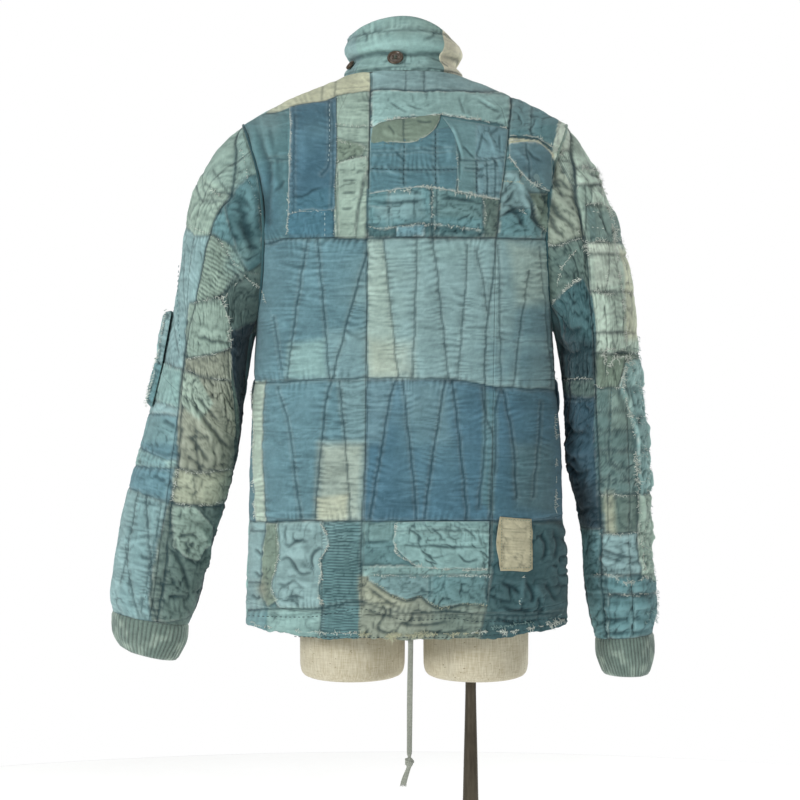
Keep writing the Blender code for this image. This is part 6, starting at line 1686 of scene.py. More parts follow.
def rim_faces(outer, inner):
    """Triangles between a border of the fine wall and the border of the coarse one with half its cells."""
    o0, o1, o2 = outer[:-2:2], outer[1::2], outer[2::2]
    i0, i1 = inner[:-1], inner[1:]
    rims = [np.stack(corners, -1) for corners in ((o1, o0, i0), (o1, i0, i1), (o2, o1, i1))]
    return np.concatenate(rims)


def add_shell(name, sheet, relief, tint, material, wall=PANEL_WALL - 0.0002, inner_relief=None,
              round_closed=False):
    """A closed shell of cloth: its face is the sheet raised by the relief along its normals, its lining is
    every second point carried a wall's thickness the other way, and a rim joins the two. A sheet that closes
    round has its last column on its first, and needs rims only at its ends."""
    points, outward = sheet
    uv = cloth_uv(points)
    if round_closed:
        points, outward, relief, tint, uv = (grid[:, :-1] for grid in (points, outward, relief, tint, uv))
    if inner_relief is None:
        relief = np.maximum(relief, 0.0010 - wall)
    outer = points + outward * relief[..., None]
    behind = -wall if inner_relief is None else inner_relief[::2, ::2, None]
    inner = points[::2, ::2] + outward[::2, ::2] * behind
    rows, columns = outer.shape[:2]
    face = np.arange(rows * columns).reshape(rows, columns)
    back = rows * columns + np.arange(inner.shape[0] * inner.shape[1]).reshape(inner.shape[:2])
    if round_closed:
        face, back = (np.concatenate([index, index[:, :1]], axis=1) for index in (face, back))
    faces = [grid_faces(face), grid_faces(back)[:, ::-1]]
    faces += [rim_faces(face[0], back[0]), rim_faces(face[-1, ::-1], back[-1, ::-1])]
    if not round_closed:
        faces += [rim_faces(face[:, -1], back[:, -1]), rim_faces(face[::-1, 0], back[::-1, 0])]
    faces = np.concatenate(faces)
    facing = np.cross(np.gradient(points, axis=1), np.gradient(points, axis=0))
    if np.sum(facing * outward) < 0:
        faces = faces[:, ::-1]
    uv = np.concatenate([uv.reshape(-1, 2), uv[::2, ::2].reshape(-1, 2)])
    colours = np.concatenate([tint.reshape(-1, 3), np.tile(cloth_colours()[LINING], (inner.size // 3, 1))])
    vertices = np.concatenate([outer.reshape(-1, 3), inner.reshape(-1, 3)])
    return add_mesh(name, vertices, faces, material, colours, uv)


def cut_to(made, sheet):
    """Measures a sheet's cut, its own widest row by its longest column, and its flat area, and hands back the
    piece unchanged: the sizes are not used."""
    points = sheet.points
    width = np.linalg.norm(np.diff(points, axis=1), axis=-1).sum(axis=1).max()
    length = np.linalg.norm(np.diff(points, axis=0), axis=-1).sum(axis=0).max()
    cells = np.cross(points[1:, 1:] - points[:-1, :-1], points[1:, :-1] - points[:-1, 1:])
    area = np.linalg.norm(cells, axis=-1).sum() / 2
    flat = (round(max(width, 0.012), 3), round(max(length, 0.012), 3))
    area = float(np.clip(area, 0.3 * flat[0] * flat[1], flat[0] * flat[1]))
    return made


def tubes(paths, radii, sides=3):
    """Thin closed tubes along many paths of equally many points: rings square to each path, with a cap at
    each end. Radii give each path's width, narrowing a little to its ends."""
    paths = np.asarray(paths, float)
    count, length = paths.shape[:2]
    along = unit(np.gradient(paths, axis=1))
    helper = np.where(np.abs(along[..., 2:]) > 0.8, np.array([1.0, 0.2, 0.0]), np.array([0.1, 0.2, 1.0]))
    first = unit(np.cross(along, helper))
    second = np.cross(along, first)
    turns = circle(sides)
    taper = 1 - 0.5 * np.abs(np.linspace(-1, 1, length)) ** 3
    size = np.broadcast_to(np.asarray(radii, float), (count,))[:, None, None, None]
    size = size * taper[None, :, None, None]
    rings = paths[:, :, None] + size * (
        np.cos(turns)[:, None] * first[:, :, None] + np.sin(turns)[:, None] * second[:, :, None]
    )
    index = np.arange(count * length * sides).reshape(count, length, sides)
    a, b = index[:, :-1], np.roll(index, -1, axis=2)[:, :-1]
    c, d = np.roll(index, -1, axis=2)[:, 1:], index[:, 1:]
    faces = [np.stack([a, b, c], -1).reshape(-1, 3), np.stack([a, c, d], -1).reshape(-1, 3)]
    for corner in range(1, sides - 1):
        faces.append(np.stack([index[:, 0, 0], index[:, 0, corner + 1], index[:, 0, corner]], -1))
        faces.append(np.stack([index[:, -1, 0], index[:, -1, corner], index[:, -1, corner + 1]], -1))
    return rings.reshape(-1, 3), np.concatenate(faces), length * sides


def rings_mesh(rings):
    """A closed solid through rings of equally many points, each end closed by a fan to its middle."""
    rows, count = rings.shape[:2]
    index = np.arange(rows * count).reshape(rows, count)
    wrap = np.concatenate([index, index[:, :1]], axis=1)
    low, high = rows * count, rows * count + 1
    around = np.roll(index, -1, axis=1)
    faces = [
        grid_faces(wrap),
        np.stack([around[0], index[0], np.full(count, low)], -1),
        np.stack([index[-1], around[-1], np.full(count, high)], -1),
    ]
    ends = np.stack([rings[0].mean(axis=0), rings[-1].mean(axis=0)])
    return np.concatenate([rings.reshape(-1, 3), ends]), np.concatenate(faces)


class Board:
    """What the eye behind the stand sees of the finished cloth: for each cell of the board, the nearest
    point of cloth and its normal."""

    CELL = 1.6
    HALF_WIDTH, BOTTOM, TOP = 480, 0, 860

    def __init__(self):
        self.shape = (int(2 * self.HALF_WIDTH / self.CELL), int((self.TOP - self.BOTTOM) / self.CELL))
        self.point = np.full((*self.shape, 3), -9.0)
        self.normal = np.zeros((*self.shape, 3))

    def cell(self, across, up):
        i = ((across + self.HALF_WIDTH) / self.CELL).astype(int)
        j = ((up - self.BOTTOM) / self.CELL).astype(int)
        return np.clip(i, 0, self.shape[0] - 1), np.clip(j, 0, self.shape[1] - 1)

    def add(self, points, outward):
        points, outward = points.reshape(-1, 3), outward.reshape(-1, 3)
        faces_eye = outward[:, 1] > 0.05
        points, outward = points[faces_eye], outward[faces_eye]
        order = np.argsort(points[:, 1], kind="stable")
        points, outward = points[order], outward[order]
        i, j = self.cell(*on_board(points))
        nearer = points[:, 1] > self.point[i, j, 1]
        self.point[i[nearer], j[nearer]] = points[nearer]
        self.normal[i[nearer], j[nearer]] = outward[nearer]

    def find(self, across, up):
        """The cloth's point and normal behind each place, and whether there is any cloth there."""
        across, up = np.asarray(across, float), np.asarray(up, float)
        i, j = self.cell(across, up)
        found, normal = self.point[i, j].copy(), self.normal[i, j].copy()
        for di, dj in ((1, 0), (-1, 0), (0, 1), (0, -1), (1, 1), (-1, -1)):
            empty = found[..., 1] < -8
            if not empty.any():
                break
            ni = np.clip(i + di, 0, self.shape[0] - 1)
            nj = np.clip(j + dj, 0, self.shape[1] - 1)
            found = np.where(empty[..., None], self.point[ni, nj], found)
            normal = np.where(empty[..., None], self.normal[ni, nj], normal)
        there = found[..., 1] > -8
        exact = off_board(across, up, found[..., 1])
        slope = np.where(normal[..., 1] > 0.3, normal[..., 1], 1.0)
        shift = ((exact - found) * normal * np.array([1.0, 0.0, 1.0])).sum(axis=-1) / slope
        exact[..., 1] = found[..., 1] - np.clip(shift, -0.003, 0.003)
        return exact, unit(normal), there


BOARD = Board()


# ---------------------------------------------------------------------------------------------------
# Materials

class Wire:
    """A socket in a material under way. Arithmetic on wires adds Math nodes."""

    def __init__(self, bench, socket):
        self.bench, self.socket = bench, socket

    def math(self, operation, first, second=0.0):
        return self.bench.out("ShaderNodeMath", {"operation": operation}, {0: first, 1: second})

    def __add__(self, other):
        return self.math("ADD", self, other)

    def __sub__(self, other):
        return self.math("SUBTRACT", self, other)

    def __rsub__(self, other):
        return self.math("SUBTRACT", other, self)

    def __mul__(self, other):
        return self.math("MULTIPLY", self, other)

    __radd__, __rmul__ = __add__, __mul__

    def sine(self):
        return self.math("SINE", self)

    def between(self, low, high):
        """0 below low, 1 above high, and smooth between them."""
        settings = {"interpolation_type": "SMOOTHSTEP"}
        inputs = {"Value": self, "From Min": low, "From Max": high, "To Min": 0.0, "To Max": 1.0}
        return self.bench.out("ShaderNodeMapRange", settings, inputs, "Result")


class Bench:
    """The nodes of one material."""

    def __init__(self, name):
        self.material = bpy.data.materials.new(name)
        self.material.use_nodes = True
        self.tree = self.material.node_tree
        self.shader = self.tree.nodes["Principled BSDF"]

    def add(self, kind, settings, inputs):
        node = self.tree.nodes.new(kind)
        for key, value in settings.items():
            setattr(node, key, value)
        for key, value in inputs.items():
            self.plug(node.inputs[key], value)
        return node

    def plug(self, socket, value):
        if isinstance(value, Wire):
            self.tree.links.new(value.socket, socket)
        else:
            socket.default_value = value

    def out(self, kind, settings, inputs, output=0):
        return Wire(self, self.add(kind, settings, inputs).outputs[output])

    def parts(self, vector):
        node = self.add("ShaderNodeSeparateXYZ", {}, {0: vector})
        return [Wire(self, output) for output in node.outputs]

    def vector(self, x, y, z=0.0):
        return self.out("ShaderNodeCombineXYZ", {}, {0: x, 1: y, 2: z})

    def noise(self, vector, scale, detail=3.0, rough=0.55):
        inputs = {"Vector": vector, "Scale": scale, "Detail": detail, "Roughness": rough}
        return self.out("ShaderNodeTexNoise", {}, inputs)

    def scaled(self, colour, share):
        return self.out("ShaderNodeVectorMath", {"operation": "SCALE"}, {0: colour, "Scale": share})

    def mixed(self, share, first, second):
        node = self.add("ShaderNodeMix", {"data_type": "RGBA"}, {0: share, 6: first, 7: second})
        return Wire(self, node.outputs[2])

    def finish(self, colour, height, bump, distance, roughness=0.9, **constants):
        """Feeds the shader, and sets what is the same all over on its own sockets."""
        self.plug(self.shader.inputs["Base Color"], colour)
        self.plug(self.shader.inputs["Roughness"], roughness)
        if height is not None:
            inputs = {"Strength": bump, "Distance": distance, "Height": height}
            self.plug(self.shader.inputs["Normal"], self.out("ShaderNodeBump", {}, inputs))
        for key, value in constants.items():
            self.shader.inputs[key.replace("_", " ")].default_value = value
        return self.material


MATERIALS = {}


def woven(name, thread=0.9, slub=0.08, mottle=0.17, bump=0.5, sheen=0.12):
    """Plain-woven cotton in the colours painted on the piece. The weave is sin(u) times sin(v), raised where
    a thread crosses over; long noise along each thread makes slubs, and rounder noise makes uneven dye."""
    if name in MATERIALS:
        return MATERIALS[name]
    bench = Bench(name)
    tint = bench.out("ShaderNodeVertexColor", {"layer_name": "tint"}, {}, "Color")
    u, v, _ = bench.parts(bench.out("ShaderNodeUVMap", {"uv_map": "cloth"}, {}))
    place = bench.out("ShaderNodeTexCoord", {}, {}, "Object")
    turns = 2 * math.pi / (thread * MM)
    weave = (u * turns).sine() * (v * turns).sine()
    weft = bench.noise(bench.vector(u * 95, v * 820), 1.0, 2.0)
    warp = bench.noise(bench.vector(u * 820, v * 95), 1.0, 2.0)
    dye = bench.noise(place, 130.0, 5.0, 0.62)
    grain = bench.noise(place, 620.0, 3.0, 0.6)
    share = 1 + (weft - 0.5) * slub + (warp - 0.5) * slub + (dye - 0.5) * mottle * 2 + (grain - 0.5) * mottle
    worn = (grain * 0.4 + weft * 0.4 + dye * 0.4).between(0.66, 0.92)
    pale = bench.mixed(0.22, tint, (*tone("d5ddd4"), 1.0))
    colour = bench.scaled(bench.mixed(worn * 0.5, tint, pale), share)
    height = weave * 0.3 + weft * 0.4 + warp * 0.4 + grain * 0.9 + dye * 0.9
    MATERIALS[name] = bench.finish(colour, height, bump, 0.0007, 0.93, Sheen_Weight=sheen,
                                   Sheen_Roughness=0.6, Specular_IOR_Level=0.15)
    return MATERIALS[name]


def plain(name, colour, second, scale, roughness=0.6, metallic=0.0, bump=0.2, distance=0.0005,
          stretch=(1, 1, 1), **more):
    """One finish in two shades, clouded by stretched noise on the piece's own place."""
    if name in MATERIALS:
        return MATERIALS[name]
    bench = Bench(name)
    place = bench.out("ShaderNodeTexCoord", {}, {}, "Object")
    place = bench.out("ShaderNodeMapping", {}, {0: place, "Scale": stretch})
    coarse = bench.noise(place, scale, 5.0, 0.6)
    fine = bench.noise(place, scale * 7, 3.0, 0.6)
    share = (coarse * 0.7 + fine * 0.3).between(0.3, 0.7)
    mixed = bench.mixed(share, (*tone(colour), 1.0), (*tone(second), 1.0))
    made = bench.finish(mixed, coarse + fine * 0.6, bump, distance, roughness, Metallic=metallic, **more)
    MATERIALS[name] = made
    return made


def thread_material():
    """Loose cotton threads in the colours painted on them, matt, with a little sheen."""
    if "threads" in MATERIALS:
        return MATERIALS["threads"]
    bench = Bench("loose threads")
    tint = bench.out("ShaderNodeVertexColor", {"layer_name": "tint"}, {}, "Color")
    place = bench.out("ShaderNodeTexCoord", {}, {}, "Object")
    fine = bench.noise(place, 900.0, 2.0)
    colour = bench.scaled(tint, 0.85 + fine * 0.3)
    MATERIALS["threads"] = bench.finish(colour, fine, 0.2, 0.0002, 0.95, Sheen_Weight=0.3,
                                        Specular_IOR_Level=0.1)
    return MATERIALS["threads"]


# ---------------------------------------------------------------------------------------------------
# Settings and operators

def colour_setting(name, code):
    return bpy.props.FloatVectorProperty(
        name=name, description=f"{name}, before fading and wear", subtype="COLOR", size=3,
        default=tone(code), min=0.0, max=1.0,
    )


class JacketCloths(bpy.types.PropertyGroup):
    """The colours of the jacket's cloths"""

    __annotations__ = {key: colour_setting(*value) for key, value in CLOTHS.items()}


class JacketSizes(bpy.types.PropertyGroup):
    """The fineness and looseness of the jacket's cloth"""

    back_step: bpy.props.FloatProperty(
        name="Back grid", description="Distance between the back's grid points", default=0.00175,
        min=0.001, subtype="DISTANCE", unit="LENGTH",
    )
    sleeve_step: bpy.props.FloatProperty(
        name="Sleeve grid", description="Distance between the sleeves' grid points", default=0.0021,
        min=0.001, subtype="DISTANCE", unit="LENGTH",
    )
    front_step: bpy.props.FloatProperty(
        name="Front grid", description="Distance between the front's grid points", default=0.0042,
        min=0.001, subtype="DISTANCE", unit="LENGTH",
    )
    thread_radius: bpy.props.FloatProperty(
        name="Thread radius", description="Radius of a loose thread", default=0.0003,
        min=0.0001, subtype="DISTANCE", unit="LENGTH",
    )


def cloth_colours():
    cloths = bpy.context.scene.jacket_cloths
    return {key: np.array(getattr(cloths, key)) for key in CLOTHS}


def sizes():
    return bpy.context.scene.jacket_sizes


class MadePiece:
    """What the jacket's operators share."""

    bl_options = {"REGISTER", "UNDO"}

    def execute(self, context):
        self.make(context)
        return {"FINISHED"}


class JACKET_OT_stage(MadePiece, bpy.types.Operator):
    """Sets up the camera, the soft studio light and the pale floor"""

    bl_idname = "jacket.stage"
    bl_label = "Stage"

    def make(self, context):
        scene = context.scene
        scene.view_settings.view_transform = "Standard"
        camera = bpy.data.cameras.new("camera")
        camera.lens, camera.sensor_width = 93.6, 36.0
        camera.shift_x = -0.00625
        camera.clip_start, camera.clip_end = 0.05, 60.0
        holder = bpy.data.objects.new("camera", camera)
        holder.location = (0.0, EYE_BACK, EYE_UP)
        holder.rotation_euler = (math.radians(90 - 1.65), 0.0, math.pi)
        scene.collection.objects.link(holder)
        scene.camera = holder
        world = bpy.data.worlds.new("studio")
        world.use_nodes = True
        nodes, links = world.node_tree.nodes, world.node_tree.links
        seen, light = nodes["Background"], nodes.new("ShaderNodeBackground")
        seen.inputs["Color"].default_value = (1.0, 1.0, 1.0, 1.0)
        seen.inputs["Strength"].default_value = 1.0
        light.inputs["Color"].default_value = (0.97, 0.985, 1.0, 1.0)
        light.inputs["Strength"].default_value = 0.26
        share, ray = nodes.new("ShaderNodeMixShader"), nodes.new("ShaderNodeLightPath")
        links.new(ray.outputs["Is Camera Ray"], share.inputs[0])
        links.new(light.outputs[0], share.inputs[1])
        links.new(seen.outputs[0], share.inputs[2])
        links.new(share.outputs[0], nodes["World Output"].inputs["Surface"])
        scene.world = world
        lamps = (
            ("key", (2.1, 2.3, 1.9), (0.0, 0.0, 1.05), 0.9, 58.0),
            ("fill", (-2.3, 2.6, 1.5), (0.0, 0.0, 1.05), 1.4, 15.0),
            ("top", (0.1, 0.4, 3.4), (0.0, 0.0, 1.1), 1.0, 8.0),
            ("front_key", (-2.2, -2.3, 1.9), (0.0, 0.0, 1.05), 1.1, 48.0),
            ("front_fill", (2.2, -2.6, 1.3), (0.0, 0.0, 1.05), 1.6, 14.0),
        )
        for name, place, target, size, power in lamps:
            lamp = bpy.data.lights.new(name, "AREA")
            lamp.shape, lamp.size, lamp.energy = "DISK", size, power
            lamp_object = bpy.data.objects.new(name, lamp)
            lamp_object.location = place
            way = np.array(target) - np.array(place)
            away = math.atan2(math.hypot(way[0], way[1]), -way[2])
            lamp_object.rotation_euler = (away, 0.0, math.atan2(way[1], way[0]) - math.pi / 2)
            scene.collection.objects.link(lamp_object)
        turns = circle(96)
        rings = [
            np.stack([r * np.cos(turns), r * np.sin(turns), np.full(96, z)], -1)
            for r, z in ((2.8, -0.02), (3.0, -0.015), (3.0, -0.004), (2.98, -0.001))
        ]
        points, faces = rings_mesh(np.stack(rings))
        floor = add_mesh("floor", points, faces, plain(
            "pale floor", "f4f4f2", "efefec", 3.0, roughness=0.7, bump=0.03, Specular_IOR_Level=0.2,
            Emission_Color=(1.0, 1.0, 1.0, 1.0), Emission_Strength=0.5))
        floor.parent = None


class JACKET_OT_back(MadePiece, bpy.types.Operator):
    """Makes the yoke, the two quilted rows and the hem band of the back"""

    bl_idname = "jacket.back"
    bl_label = "Back"

    def make(self, context):
        panels = (
            ("back_yoke_left", LEFT_EDGE, LEFT_INNER, YOKE_SEAM, NECK, "teal_cotton"),
            ("back_yoke_sage", LEFT_INNER, LEFT_SEAM, YOKE_SEAM, NECK, "sage_cotton"),
            ("back_yoke_middle", LEFT_SEAM, RIGHT_SEAM, YOKE_SEAM, NECK, "pale_teal_cotton"),
            ("back_yoke_right", RIGHT_SEAM, RIGHT_EDGE, YOKE_SEAM, NECK, "teal_cotton"),
            ("back_upper_left", LEFT_EDGE, LEFT_SEAM, MID_SEAM, YOKE_SEAM, "mid_blue_cotton"),
            ("back_upper_middle", LEFT_SEAM, RIGHT_SEAM, MID_SEAM, YOKE_SEAM, "pale_blue_cotton"),
            ("back_upper_right", RIGHT_SEAM, RIGHT_EDGE, MID_SEAM, YOKE_SEAM, "pale_blue_cotton"),
            ("back_lower_left", LEFT_EDGE, LEFT_SEAM, BAND_TOP, MID_SEAM, "mid_blue_cotton"),
            ("back_lower_middle", LEFT_SEAM, RIGHT_SEAM, BAND_TOP, MID_SEAM, "mid_blue_cotton"),
            ("back_lower_right", RIGHT_SEAM, RIGHT_EDGE, BAND_TOP, MID_SEAM, "teal_cotton"),
            ("back_band_side", LEFT_EDGE, LEFT_OUTER, CASING_TOP, BAND_TOP, "mid_blue_cotton"),
            ("back_band_pale", LEFT_OUTER, LEFT_INNER, CASING_TOP, BAND_TOP, "pale_teal_cotton"),
            ("back_band_ribbed", LEFT_INNER, LEFT_SEAM, CASING_TOP, BAND_TOP, "teal_cotton"),
            ("back_band_cream", LEFT_SEAM, RIGHT_SEAM, CASING_TOP, BAND_TOP, "sage_cotton"),
            ("back_band_dark", RIGHT_SEAM, RIGHT_EDGE, CASING_TOP, BAND_TOP, "dark_blue_cotton"),
            ("back_hem_casing", LEFT_EDGE, RIGHT_EDGE, HEM, CASING_TOP, "pale_blue_cotton"),
        )
        for node, first, last, low, high, slot in panels:
            sheet = torso_sheet(first, last, low, high, sizes().back_step)
            if low == HEM:
                self.ravel(sheet.points)
            relief, tint = laid_out(BACK, *on_board(sheet.points))
            made = add_shell(f"{node}_cloth", sheet, relief, tint, woven("quilted cotton"))
            BOARD.add(sheet.points + sheet.outward * relief[..., None], sheet.outward)
            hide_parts(node)
            cut_to(made, sheet)

    def ravel(self, points):
        """Lets the hem's edge wander up and down: two noises along it, fading out within 12 mm above it."""
        along = points[..., 0] / MM
        drift = 1.9 * noise(along / 24, 0.5, 61) + 1.6 * noise(along / 7.5, 0.5, 63)
        drift = drift + 0.8 * noise(along / 2.6, 0.5, 65)
        points[..., 2] += drift * MM * (1 - ramp(points[..., 2] - points[:1, :, 2], 0.0, 0.012))


class JACKET_OT_fronts(MadePiece, bpy.types.Operator):
    """Makes the two fronts, the fly over their opening, and a flapped pocket on each"""

    bl_idname = "jacket.fronts"
    bl_label = "Fronts"

    def make(self, context):
        panels = (
            ("front_right_upper", RIGHT_EDGE, FRONT_MIDDLE, MID_SEAM, NECK, "pale_blue_cotton"),
            ("front_right_lower", RIGHT_EDGE, FRONT_MIDDLE, HEM, MID_SEAM, "mid_blue_cotton"),
            ("front_left_upper", FRONT_MIDDLE, FRONT_LEFT_EDGE, MID_SEAM, NECK, "pale_blue_cotton"),
            ("front_left_lower", FRONT_MIDDLE, FRONT_LEFT_EDGE, HEM, MID_SEAM, "mid_blue_cotton"),
        )
        for node, first, last, low, high, slot in panels:
            sheet = torso_sheet(first, last, low, high, sizes().front_step)
            across, up = sheet.points[..., 0] / MM, (sheet.points[..., 2] - BOARD_FOOT) / MM
            relief, tint = laid_out(FRONT, across, up)
            made = add_shell(f"{node}_cloth", sheet, relief, tint, woven("quilted cotton"))
            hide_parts(node)
            cut_to(made, sheet)
        self.make_fly()
        for side, first, last in (("right", 9, 11), ("left", 15, 17)):
            bag = torso_sheet(first, last, BAND_TOP, POCKET_TOP, 0.0026)
            flap = torso_sheet(first, last, POCKET_TOP - 0.004, MID_SEAM, 0.0026)
            pocket, pocket_flap = f"front_pocket_{side}", f"front_pocket_flap_{side}"
            add_pad(f"{pocket}_bag", bag, 0.0086, "deep_teal", 7, pocket)
            add_pad(f"{pocket_flap}_cloth", flap, 0.0112, "deep_blue", 9, pocket_flap)

    def make_fly(self):
        """A strip of cloth down the middle, its own long edges stitched and its end at the hem."""
        sheet = torso_sheet(12, 14, HEM, NECK, sizes().front_step)
        across, up = sheet.points[..., 0] / MM, (sheet.points[..., 2] - BOARD_FOOT) / MM
        edges = [Seam(((x, 70), (x, 420), (0.62 * x, 760)), 0.8, 0.5, 0.45) for x in (-19, 19)]
        rows = [Seam(((-40, level), (40, level)), 1.1, 0.4, 0.5) for level in (213, 381, 551)]
        patches = (Patch(box(-60, 60, 381, 551), "pale_blue"), Patch(box(-60, 60, 551, 800), "teal"))
        cloud = Cloud(0, 300, 20, 60, "pale_blue", 0.4)
        fly = Zone("mid_blue", patches, tuple(edges + rows), (), (cloud,), 0.7, 223)
        relief, tint = laid_out(fly, across, up)
        lifted = Sheet(sheet.points + sheet.outward * 0.0030, sheet.outward)
        made = add_shell("front_fly_cloth", lifted, relief, tint, woven("quilted cotton"), wall=0.0020)
        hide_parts("front_fly")
        cut_to(made, sheet)


def add_pad(name, sheet, height, cloth, seed, node, rests=0.0014):
    """A padded piece on the cloth: it stands height proud in its middle, and its edges curve down to a
    seam by 1 - |u|^6, times the same of v."""
    rows, columns = sheet.points.shape[:2]
    u, v = np.meshgrid(np.linspace(-1, 1, columns), np.linspace(-1, 1, rows))
    crown = np.sqrt(np.clip((1 - np.abs(u) ** 6) * (1 - np.abs(v) ** 6), 0, 1))
    flat = cloth_uv(sheet.points) / MM
    half_width, half_height = np.abs(flat[0, :, 0]).max(), flat[..., 1].max() / 2
    level = flat[..., 1] - half_height
    edge = 4.5
    low, side = edge - half_height, half_width - edge
    level_lines = [((-half_width, y), (half_width, y)) for y in (low, -low)]
    upright_lines = [((x, -half_height), (x, half_height)) for x in (-side, side)]
    frame_seams = [Seam(line, 0.8, 0.5, 0.4) for line in level_lines + upright_lines]
    face = Patch(box(-200, 200, -200, 200), cloth, 0.0, 0.0, 1.3, 9.0)
    pad = Zone(cloth, (face,), tuple(frame_seams), (), (), 0.8, 800 + seed)
    relief, tint = laid_out(pad, flat[..., 0], level)
    lumps = 1 + 0.22 * noise(2.6 * u + seed, 3.4 * v, seed) * (node[:6] == "sleeve")
    top = rests * 1.1 + (height - rests) * crown * lumps + relief * crown
    made = add_shell(name, sheet, top, tint, woven("quilted cotton"), wall=-rests)
    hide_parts(node)
    return made


class JACKET_OT_collar(MadePiece, bpy.types.Operator):
    """Makes the stand collar in its two pieces, with two horn buttons on it"""

    bl_idname = "jacket.collar"
    bl_label = "Collar"

    def make(self, context):
        seam = float(girth_theta(np.array([float(RIGHT_INNER)]), np.array([NECK]), False)[0, 0])
        parts = (
            ("collar_main", -np.pi / 2, seam, "pale_blue_cotton"),
            ("collar_end", seam, 1.5 * np.pi, "cream_cotton"),
        )
        for node, first, last, slot in parts:
            sheet, around, height = self.collar_sheet(first, last)
            relief, tint = laid_out(COLLAR_ZONE, around, height)
            if node == "collar_end":
                cream = COLLAR_ZONE._replace(base="collar_cream", patches=(), clouds=())
                relief, tint = laid_out(cream, around, height)
            made = add_shell(f"{node}_cloth", sheet, relief, tint, woven("quilted cotton"))
            BOARD.add(sheet.points + sheet.outward * relief[..., None], sheet.outward)
            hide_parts(node)
            cut_to(made, sheet)
        for place, (radius, half_turns) in {"back": (0.0100, 0.457), "side": (0.0065, 0.130)}.items():
            self.add_button(place, radius, half_turns * np.pi)

    def collar_sheet(self, first, last):
        step = 0.0019
        thetas, steps = np.linspace(first, last, 121), np.linspace(0, len(COLLAR) - 1, 61)
        trial = collar_point(*np.meshgrid(thetas, steps))
        steps = even_places(trial[:, ::10], steps, step)
        thetas = even_places(np.swapaxes(trial, 0, 1)[:, ::10], thetas, step)
        grid = np.meshgrid(thetas, steps)
        points = collar_point(*grid)
        middle = np.array([0.002, 0.0, 0.0])
        towards = (points - middle) * np.array([1.0, 1.0, 0.0])
        sheet = Sheet(points, grid_outward(points, towards))
        height = lengths_along(points) / MM
        ring = np.linspace(-np.pi / 2, 1.5 * np.pi, 721)
        whole = collar_point(ring, np.full(721, 2.5))
        lengths = lengths_along(whole) / MM
        start = np.interp(np.pi / 2, ring, lengths)
        around = start - np.interp(grid[0], ring, lengths)
        return sheet, around, height

    def add_button(self, place, radius, theta):
        """A round dished button with four holes: a polar grid whose height is the rim's profile, with four
        dents 0.3 of the radius from its middle."""
        low, high = (collar_point(np.array(theta), np.array(step)) for step in (1.0, 2.0))
        ahead, behind = (collar_point(np.array(theta + turn), np.array(1.5)) for turn in (0.01, -0.01))
        outward = unit(np.cross(ahead - behind, high - low))
        across = unit(np.cross(outward, (0.0, 0.0, 1.0)))
        upward = np.cross(across, outward)
        centre = (low + high) / 2 + outward * 0.0012
        rim = ((0.80, 0.0), (0.93, 0.05), (1.0, 0.3), (1.0, 0.55), (0.97, 0.8), (0.91, 0.97), (0.83, 1.0),
               (0.76, 0.94), (0.70, 0.72), (0.66, 0.64))
        profile = (*rim, *((round(0.06 * ring, 2), 0.6) for ring in range(10, 0, -1)))
        turns = circle(64)
        rings = []
        for share, height in profile:
            x, y = radius * share * np.cos(turns), radius * share * np.sin(turns)
            level = np.full(64, height * 0.0032)
            if share < 0.6 and height > 0.5:
                for hx, hy in ((1, 1), (1, -1), (-1, 1), (-1, -1)):
                    away = np.hypot(x - hx * radius * 0.2, y - hy * radius * 0.2) / (radius * 0.13)
                    level -= 0.0012 * np.exp(-away**4)
            rings.append(centre + x[:, None] * across + y[:, None] * upward + level[:, None] * outward)
        points, faces = rings_mesh(np.stack(rings))
        horn = plain("dark horn", "5a4a38", "33271d", 260.0, roughness=0.35, bump=0.15, distance=0.0003)
        button = add_mesh(f"collar_button_{place}_horn", points, faces, horn)
        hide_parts(f"collar_button_{place}")
        paths = []
        for hx, hy, kx, ky in ((1, 1, -1, -1), (1, -1, -1, 1), (1, 1, -1, 1), (1, -1, -1, -1)):
            t = np.linspace(-1, 1, 7)[:, None]
            start, end = np.array([hx, hy]) * radius * 0.2, np.array([kx, ky]) * radius * 0.2
            flat = (start + end) / 2 + (end - start) / 2 * t
            level = 0.0014 + 0.0008 * (1 - t[:, 0] ** 4)
            paths.append(centre + flat[:, :1] * across + flat[:, 1:] * upward + level[:, None] * outward)
        points, faces, _ = tubes(paths, 0.0004, 6)
        tint = np.tile(cloth_colours()["olive"] * 0.5, (len(points), 1))
        thread = add_mesh(f"collar_button_{place}_thread", points, faces, thread_material(), tint)


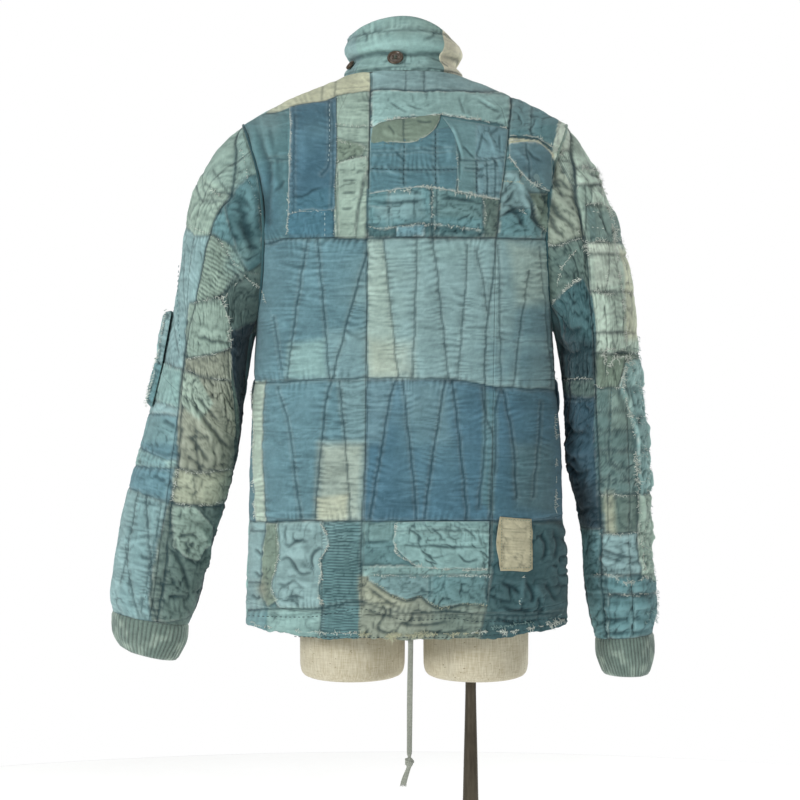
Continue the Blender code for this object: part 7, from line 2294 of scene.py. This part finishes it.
class JACKET_OT_sleeves(MadePiece, bpy.types.Operator):
    """Makes both sleeves' panels and rib-knit cuffs, and the left sleeve's padded pocket"""

    bl_idname = "jacket.sleeves"
    bl_label = "Sleeves"

    def make(self, context):
        panels = (
            ("outer_upper", -SLEEVE_SEAM, SLEEVE_SEAM, 0, SLEEVE_SPLIT, "pale_blue_cotton", 1.0),
            ("outer_lower", -SLEEVE_SEAM, SLEEVE_SEAM, SLEEVE_SPLIT, SLEEVE_END, "mid_blue_cotton", 1.0),
            ("back_upper", SLEEVE_SEAM, 180, 0, SLEEVE_SPLIT, "sage_cotton", 0.68),
            ("back_lower", SLEEVE_SEAM, 180, SLEEVE_SPLIT, SLEEVE_END, "pale_teal_cotton", 1.0),
            ("front", -180, -SLEEVE_SEAM, 0, SLEEVE_END, "teal_cotton", 1.9),
        )
        for side in SLEEVES:
            cloth = SleeveCloth(side)
            zone = cloth.zone()
            for name, first, last, start, end, slot, coarse in panels:
                step = sizes().sleeve_step * coarse
                sheet, angles, steps = sleeve_sheet(side, first, last, start, end, step)
                relief, tint = laid_out(zone, *cloth.place(angles, steps))
                ease = ramp(steps, 0.0, 0.35) * (1 - 0.6 * ramp(steps, 10.7, 11.0))
                relief = relief * (0.35 + 0.65 * ease)
                if side == "right":
                    relief = relief + self.ruffle(angles, steps)
                made = add_shell(f"sleeve_{side}_{name}_cloth", sheet, relief, tint, woven("quilted cotton"))
                BOARD.add(sheet.points + sheet.outward * relief[..., None], sheet.outward)
                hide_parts(f"sleeve_{side}_{name}")
                cut_to(made, sheet)
            self.make_cuff(side)
            self.pipe_armhole(side)
        bag, _, _ = sleeve_sheet("left", -28, 14, 5.75, 6.6, 0.002)
        add_pad("sleeve_pocket_bag", bag, 0.0092, "teal", 21, "sleeve_pocket", 0.0018)
        flap, _, _ = sleeve_sheet("left", -28, 14, 5.0, 5.85, 0.002)
        add_pad("sleeve_pocket_flap_cloth", flap, 0.0100, "pale_blue", 23, "sleeve_pocket_flap",
                0.0022)

    def ruffle(self, angles, steps):
        """The frayed outer edge of the lower right sleeve: uneven lobes that stand up to 3 mm proud of the
        outer line and fade out 34 degrees to each side of it."""
        place = np.exp(-((angles - 12) / 26) ** 2) * ramp(steps, 5.2, 6.4)
        place = place * (1 - 0.7 * ramp(steps, 10.2, 11.0))
        lobes = 1.5 * noise(steps * 3.4, angles / 22, 91) + 1.1 * noise(steps * 8.5, angles / 12, 93)
        return np.clip(lobes, -0.8, 3.0) * place * 0.9 * MM

    def pipe_armhole(self, side):
        """The rolled seam that joins a sleeve to the body, a tube round the armhole."""
        angle = np.linspace(2, 178, 160)
        path = torso_point(*armhole_point(angle, side))
        radius = 0.0019 * (1 + 0.12 * noise(angle / 3.0, 0.5, 97))
        turns = circle(10)
        along = unit(np.gradient(path, axis=0))
        first = unit(np.cross(along, (0.0, 1.0, 0.3)))
        second = np.cross(along, first)
        rings = path[:, None] + radius[:, None, None] * (
            np.cos(turns)[:, None] * first[:, None] + np.sin(turns)[:, None] * second[:, None])
        points, faces = rings_mesh(rings)
        cloths = cloth_colours()
        # dark teal, mixed unevenly with the shade colour: painted shade where the body's cloth overlaps the
        # seam
        share = ramp(noise(np.repeat(angle, 10) / 9, 0.3, 99), -0.8, 0.8)[:, None] * 0.5
        tint = cloths["deep_teal"] + (cloths["shadow"] - cloths["deep_teal"]) * share
        if side == "right":
            high = ramp(-np.repeat(angle, 10), -58, -44)[:, None]
            tint = tint + (cloths["sage"] - tint) * high
        tint = np.concatenate([tint, tint[:2]])
        piping = add_mesh(f"armhole_seam_{side}", points, faces, thread_material(), tint)

    def make_cuff(self, side):
        """A closed band of rib knit: each rib is a rounded hump, |sin(half the rib's turn)|^0.6 high."""
        ribs = 50
        table = CUFFS[side]
        phi = np.radians(np.linspace(-180, 180, ribs * 6 + 1))
        steps = np.linspace(0, len(table) - 1, 27)
        grid_phi, grid_step = np.meshgrid(phi, steps)
        row = ring_row(table, grid_step)
        points = mirrored(ring_point(grid_phi, row), side)
        middle = mirrored(np.stack([(row["outer_x"] + row["inner_x"]) / 2, -row["forward"],
                                    (row["outer_z"] + row["inner_z"]) / 2], axis=-1), side)
        outward = grid_outward(points, points - middle)
        lean = 0.7 * grid_step * np.sin(grid_phi) + 0.2 * np.sin(grid_phi * 3 + 1.0) * grid_step
        turn = np.degrees(grid_phi) / 360 * ribs + lean + 0.12 * noise(grid_phi * 6, grid_step * 2.2, 31)
        rib = np.abs(np.sin(np.pi * turn)) ** 0.55
        ends = ramp(grid_step, 0, 0.18) * (1 - ramp(grid_step, 1.82, 2.0))
        knit = 0.12 * np.sin(grid_step / 2 * 60 * 2 * np.pi / 2.2 + 2 * np.pi * turn)
        relief = 1.5 * rib * (0.4 + 0.6 * ends) + 0.8 * ends - 1.6
        relief = (relief + 0.5 * noise(grid_phi * 3, grid_step * 2, 37) + knit * rib) * MM
        cloths = cloth_colours()
        fade = ramp(noise(grid_phi * 5, grid_step * 2.5, 41), -0.3, 0.9)[..., None]
        base = cloths["rib"] + (cloths["pale_sage"] - cloths["rib"]) * fade * 0.5
        fleck = 1 + 0.10 * noise(grid_phi * 40, grid_step * 30, 43)
        # painted shade in the grooves between the ribs and painted light on their tops, over the knit's own
        # colour, faded streaks and flecks
        tint = base * (0.30 + 0.76 * rib[..., None]) * fleck[..., None]
        sheet = Sheet(points, outward)
        knitted = woven("rib knit", 1.6, 0.2, 0.3, 0.6, 0.35)
        made = add_shell(f"cuff_{side}_knit", sheet, relief, tint, knitted, wall=0.0026, round_closed=True)
        BOARD.add(points + outward * relief[..., None], outward)
        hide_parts(f"cuff_{side}")
        cut_to(made, sheet)


def back_surface(across, up):
    """The angle and level on the back's outer face that on_board puts at across, up, by Newton's steps with
    slopes from small differences."""
    theta = np.arccos(np.clip(across * MM / 0.2, -0.95, 0.95))
    level = np.clip(BOARD_FOOT + up * MM, HEM + 0.001, NECK - 0.001)

    def missed(theta, level):
        found_across, found_up = on_board(torso_point(theta, level))
        return found_across - across, found_up - up

    for _ in range(30):
        miss_across, miss_up = missed(theta, level)
        ahead_across, ahead_up = missed(theta + 1e-4, level)
        above_across, above_up = missed(theta, level + 1e-5)
        a, b = (ahead_across - miss_across) / 1e-4, (above_across - miss_across) / 1e-5
        c, d = (ahead_up - miss_up) / 1e-4, (above_up - miss_up) / 1e-5
        scale = a * d - b * c
        scale = np.where(np.abs(scale) < 1e3, 1e3 * np.sign(scale + 1e-9), scale)
        turn = np.clip((d * miss_across - b * miss_up) / scale, -0.12, 0.12)
        theta = np.clip(theta - turn, 0.12, np.pi - 0.12)
        level = np.clip(level - np.clip((a * miss_up - c * miss_across) / scale, -0.012, 0.012), HEM, NECK)
    return theta, level


class JACKET_OT_overlays(MadePiece, bpy.types.Operator):
    """Makes the raw-edged patches on the yoke and the band, and the bare woven label"""

    bl_idname = "jacket.overlays"
    bl_label = "Overlays"

    def make(self, context):
        for node, overlay in OVERLAYS.items():
            across, up = four_sided(overlay, 1.6)
            theta, level = back_surface(across, up)
            points, outward = torso_point(theta, level), torso_outward(theta, level)
            under, _ = laid_out(BACK, *on_board(points))
            under = np.maximum(under, blurred(under, 2))
            relief, tint = laid_out(overlay.zone, across, up)
            edges = self.edge_distances(across, up)
            fray = cloth_colours()["fray"]
            for (distance, along), amount in zip(edges, overlay.frayed):
                ragged = 0.9 + 1.0 * noise(along / 2.4, distance / 9.0, overlay.zone.seed + 3)
                strength = amount * np.exp(-(distance / (1.1 * np.clip(ragged, 0, 2) + 0.25)) ** 2) * 0.8
                tint = tint + (fray - tint) * strength[..., None]
                relief = relief - 0.5 * MM * np.exp(-(distance / 1.8) ** 2)
            if node == "sewn_label":
                tint = self.ruled(tint, across, up)
            lift = np.maximum(0.0016 + relief, 0.0009)
            sheet = Sheet(points, outward)
            made = add_shell(f"{node}_cloth", sheet, under + lift, tint, woven("quilted cotton"), wall=0.0,
                             inner_relief=np.maximum(under, -0.001) + 0.0002)
            BOARD.add(points + outward * (under + lift)[..., None], outward)
            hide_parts(node)
            under_it = "back_yoke_middle" if "yoke" in node else "back_band_cream"
            cut_to(made, sheet)

    def edge_distances(self, across, up):
        """How far each place is from the top, bottom, left and right edges, and how far along each."""
        down = np.hypot(np.diff(across, axis=0), np.diff(up, axis=0))
        over = np.hypot(np.diff(across, axis=1), np.diff(up, axis=1))
        down = np.concatenate([np.zeros((1, across.shape[1])), np.cumsum(down, axis=0)], axis=0)
        over = np.concatenate([np.zeros((across.shape[0], 1)), np.cumsum(over, axis=1)], axis=1)
        return (down, over), (down[-1:] - down, over), (over, down), (over[:, -1:] - over, down)

    def ruled(self, tint, across, up):
        """Plain printed rules across the label: a double one near its top and short grey ones below."""
        ink = np.array(tone("6f7263"))
        rules = [(192.5, -122, -152, 0.7), (188.5, -122, -152, 0.7)]
        rules += [(181 - 3.7 * k, -119 - 0.8 * (k % 2), -146 - 2.2 * ((k * 5) % 3), 0.45) for k in range(6)]
        rules += [(157, -131, -146, 0.4), (153.6, -136, -143, 0.4)]
        for level, left, right, strength in rules:
            line = np.exp(-((up - level - 0.02 * (across + 139)) / 0.75) ** 2)
            line = line * (across < left) * (across > right)
            line = line * (0.75 + 0.25 * noise(across / 1.3, level, 5)) * strength
            tint = tint + (ink - tint) * line[..., None]
        edge = np.minimum(np.minimum(across + 159, -119 - across), np.minimum(up - 141, 206 - up))
        brown = np.exp(-(np.clip(edge, 0, None) / 2.2) ** 2)[..., None] * 0.45
        tint = tint + (np.array(tone("8b7f5e")) - tint) * brown
        stitched = np.exp(-((np.abs(edge - 3.0)) / 0.5) ** 2) * (np.sin((across + up) * 1.9) > -0.2)
        return tint * (1 - 0.3 * stitched[..., None])


class JACKET_OT_form(MadePiece, bpy.types.Operator):
    """Makes the linen dress form with its neck and thigh stubs, and the neck's wooden cap"""

    bl_idname = "jacket.form"
    bl_label = "Dress form"

    def make(self, context):
        linen = self.linen()
        levels = np.concatenate([[FORM_BOTTOM], np.linspace(FORM_HIP, FORM_NECK_LINE, 56), [FORM_NECK_ROOT]])
        thetas = circle(112)
        rings = []
        for level in levels:
            at = np.full(len(thetas), level)
            clearance = np.interp(level, *zip(*FORM_CLEARANCE))
            ring = torso_point(thetas, at) - (PANEL_WALL + clearance) * torso_outward(thetas, at)
            ring[:, 0] += np.interp(level, (FORM_BOTTOM, UNDERARM), (-0.011, 0.0))
            rings.append(ring)
        middle = rings[0].mean(axis=0)
        rings[0] = middle + 0.9 * (rings[0] - middle)
        neck_x = NECK_SHIFT + NECK_HALF_WIDTH * np.cos(thetas)
        neck_y = NECK_HALF_DEPTH * np.sin(thetas)
        seam_height = torso_point(thetas, np.full(len(thetas), NECK))[:, 2]
        for height in (seam_height, np.full(len(thetas), NECK_TOP - 0.001), np.full(len(thetas), NECK_TOP)):
            rings.append(np.stack([neck_x, neck_y, height], axis=-1))
        points, faces = rings_mesh(np.stack(rings))
        self.finish_form("form_body_linen", points, faces, linen)
        for place, side in zip(THIGHS, ("left", "right")):
            share, height = np.array((
                (0.80, 0.0), (0.88, 0.0004), (0.93, 0.0018), (0.965, 0.0045), (0.985, 0.008), (1.0, 0.014),
                (1.004, 0.03), (1.005, 0.06), (1.003, 0.12), (1.0, 0.18),
            )).T[..., None]
            turns = circle(96)
            x, y = place + THIGH_HALF_WIDTH * share * np.cos(turns), THIGH_HALF_DEPTH * share * np.sin(turns)
            rings = np.stack(np.broadcast_arrays(x, y, THIGH_BOTTOM + height), axis=-1)
            points, faces = rings_mesh(rings)
            self.finish_form(f"form_thigh_{side}_linen", points, faces, linen)
        cap = ((0.050, 0), (0.0515, 0.0008), (0.052, 0.002), (0.0520, 0.0042), (0.051, 0.006),
               (0.0485, 0.0076), (0.044, 0.009), (0.034, 0.0097), (0.020, 0.0100), (0.002, 0.0104))
        wood = plain("turned wood", "a8794e", "7d5433", 18.0, roughness=0.4, bump=0.12,
                     stretch=(9.0, 1.0, 9.0), Coat_Weight=0.2)
        turned("form_neck_cap_wood", cap, NECK_SHIFT, NECK_TOP + 0.0003, wood, "form_neck_cap")

    def finish_form(self, name, points, faces, linen):
        made = add_mesh(name, points, faces, linen, sharp=50)
        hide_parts("form_torso")

    def linen(self):
        """Unbleached linen: upright and level slubs from noise drawn out along each thread."""
        bench = Bench("slubbed linen")
        place = bench.out("ShaderNodeTexCoord", {}, {}, "Object")
        x, y, z = bench.parts(place)
        warp = bench.noise(bench.vector(x * 700, y * 700, z * 60), 1.0, 3.0)
        weft = bench.noise(bench.vector(x * 70, y * 70, z * 900), 1.0, 3.0)
        cloud = bench.noise(place, 24.0, 4.0)
        shade = (warp * 0.55 + weft * 0.3 + cloud * 0.25).between(0.38, 0.72)
        dark = bench.mixed(shade, (*tone("b0a68b"), 1.0), (*tone("d0cab4"), 1.0))
        slub = (warp * 0.8 + cloud * 0.2).between(0.58, 0.74)
        colour = bench.mixed(slub * 0.4, dark, (*tone("dcd7c6"), 1.0))
        fleck = bench.noise(bench.vector(x * 160, y * 160, z * 420), 1.0, 2.0).between(0.66, 0.74)
        colour = bench.mixed(fleck * 0.7, colour, (*tone("77674a"), 1.0))
        return bench.finish(colour, warp + weft * 0.8, 0.35, 0.0006, 0.9, Sheen_Weight=0.15,
                            Specular_IOR_Level=0.2)


def turned(name, profile, x, foot, material, node, sides=96):
    """A solid turned round the upright line at (x, 0) from (radius, height) pairs over its foot."""
    turns = circle(sides)
    radius, height = np.array(profile).T[..., None]
    ring = np.broadcast_arrays(x + radius * np.cos(turns), radius * np.sin(turns), foot + height)
    made = add_mesh(name, *rings_mesh(np.stack(ring, axis=-1)), material, sharp=40)
    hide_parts(node)
    return made


class JACKET_OT_stand(MadePiece, bpy.types.Operator):
    """Makes the steel base plate, its boss and the tapering pole"""

    bl_idname = "jacket.stand"
    bl_label = "Stand"

    def make(self, context):
        steel = plain("worn steel", "615a4d", "423c32", 40.0, roughness=0.42, metallic=0.75, bump=0.1,
                      stretch=(1, 1, 0.2))
        base = ((0.1800, 0.0), (0.1835, 0.0006), (0.185, 0.002), (0.185, 0.006), (0.1838, 0.0074),
                (0.181, 0.008))
        turned("stand_base_steel", base, 0.0, 0.0, steel, "stand_base", 160)
        boss = ((0.0255, 0.0083), (0.026, 0.0088), (0.026, 0.0105), (0.0252, 0.0114), (0.0225, 0.0130),
                (0.0205, 0.0150), (0.0190, 0.0190), (0.0182, 0.0240), (0.018, 0.0292), (0.0174, 0.0300))
        turned("stand_boss_steel", boss, POLE_X, 0.0, steel, "stand_boss", 64)
        pole = ((0.0105, 0.0303), (0.0105, 0.300), (0.0104, 0.505), (0.0102, 0.520), (0.0097, 0.540),
                (0.0088, 0.580), (0.0078, 0.620), (0.0070, 0.655), (0.0067, 0.670), (0.0067, 0.6897))
        turned("stand_pole_steel", pole, POLE_X, 0.0, steel, "stand_pole", 48)


class JACKET_OT_drawstring(MadePiece, bpy.types.Operator):
    """Hangs the hem's flat grey tape, with the knot and the frayed tail at its end"""

    bl_idname = "jacket.drawstring"
    bl_label = "Drawstring"

    def make(self, context):
        route = np.array(TAPE_ROUTE)
        at = np.linspace(0, len(route) - 1, 56)
        places = list(range(len(route)))
        path = np.stack([smooth(at, places, list(route[:, k])) for k in range(3)], axis=-1)
        turns = circle(20)
        flat = np.stack([0.0034 * np.sign(np.cos(turns)) * np.abs(np.cos(turns)) ** 0.6,
                         0.0010 * np.sign(np.sin(turns)) * np.abs(np.sin(turns)) ** 0.8], axis=-1)
        down = np.linspace(0, 1, len(path))
        twist = 0.22 * np.sin(down * 9.0) + 0.2
        narrow = 1 - 0.45 * ramp(down, 0.93, 1.0)
        x = flat[None, :, 0] * narrow[:, None]
        y = flat[None, :, 1] * (1 + 1.0 * ramp(down, 0.93, 1.0))[:, None]
        cos, sin = np.cos(twist)[:, None], np.sin(twist)[:, None]
        rings = path[:, None] + np.stack([x * cos - y * sin, x * sin + y * cos, 0 * x], axis=-1)
        points, faces = rings_mesh(rings)
        tape = add_mesh("drawstring_tape", points, faces, self.webbing())
        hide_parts("drawstring")
        knot = self.make_knot()

    def webbing(self):
        bench = Bench("flat grey tape")
        place = bench.out("ShaderNodeTexCoord", {}, {}, "Object")
        x, _, z = bench.parts(place)
        chevron = (z * 3600 + (x * 2600).sine() * 1.4).sine()
        grain = bench.noise(place, 700.0, 3.0)
        shade = (chevron * 0.22 + grain).between(0.25, 0.8)
        colour = bench.mixed(shade, (*tone("83897f"), 1.0), (*tone("a9aca0"), 1.0))
        return bench.finish(colour, chevron * 0.5 + grain, 0.5, 0.0004, 0.9, Sheen_Weight=0.2,
                            Specular_IOR_Level=0.15)

    def make_knot(self):
        """A small overhand knot: a lump, two turns of tape round it, and a tail that spreads into threads."""
        lump = (
            (-0.0052, 0.6076, 0.0016, 0.0012), (-0.0052, 0.6064, 0.0034, 0.0026),
            (-0.0052, 0.6040, 0.0050, 0.0042), (-0.0052, 0.6010, 0.0052, 0.0046),
            (-0.0051, 0.5985, 0.0042, 0.0038), (-0.0049, 0.5962, 0.0030, 0.0024),
            (-0.0040, 0.5938, 0.0028, 0.0014), (-0.0024, 0.5895, 0.0031, 0.0012),
            (-0.0008, 0.5850, 0.0034, 0.0011), (0.0006, 0.5808, 0.0036, 0.0011),
            (0.0016, 0.5768, 0.0037, 0.0010), (0.0021, 0.5748, 0.0036, 0.0009),
        )
        turns = circle(24)
        rings = [
            np.stack([x + w * np.cos(turns), 0.1124 + d * np.sin(turns), np.full(24, z)], axis=-1)
            for x, z, w, d in lump
        ]
        meshes = [rings_mesh(np.stack(rings))]
        t = np.linspace(0, 1, 40)
        wraps = []
        for tilt, level in ((0.0016, 0.6036), (-0.0018, 0.6006)):
            angle = t * 2 * np.pi
            wraps.append(np.stack([-0.0052 + 0.0046 * np.cos(angle), 0.1124 + 0.0040 * np.sin(angle),
                                   level + tilt * np.cos(angle + 0.6)], axis=-1))
        points, faces, _ = tubes(wraps, 0.0014, 8)
        meshes.append((points, faces))
        picks = np.arange(16)
        drift = noise(picks * 1.7, 3.1, 71)[:, None]
        s = np.linspace(0, 1, 7)[None, :]
        fan = (picks[:, None] - 7.5) / 7.5
        x = 0.0020 + fan * (0.0032 + 0.0010 * s) + drift * 0.0006 * s
        y = 0.1124 + 0.0008 * noise(picks[:, None] * 2.3, s * 2, 73)
        z = 0.5756 - s * (0.0032 + 0.0010 * drift)
        points, faces, _ = tubes(np.stack(np.broadcast_arrays(x, y, z), axis=-1), 0.00022, 4)
        meshes.append((points, faces))
        starts = np.cumsum([0] + [len(points) for points, _ in meshes[:-1]])
        points = np.concatenate([points for points, _ in meshes])
        faces = np.concatenate([faces + start for (_, faces), start in zip(meshes, starts)])
        knot = add_mesh("drawstring_knot_tape", points, faces, self.webbing())
        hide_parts("drawstring_knot")
        return knot


# ---------------------------------------------------------------------------------------------------
# Loose threads and running stitches, on the board


def along_line(line, at):
    """Places at these lengths along a smooth curve through a line's points, and its direction there."""
    line = rounded(line, 8)
    runs = lengths_along(line)
    places = np.stack([np.interp(at, runs, line[:, k]) for k in (0, 1)], axis=-1)
    ahead = np.stack([np.interp(at + 0.5, runs, line[:, k]) for k in (0, 1)], axis=-1)
    behind = np.stack([np.interp(at - 0.5, runs, line[:, k]) for k in (0, 1)], axis=-1)
    return places, unit(ahead - behind + 1e-9), runs[-1]


def on_cloth(across, up, height):
    """Points that lie height metres over the cloth behind the board. A path that runs off the cloth's edge
    keeps the depth it had."""
    points, normals, there = BOARD.find(across, up)
    base_depth = points[:, :1, 1]
    depth = np.where(there, points[..., 1], base_depth)
    depth = base_depth + np.clip(depth - base_depth, -0.005, 0.005)
    points = off_board(across, up, depth)
    normals = np.where(there[..., None], normals, np.array([0.0, 1.0, 0.0]))
    return points + normals * height[..., None], there[:, 0]


def fringe_paths(fringe, seed):
    """Threads that start on a line at uneven spacings, lean to their side, curl by a sine across their own
    way, and stand off the cloth by an arch."""
    _, _, length = along_line(fringe.line, np.zeros(1))
    count = max(2, int(length / fringe.every / 1.15))
    picks = np.arange(count)
    at = (picks + 0.5 + 0.45 * noise(picks * 1.31, seed, 3)) * length / count
    clump = 0.62 + 0.95 * noise(at / 6.5, seed, 5)
    places, ahead, _ = along_line(fringe.line, at)
    places = places + 1.3 * np.stack([noise(at / 7.0, seed, 31), noise(at / 7.0, seed, 33)], axis=-1)
    square = np.stack([-ahead[:, 1], ahead[:, 0]], axis=-1)
    side = np.full(count, float(fringe.side))
    if fringe.side == 0:
        side = np.where(noise(picks * 2.17, seed, 7) > 0, 1.0, -1.0)
    lean = 1.25 * noise(picks * 1.73, seed, 11)
    way = unit(square * side[:, None] + ahead * lean[:, None])
    way[:, 1] -= fringe.droop
    way = unit(way)
    size = fringe.length * (0.35 + 0.75 * (0.5 + 0.5 * noise(picks * 1.91, seed, 13)) ** 1.3)
    size = size * np.clip(clump, 0.3, 1.6)
    t = np.linspace(0, 1, 6)[None, :]
    curl = size * 0.42 * noise(picks * 2.71, seed, 17)
    bend = np.sin(t * (2.2 + 1.6 * noise(picks * 1.13, seed, 19))[:, None]) * curl[:, None]
    across_way = np.stack([-way[:, 1], way[:, 0]], axis=-1)
    across = places[:, :1] - 0.5 * way[:, :1] + way[:, :1] * size[:, None] * t + across_way[:, :1] * bend
    up = places[:, 1:] - 0.5 * way[:, 1:] + way[:, 1:] * size[:, None] * t + across_way[:, 1:] * bend
    rise = (0.5 + 0.5 * noise(picks * 1.57, seed, 23))[:, None]
    height = (0.15 + 1.5 * np.sin(np.pi * t * 0.8) * rise * size[:, None] / 5) * MM
    paths, there = on_cloth(across, up, height)
    there &= clump > 0.18
    return paths[there], np.full(int(there.sum()), 0.5 + 0.5 * noise(picks[there] * 0.77, seed, 29).mean())


def fuzz_paths(side, first, last, start, end, count, size, seed, lift=0.0004):
    """Threads that stand out of a sleeve between two angles and two ring steps, in clumps, each bent by its
    own share of a quarter turn."""
    picks = np.arange(count)
    angles = first + (last - first) * (0.5 + 0.5 * noise(picks * 1.61, seed, 3))
    steps = start + (end - start) * (picks + noise(picks * 1.37, seed, 5)) / count
    kept = noise(steps * 7.0, angles / 9.0, seed) > -0.25
    angles, steps, picks = angles[kept], steps[kept], picks[kept]
    foot = sleeve_point(angles, steps, side)
    round_way = unit(sleeve_point(angles + 0.5, steps, side) - foot)
    down_way = unit(sleeve_point(angles, steps + 0.02, side) - foot)
    out = unit(np.cross(round_way, down_way))
    across_sleeve = foot - sleeve_point(angles + 180 * np.sign(-angles - 0.1), steps, side)
    out = out * np.sign(np.sum(out * across_sleeve, axis=-1))[:, None]
    lean, drift = noise(picks * 1.91, seed, 7)[:, None, None], noise(picks * 2.31, seed, 9)[:, None, None]
    length = size * (0.4 + 0.6 * (0.5 + 0.5 * noise(picks * 1.23, seed, 11)))[:, None, None] * MM
    t = np.linspace(0, 1, 6)[None, :, None]
    curl = np.sin(2.6 * t * (1 + 0.5 * drift))
    return (foot[:, None] + out[:, None] * (lift + length * 0.75 * np.sin(1.5 * t))
            + down_way[:, None] * length * (0.5 * t + 0.5 * lean * curl)
            + round_way[:, None] * length * drift * curl)


def running_paths(running, seed):
    """Short stitches along a line, each a low arch whose ends dip into the cloth."""
    _, _, length = along_line(running.line, np.zeros(1))
    pitch = running.stitch + running.gap
    count = max(1, int(length / pitch))
    starts = (np.arange(count) + 0.25) * length / count + 0.5 * noise(np.arange(count) * 1.9, seed, 3)
    t = np.linspace(0, 1, 5)
    at = starts[:, None] + t[None, :] * running.stitch
    places, _, _ = along_line(running.line, at.ravel())
    places = places.reshape(count, 5, 2)
    height = np.broadcast_to((0.42 * np.sin(np.pi * t) - 0.1) * MM, (count, 5))
    paths, there = on_cloth(places[..., 0], places[..., 1], height)
    return paths[there]


class JACKET_OT_threads(MadePiece, bpy.types.Operator):
    """Scatters the frayed edges' loose threads and sews the running stitches"""

    bl_idname = "jacket.threads"
    bl_label = "Threads"

    def make(self, context):
        tables = {"back": BACK_TABLE}
        tables.update({f"{side}_sleeve": table for side, table in SLEEVE_TABLES.items()})
        for number, (name, table) in enumerate(tables.items()):
            self.make_group(f"loose_threads_{name}", [
                (fringe_paths(fringe, 50 * number + k)[0], fringe.cloth, 3)
                for k, fringe in enumerate(table["fringes"])
            ], sizes().thread_radius)
            self.make_group(f"stitches_{name}", [
                (running_paths(running, 50 * number + k), running.cloth, 4)
                for k, running in enumerate(table["runnings"])
            ], sizes().thread_radius * 1.5)

        self.make_group("pilling_sleeves", [
            (fuzz_paths("right", -6, 34, 2.2, 4.6, 90, 3.6, 3), "fray", 3),
            (fuzz_paths("right", -8, 30, 5.6, 10.6, 420, 6.0, 5), "pale_teal", 3),
            (fuzz_paths("right", -2, 36, 5.6, 9.6, 260, 5.0, 7), "fray", 3),
            (fuzz_paths("left", -30, 16, 4.98, 6.6, 240, 3.6, 11, 0.0088), "sage", 3),
            (fuzz_paths("left", 8, 15, 5.0, 6.6, 160, 3.8, 13, 0.0080), "fray", 3),
        ], sizes().thread_radius)

    def make_group(self, name, batches, radius):
        points, faces, tints, start = [], [], [], 0
        cloths = cloth_colours()
        for number, (paths, cloth, sides) in enumerate(batches):
            if not len(paths):
                continue
            made, made_faces, each = tubes(paths, radius, sides)
            picks = np.repeat(np.arange(len(paths)), each)
            shade = 1 + 0.22 * noise(picks * 1.37, number, 61)
            tints.append(cloths[cloth] * shade[:, None])
            points.append(made)
            faces.append(made_faces + start)
            start += len(made)
        made = add_mesh(name, np.concatenate(points), np.concatenate(faces), thread_material(),
                        np.clip(np.concatenate(tints), 0, 1))
        return made


STEPS = ("stage", "drawstring", "back", "fronts", "collar", "sleeves", "overlays", "threads", "form", "stand")


class JACKET_PT_sidebar(bpy.types.Panel):
    """Lists what makes each group of pieces, then the sizes and the cloths that they are made in"""

    bl_idname = "JACKET_PT_sidebar"
    bl_label = "Boro jacket"
    bl_space_type = "VIEW_3D"
    bl_region_type = "UI"
    bl_category = "Boro jacket"

    def draw(self, context):
        column = self.layout.column()
        for step in STEPS:
            column.operator(f"jacket.{step}")
        for settings in (context.scene.jacket_sizes, context.scene.jacket_cloths):
            column.separator()
            for name in settings.bl_rna.properties.keys():
                if name not in ("rna_type", "name"):
                    column.prop(settings, name)


CLASSES = (JacketCloths, JacketSizes, JACKET_OT_stage, JACKET_OT_drawstring, JACKET_OT_back, JACKET_OT_fronts,
           JACKET_OT_collar, JACKET_OT_sleeves, JACKET_OT_overlays, JACKET_OT_threads, JACKET_OT_form,
           JACKET_OT_stand, JACKET_PT_sidebar)


def register():
    for made in CLASSES:
        bpy.utils.register_class(made)
    bpy.types.Scene.jacket_cloths = bpy.props.PointerProperty(type=JacketCloths)
    bpy.types.Scene.jacket_sizes = bpy.props.PointerProperty(type=JacketSizes)


def unregister():
    del bpy.types.Scene.jacket_sizes, bpy.types.Scene.jacket_cloths
    for made in reversed(CLASSES):
        bpy.utils.unregister_class(made)


def main():
    register()
    for step in STEPS:
        getattr(bpy.ops.jacket, step)()


if __name__ == "__main__":
    main()
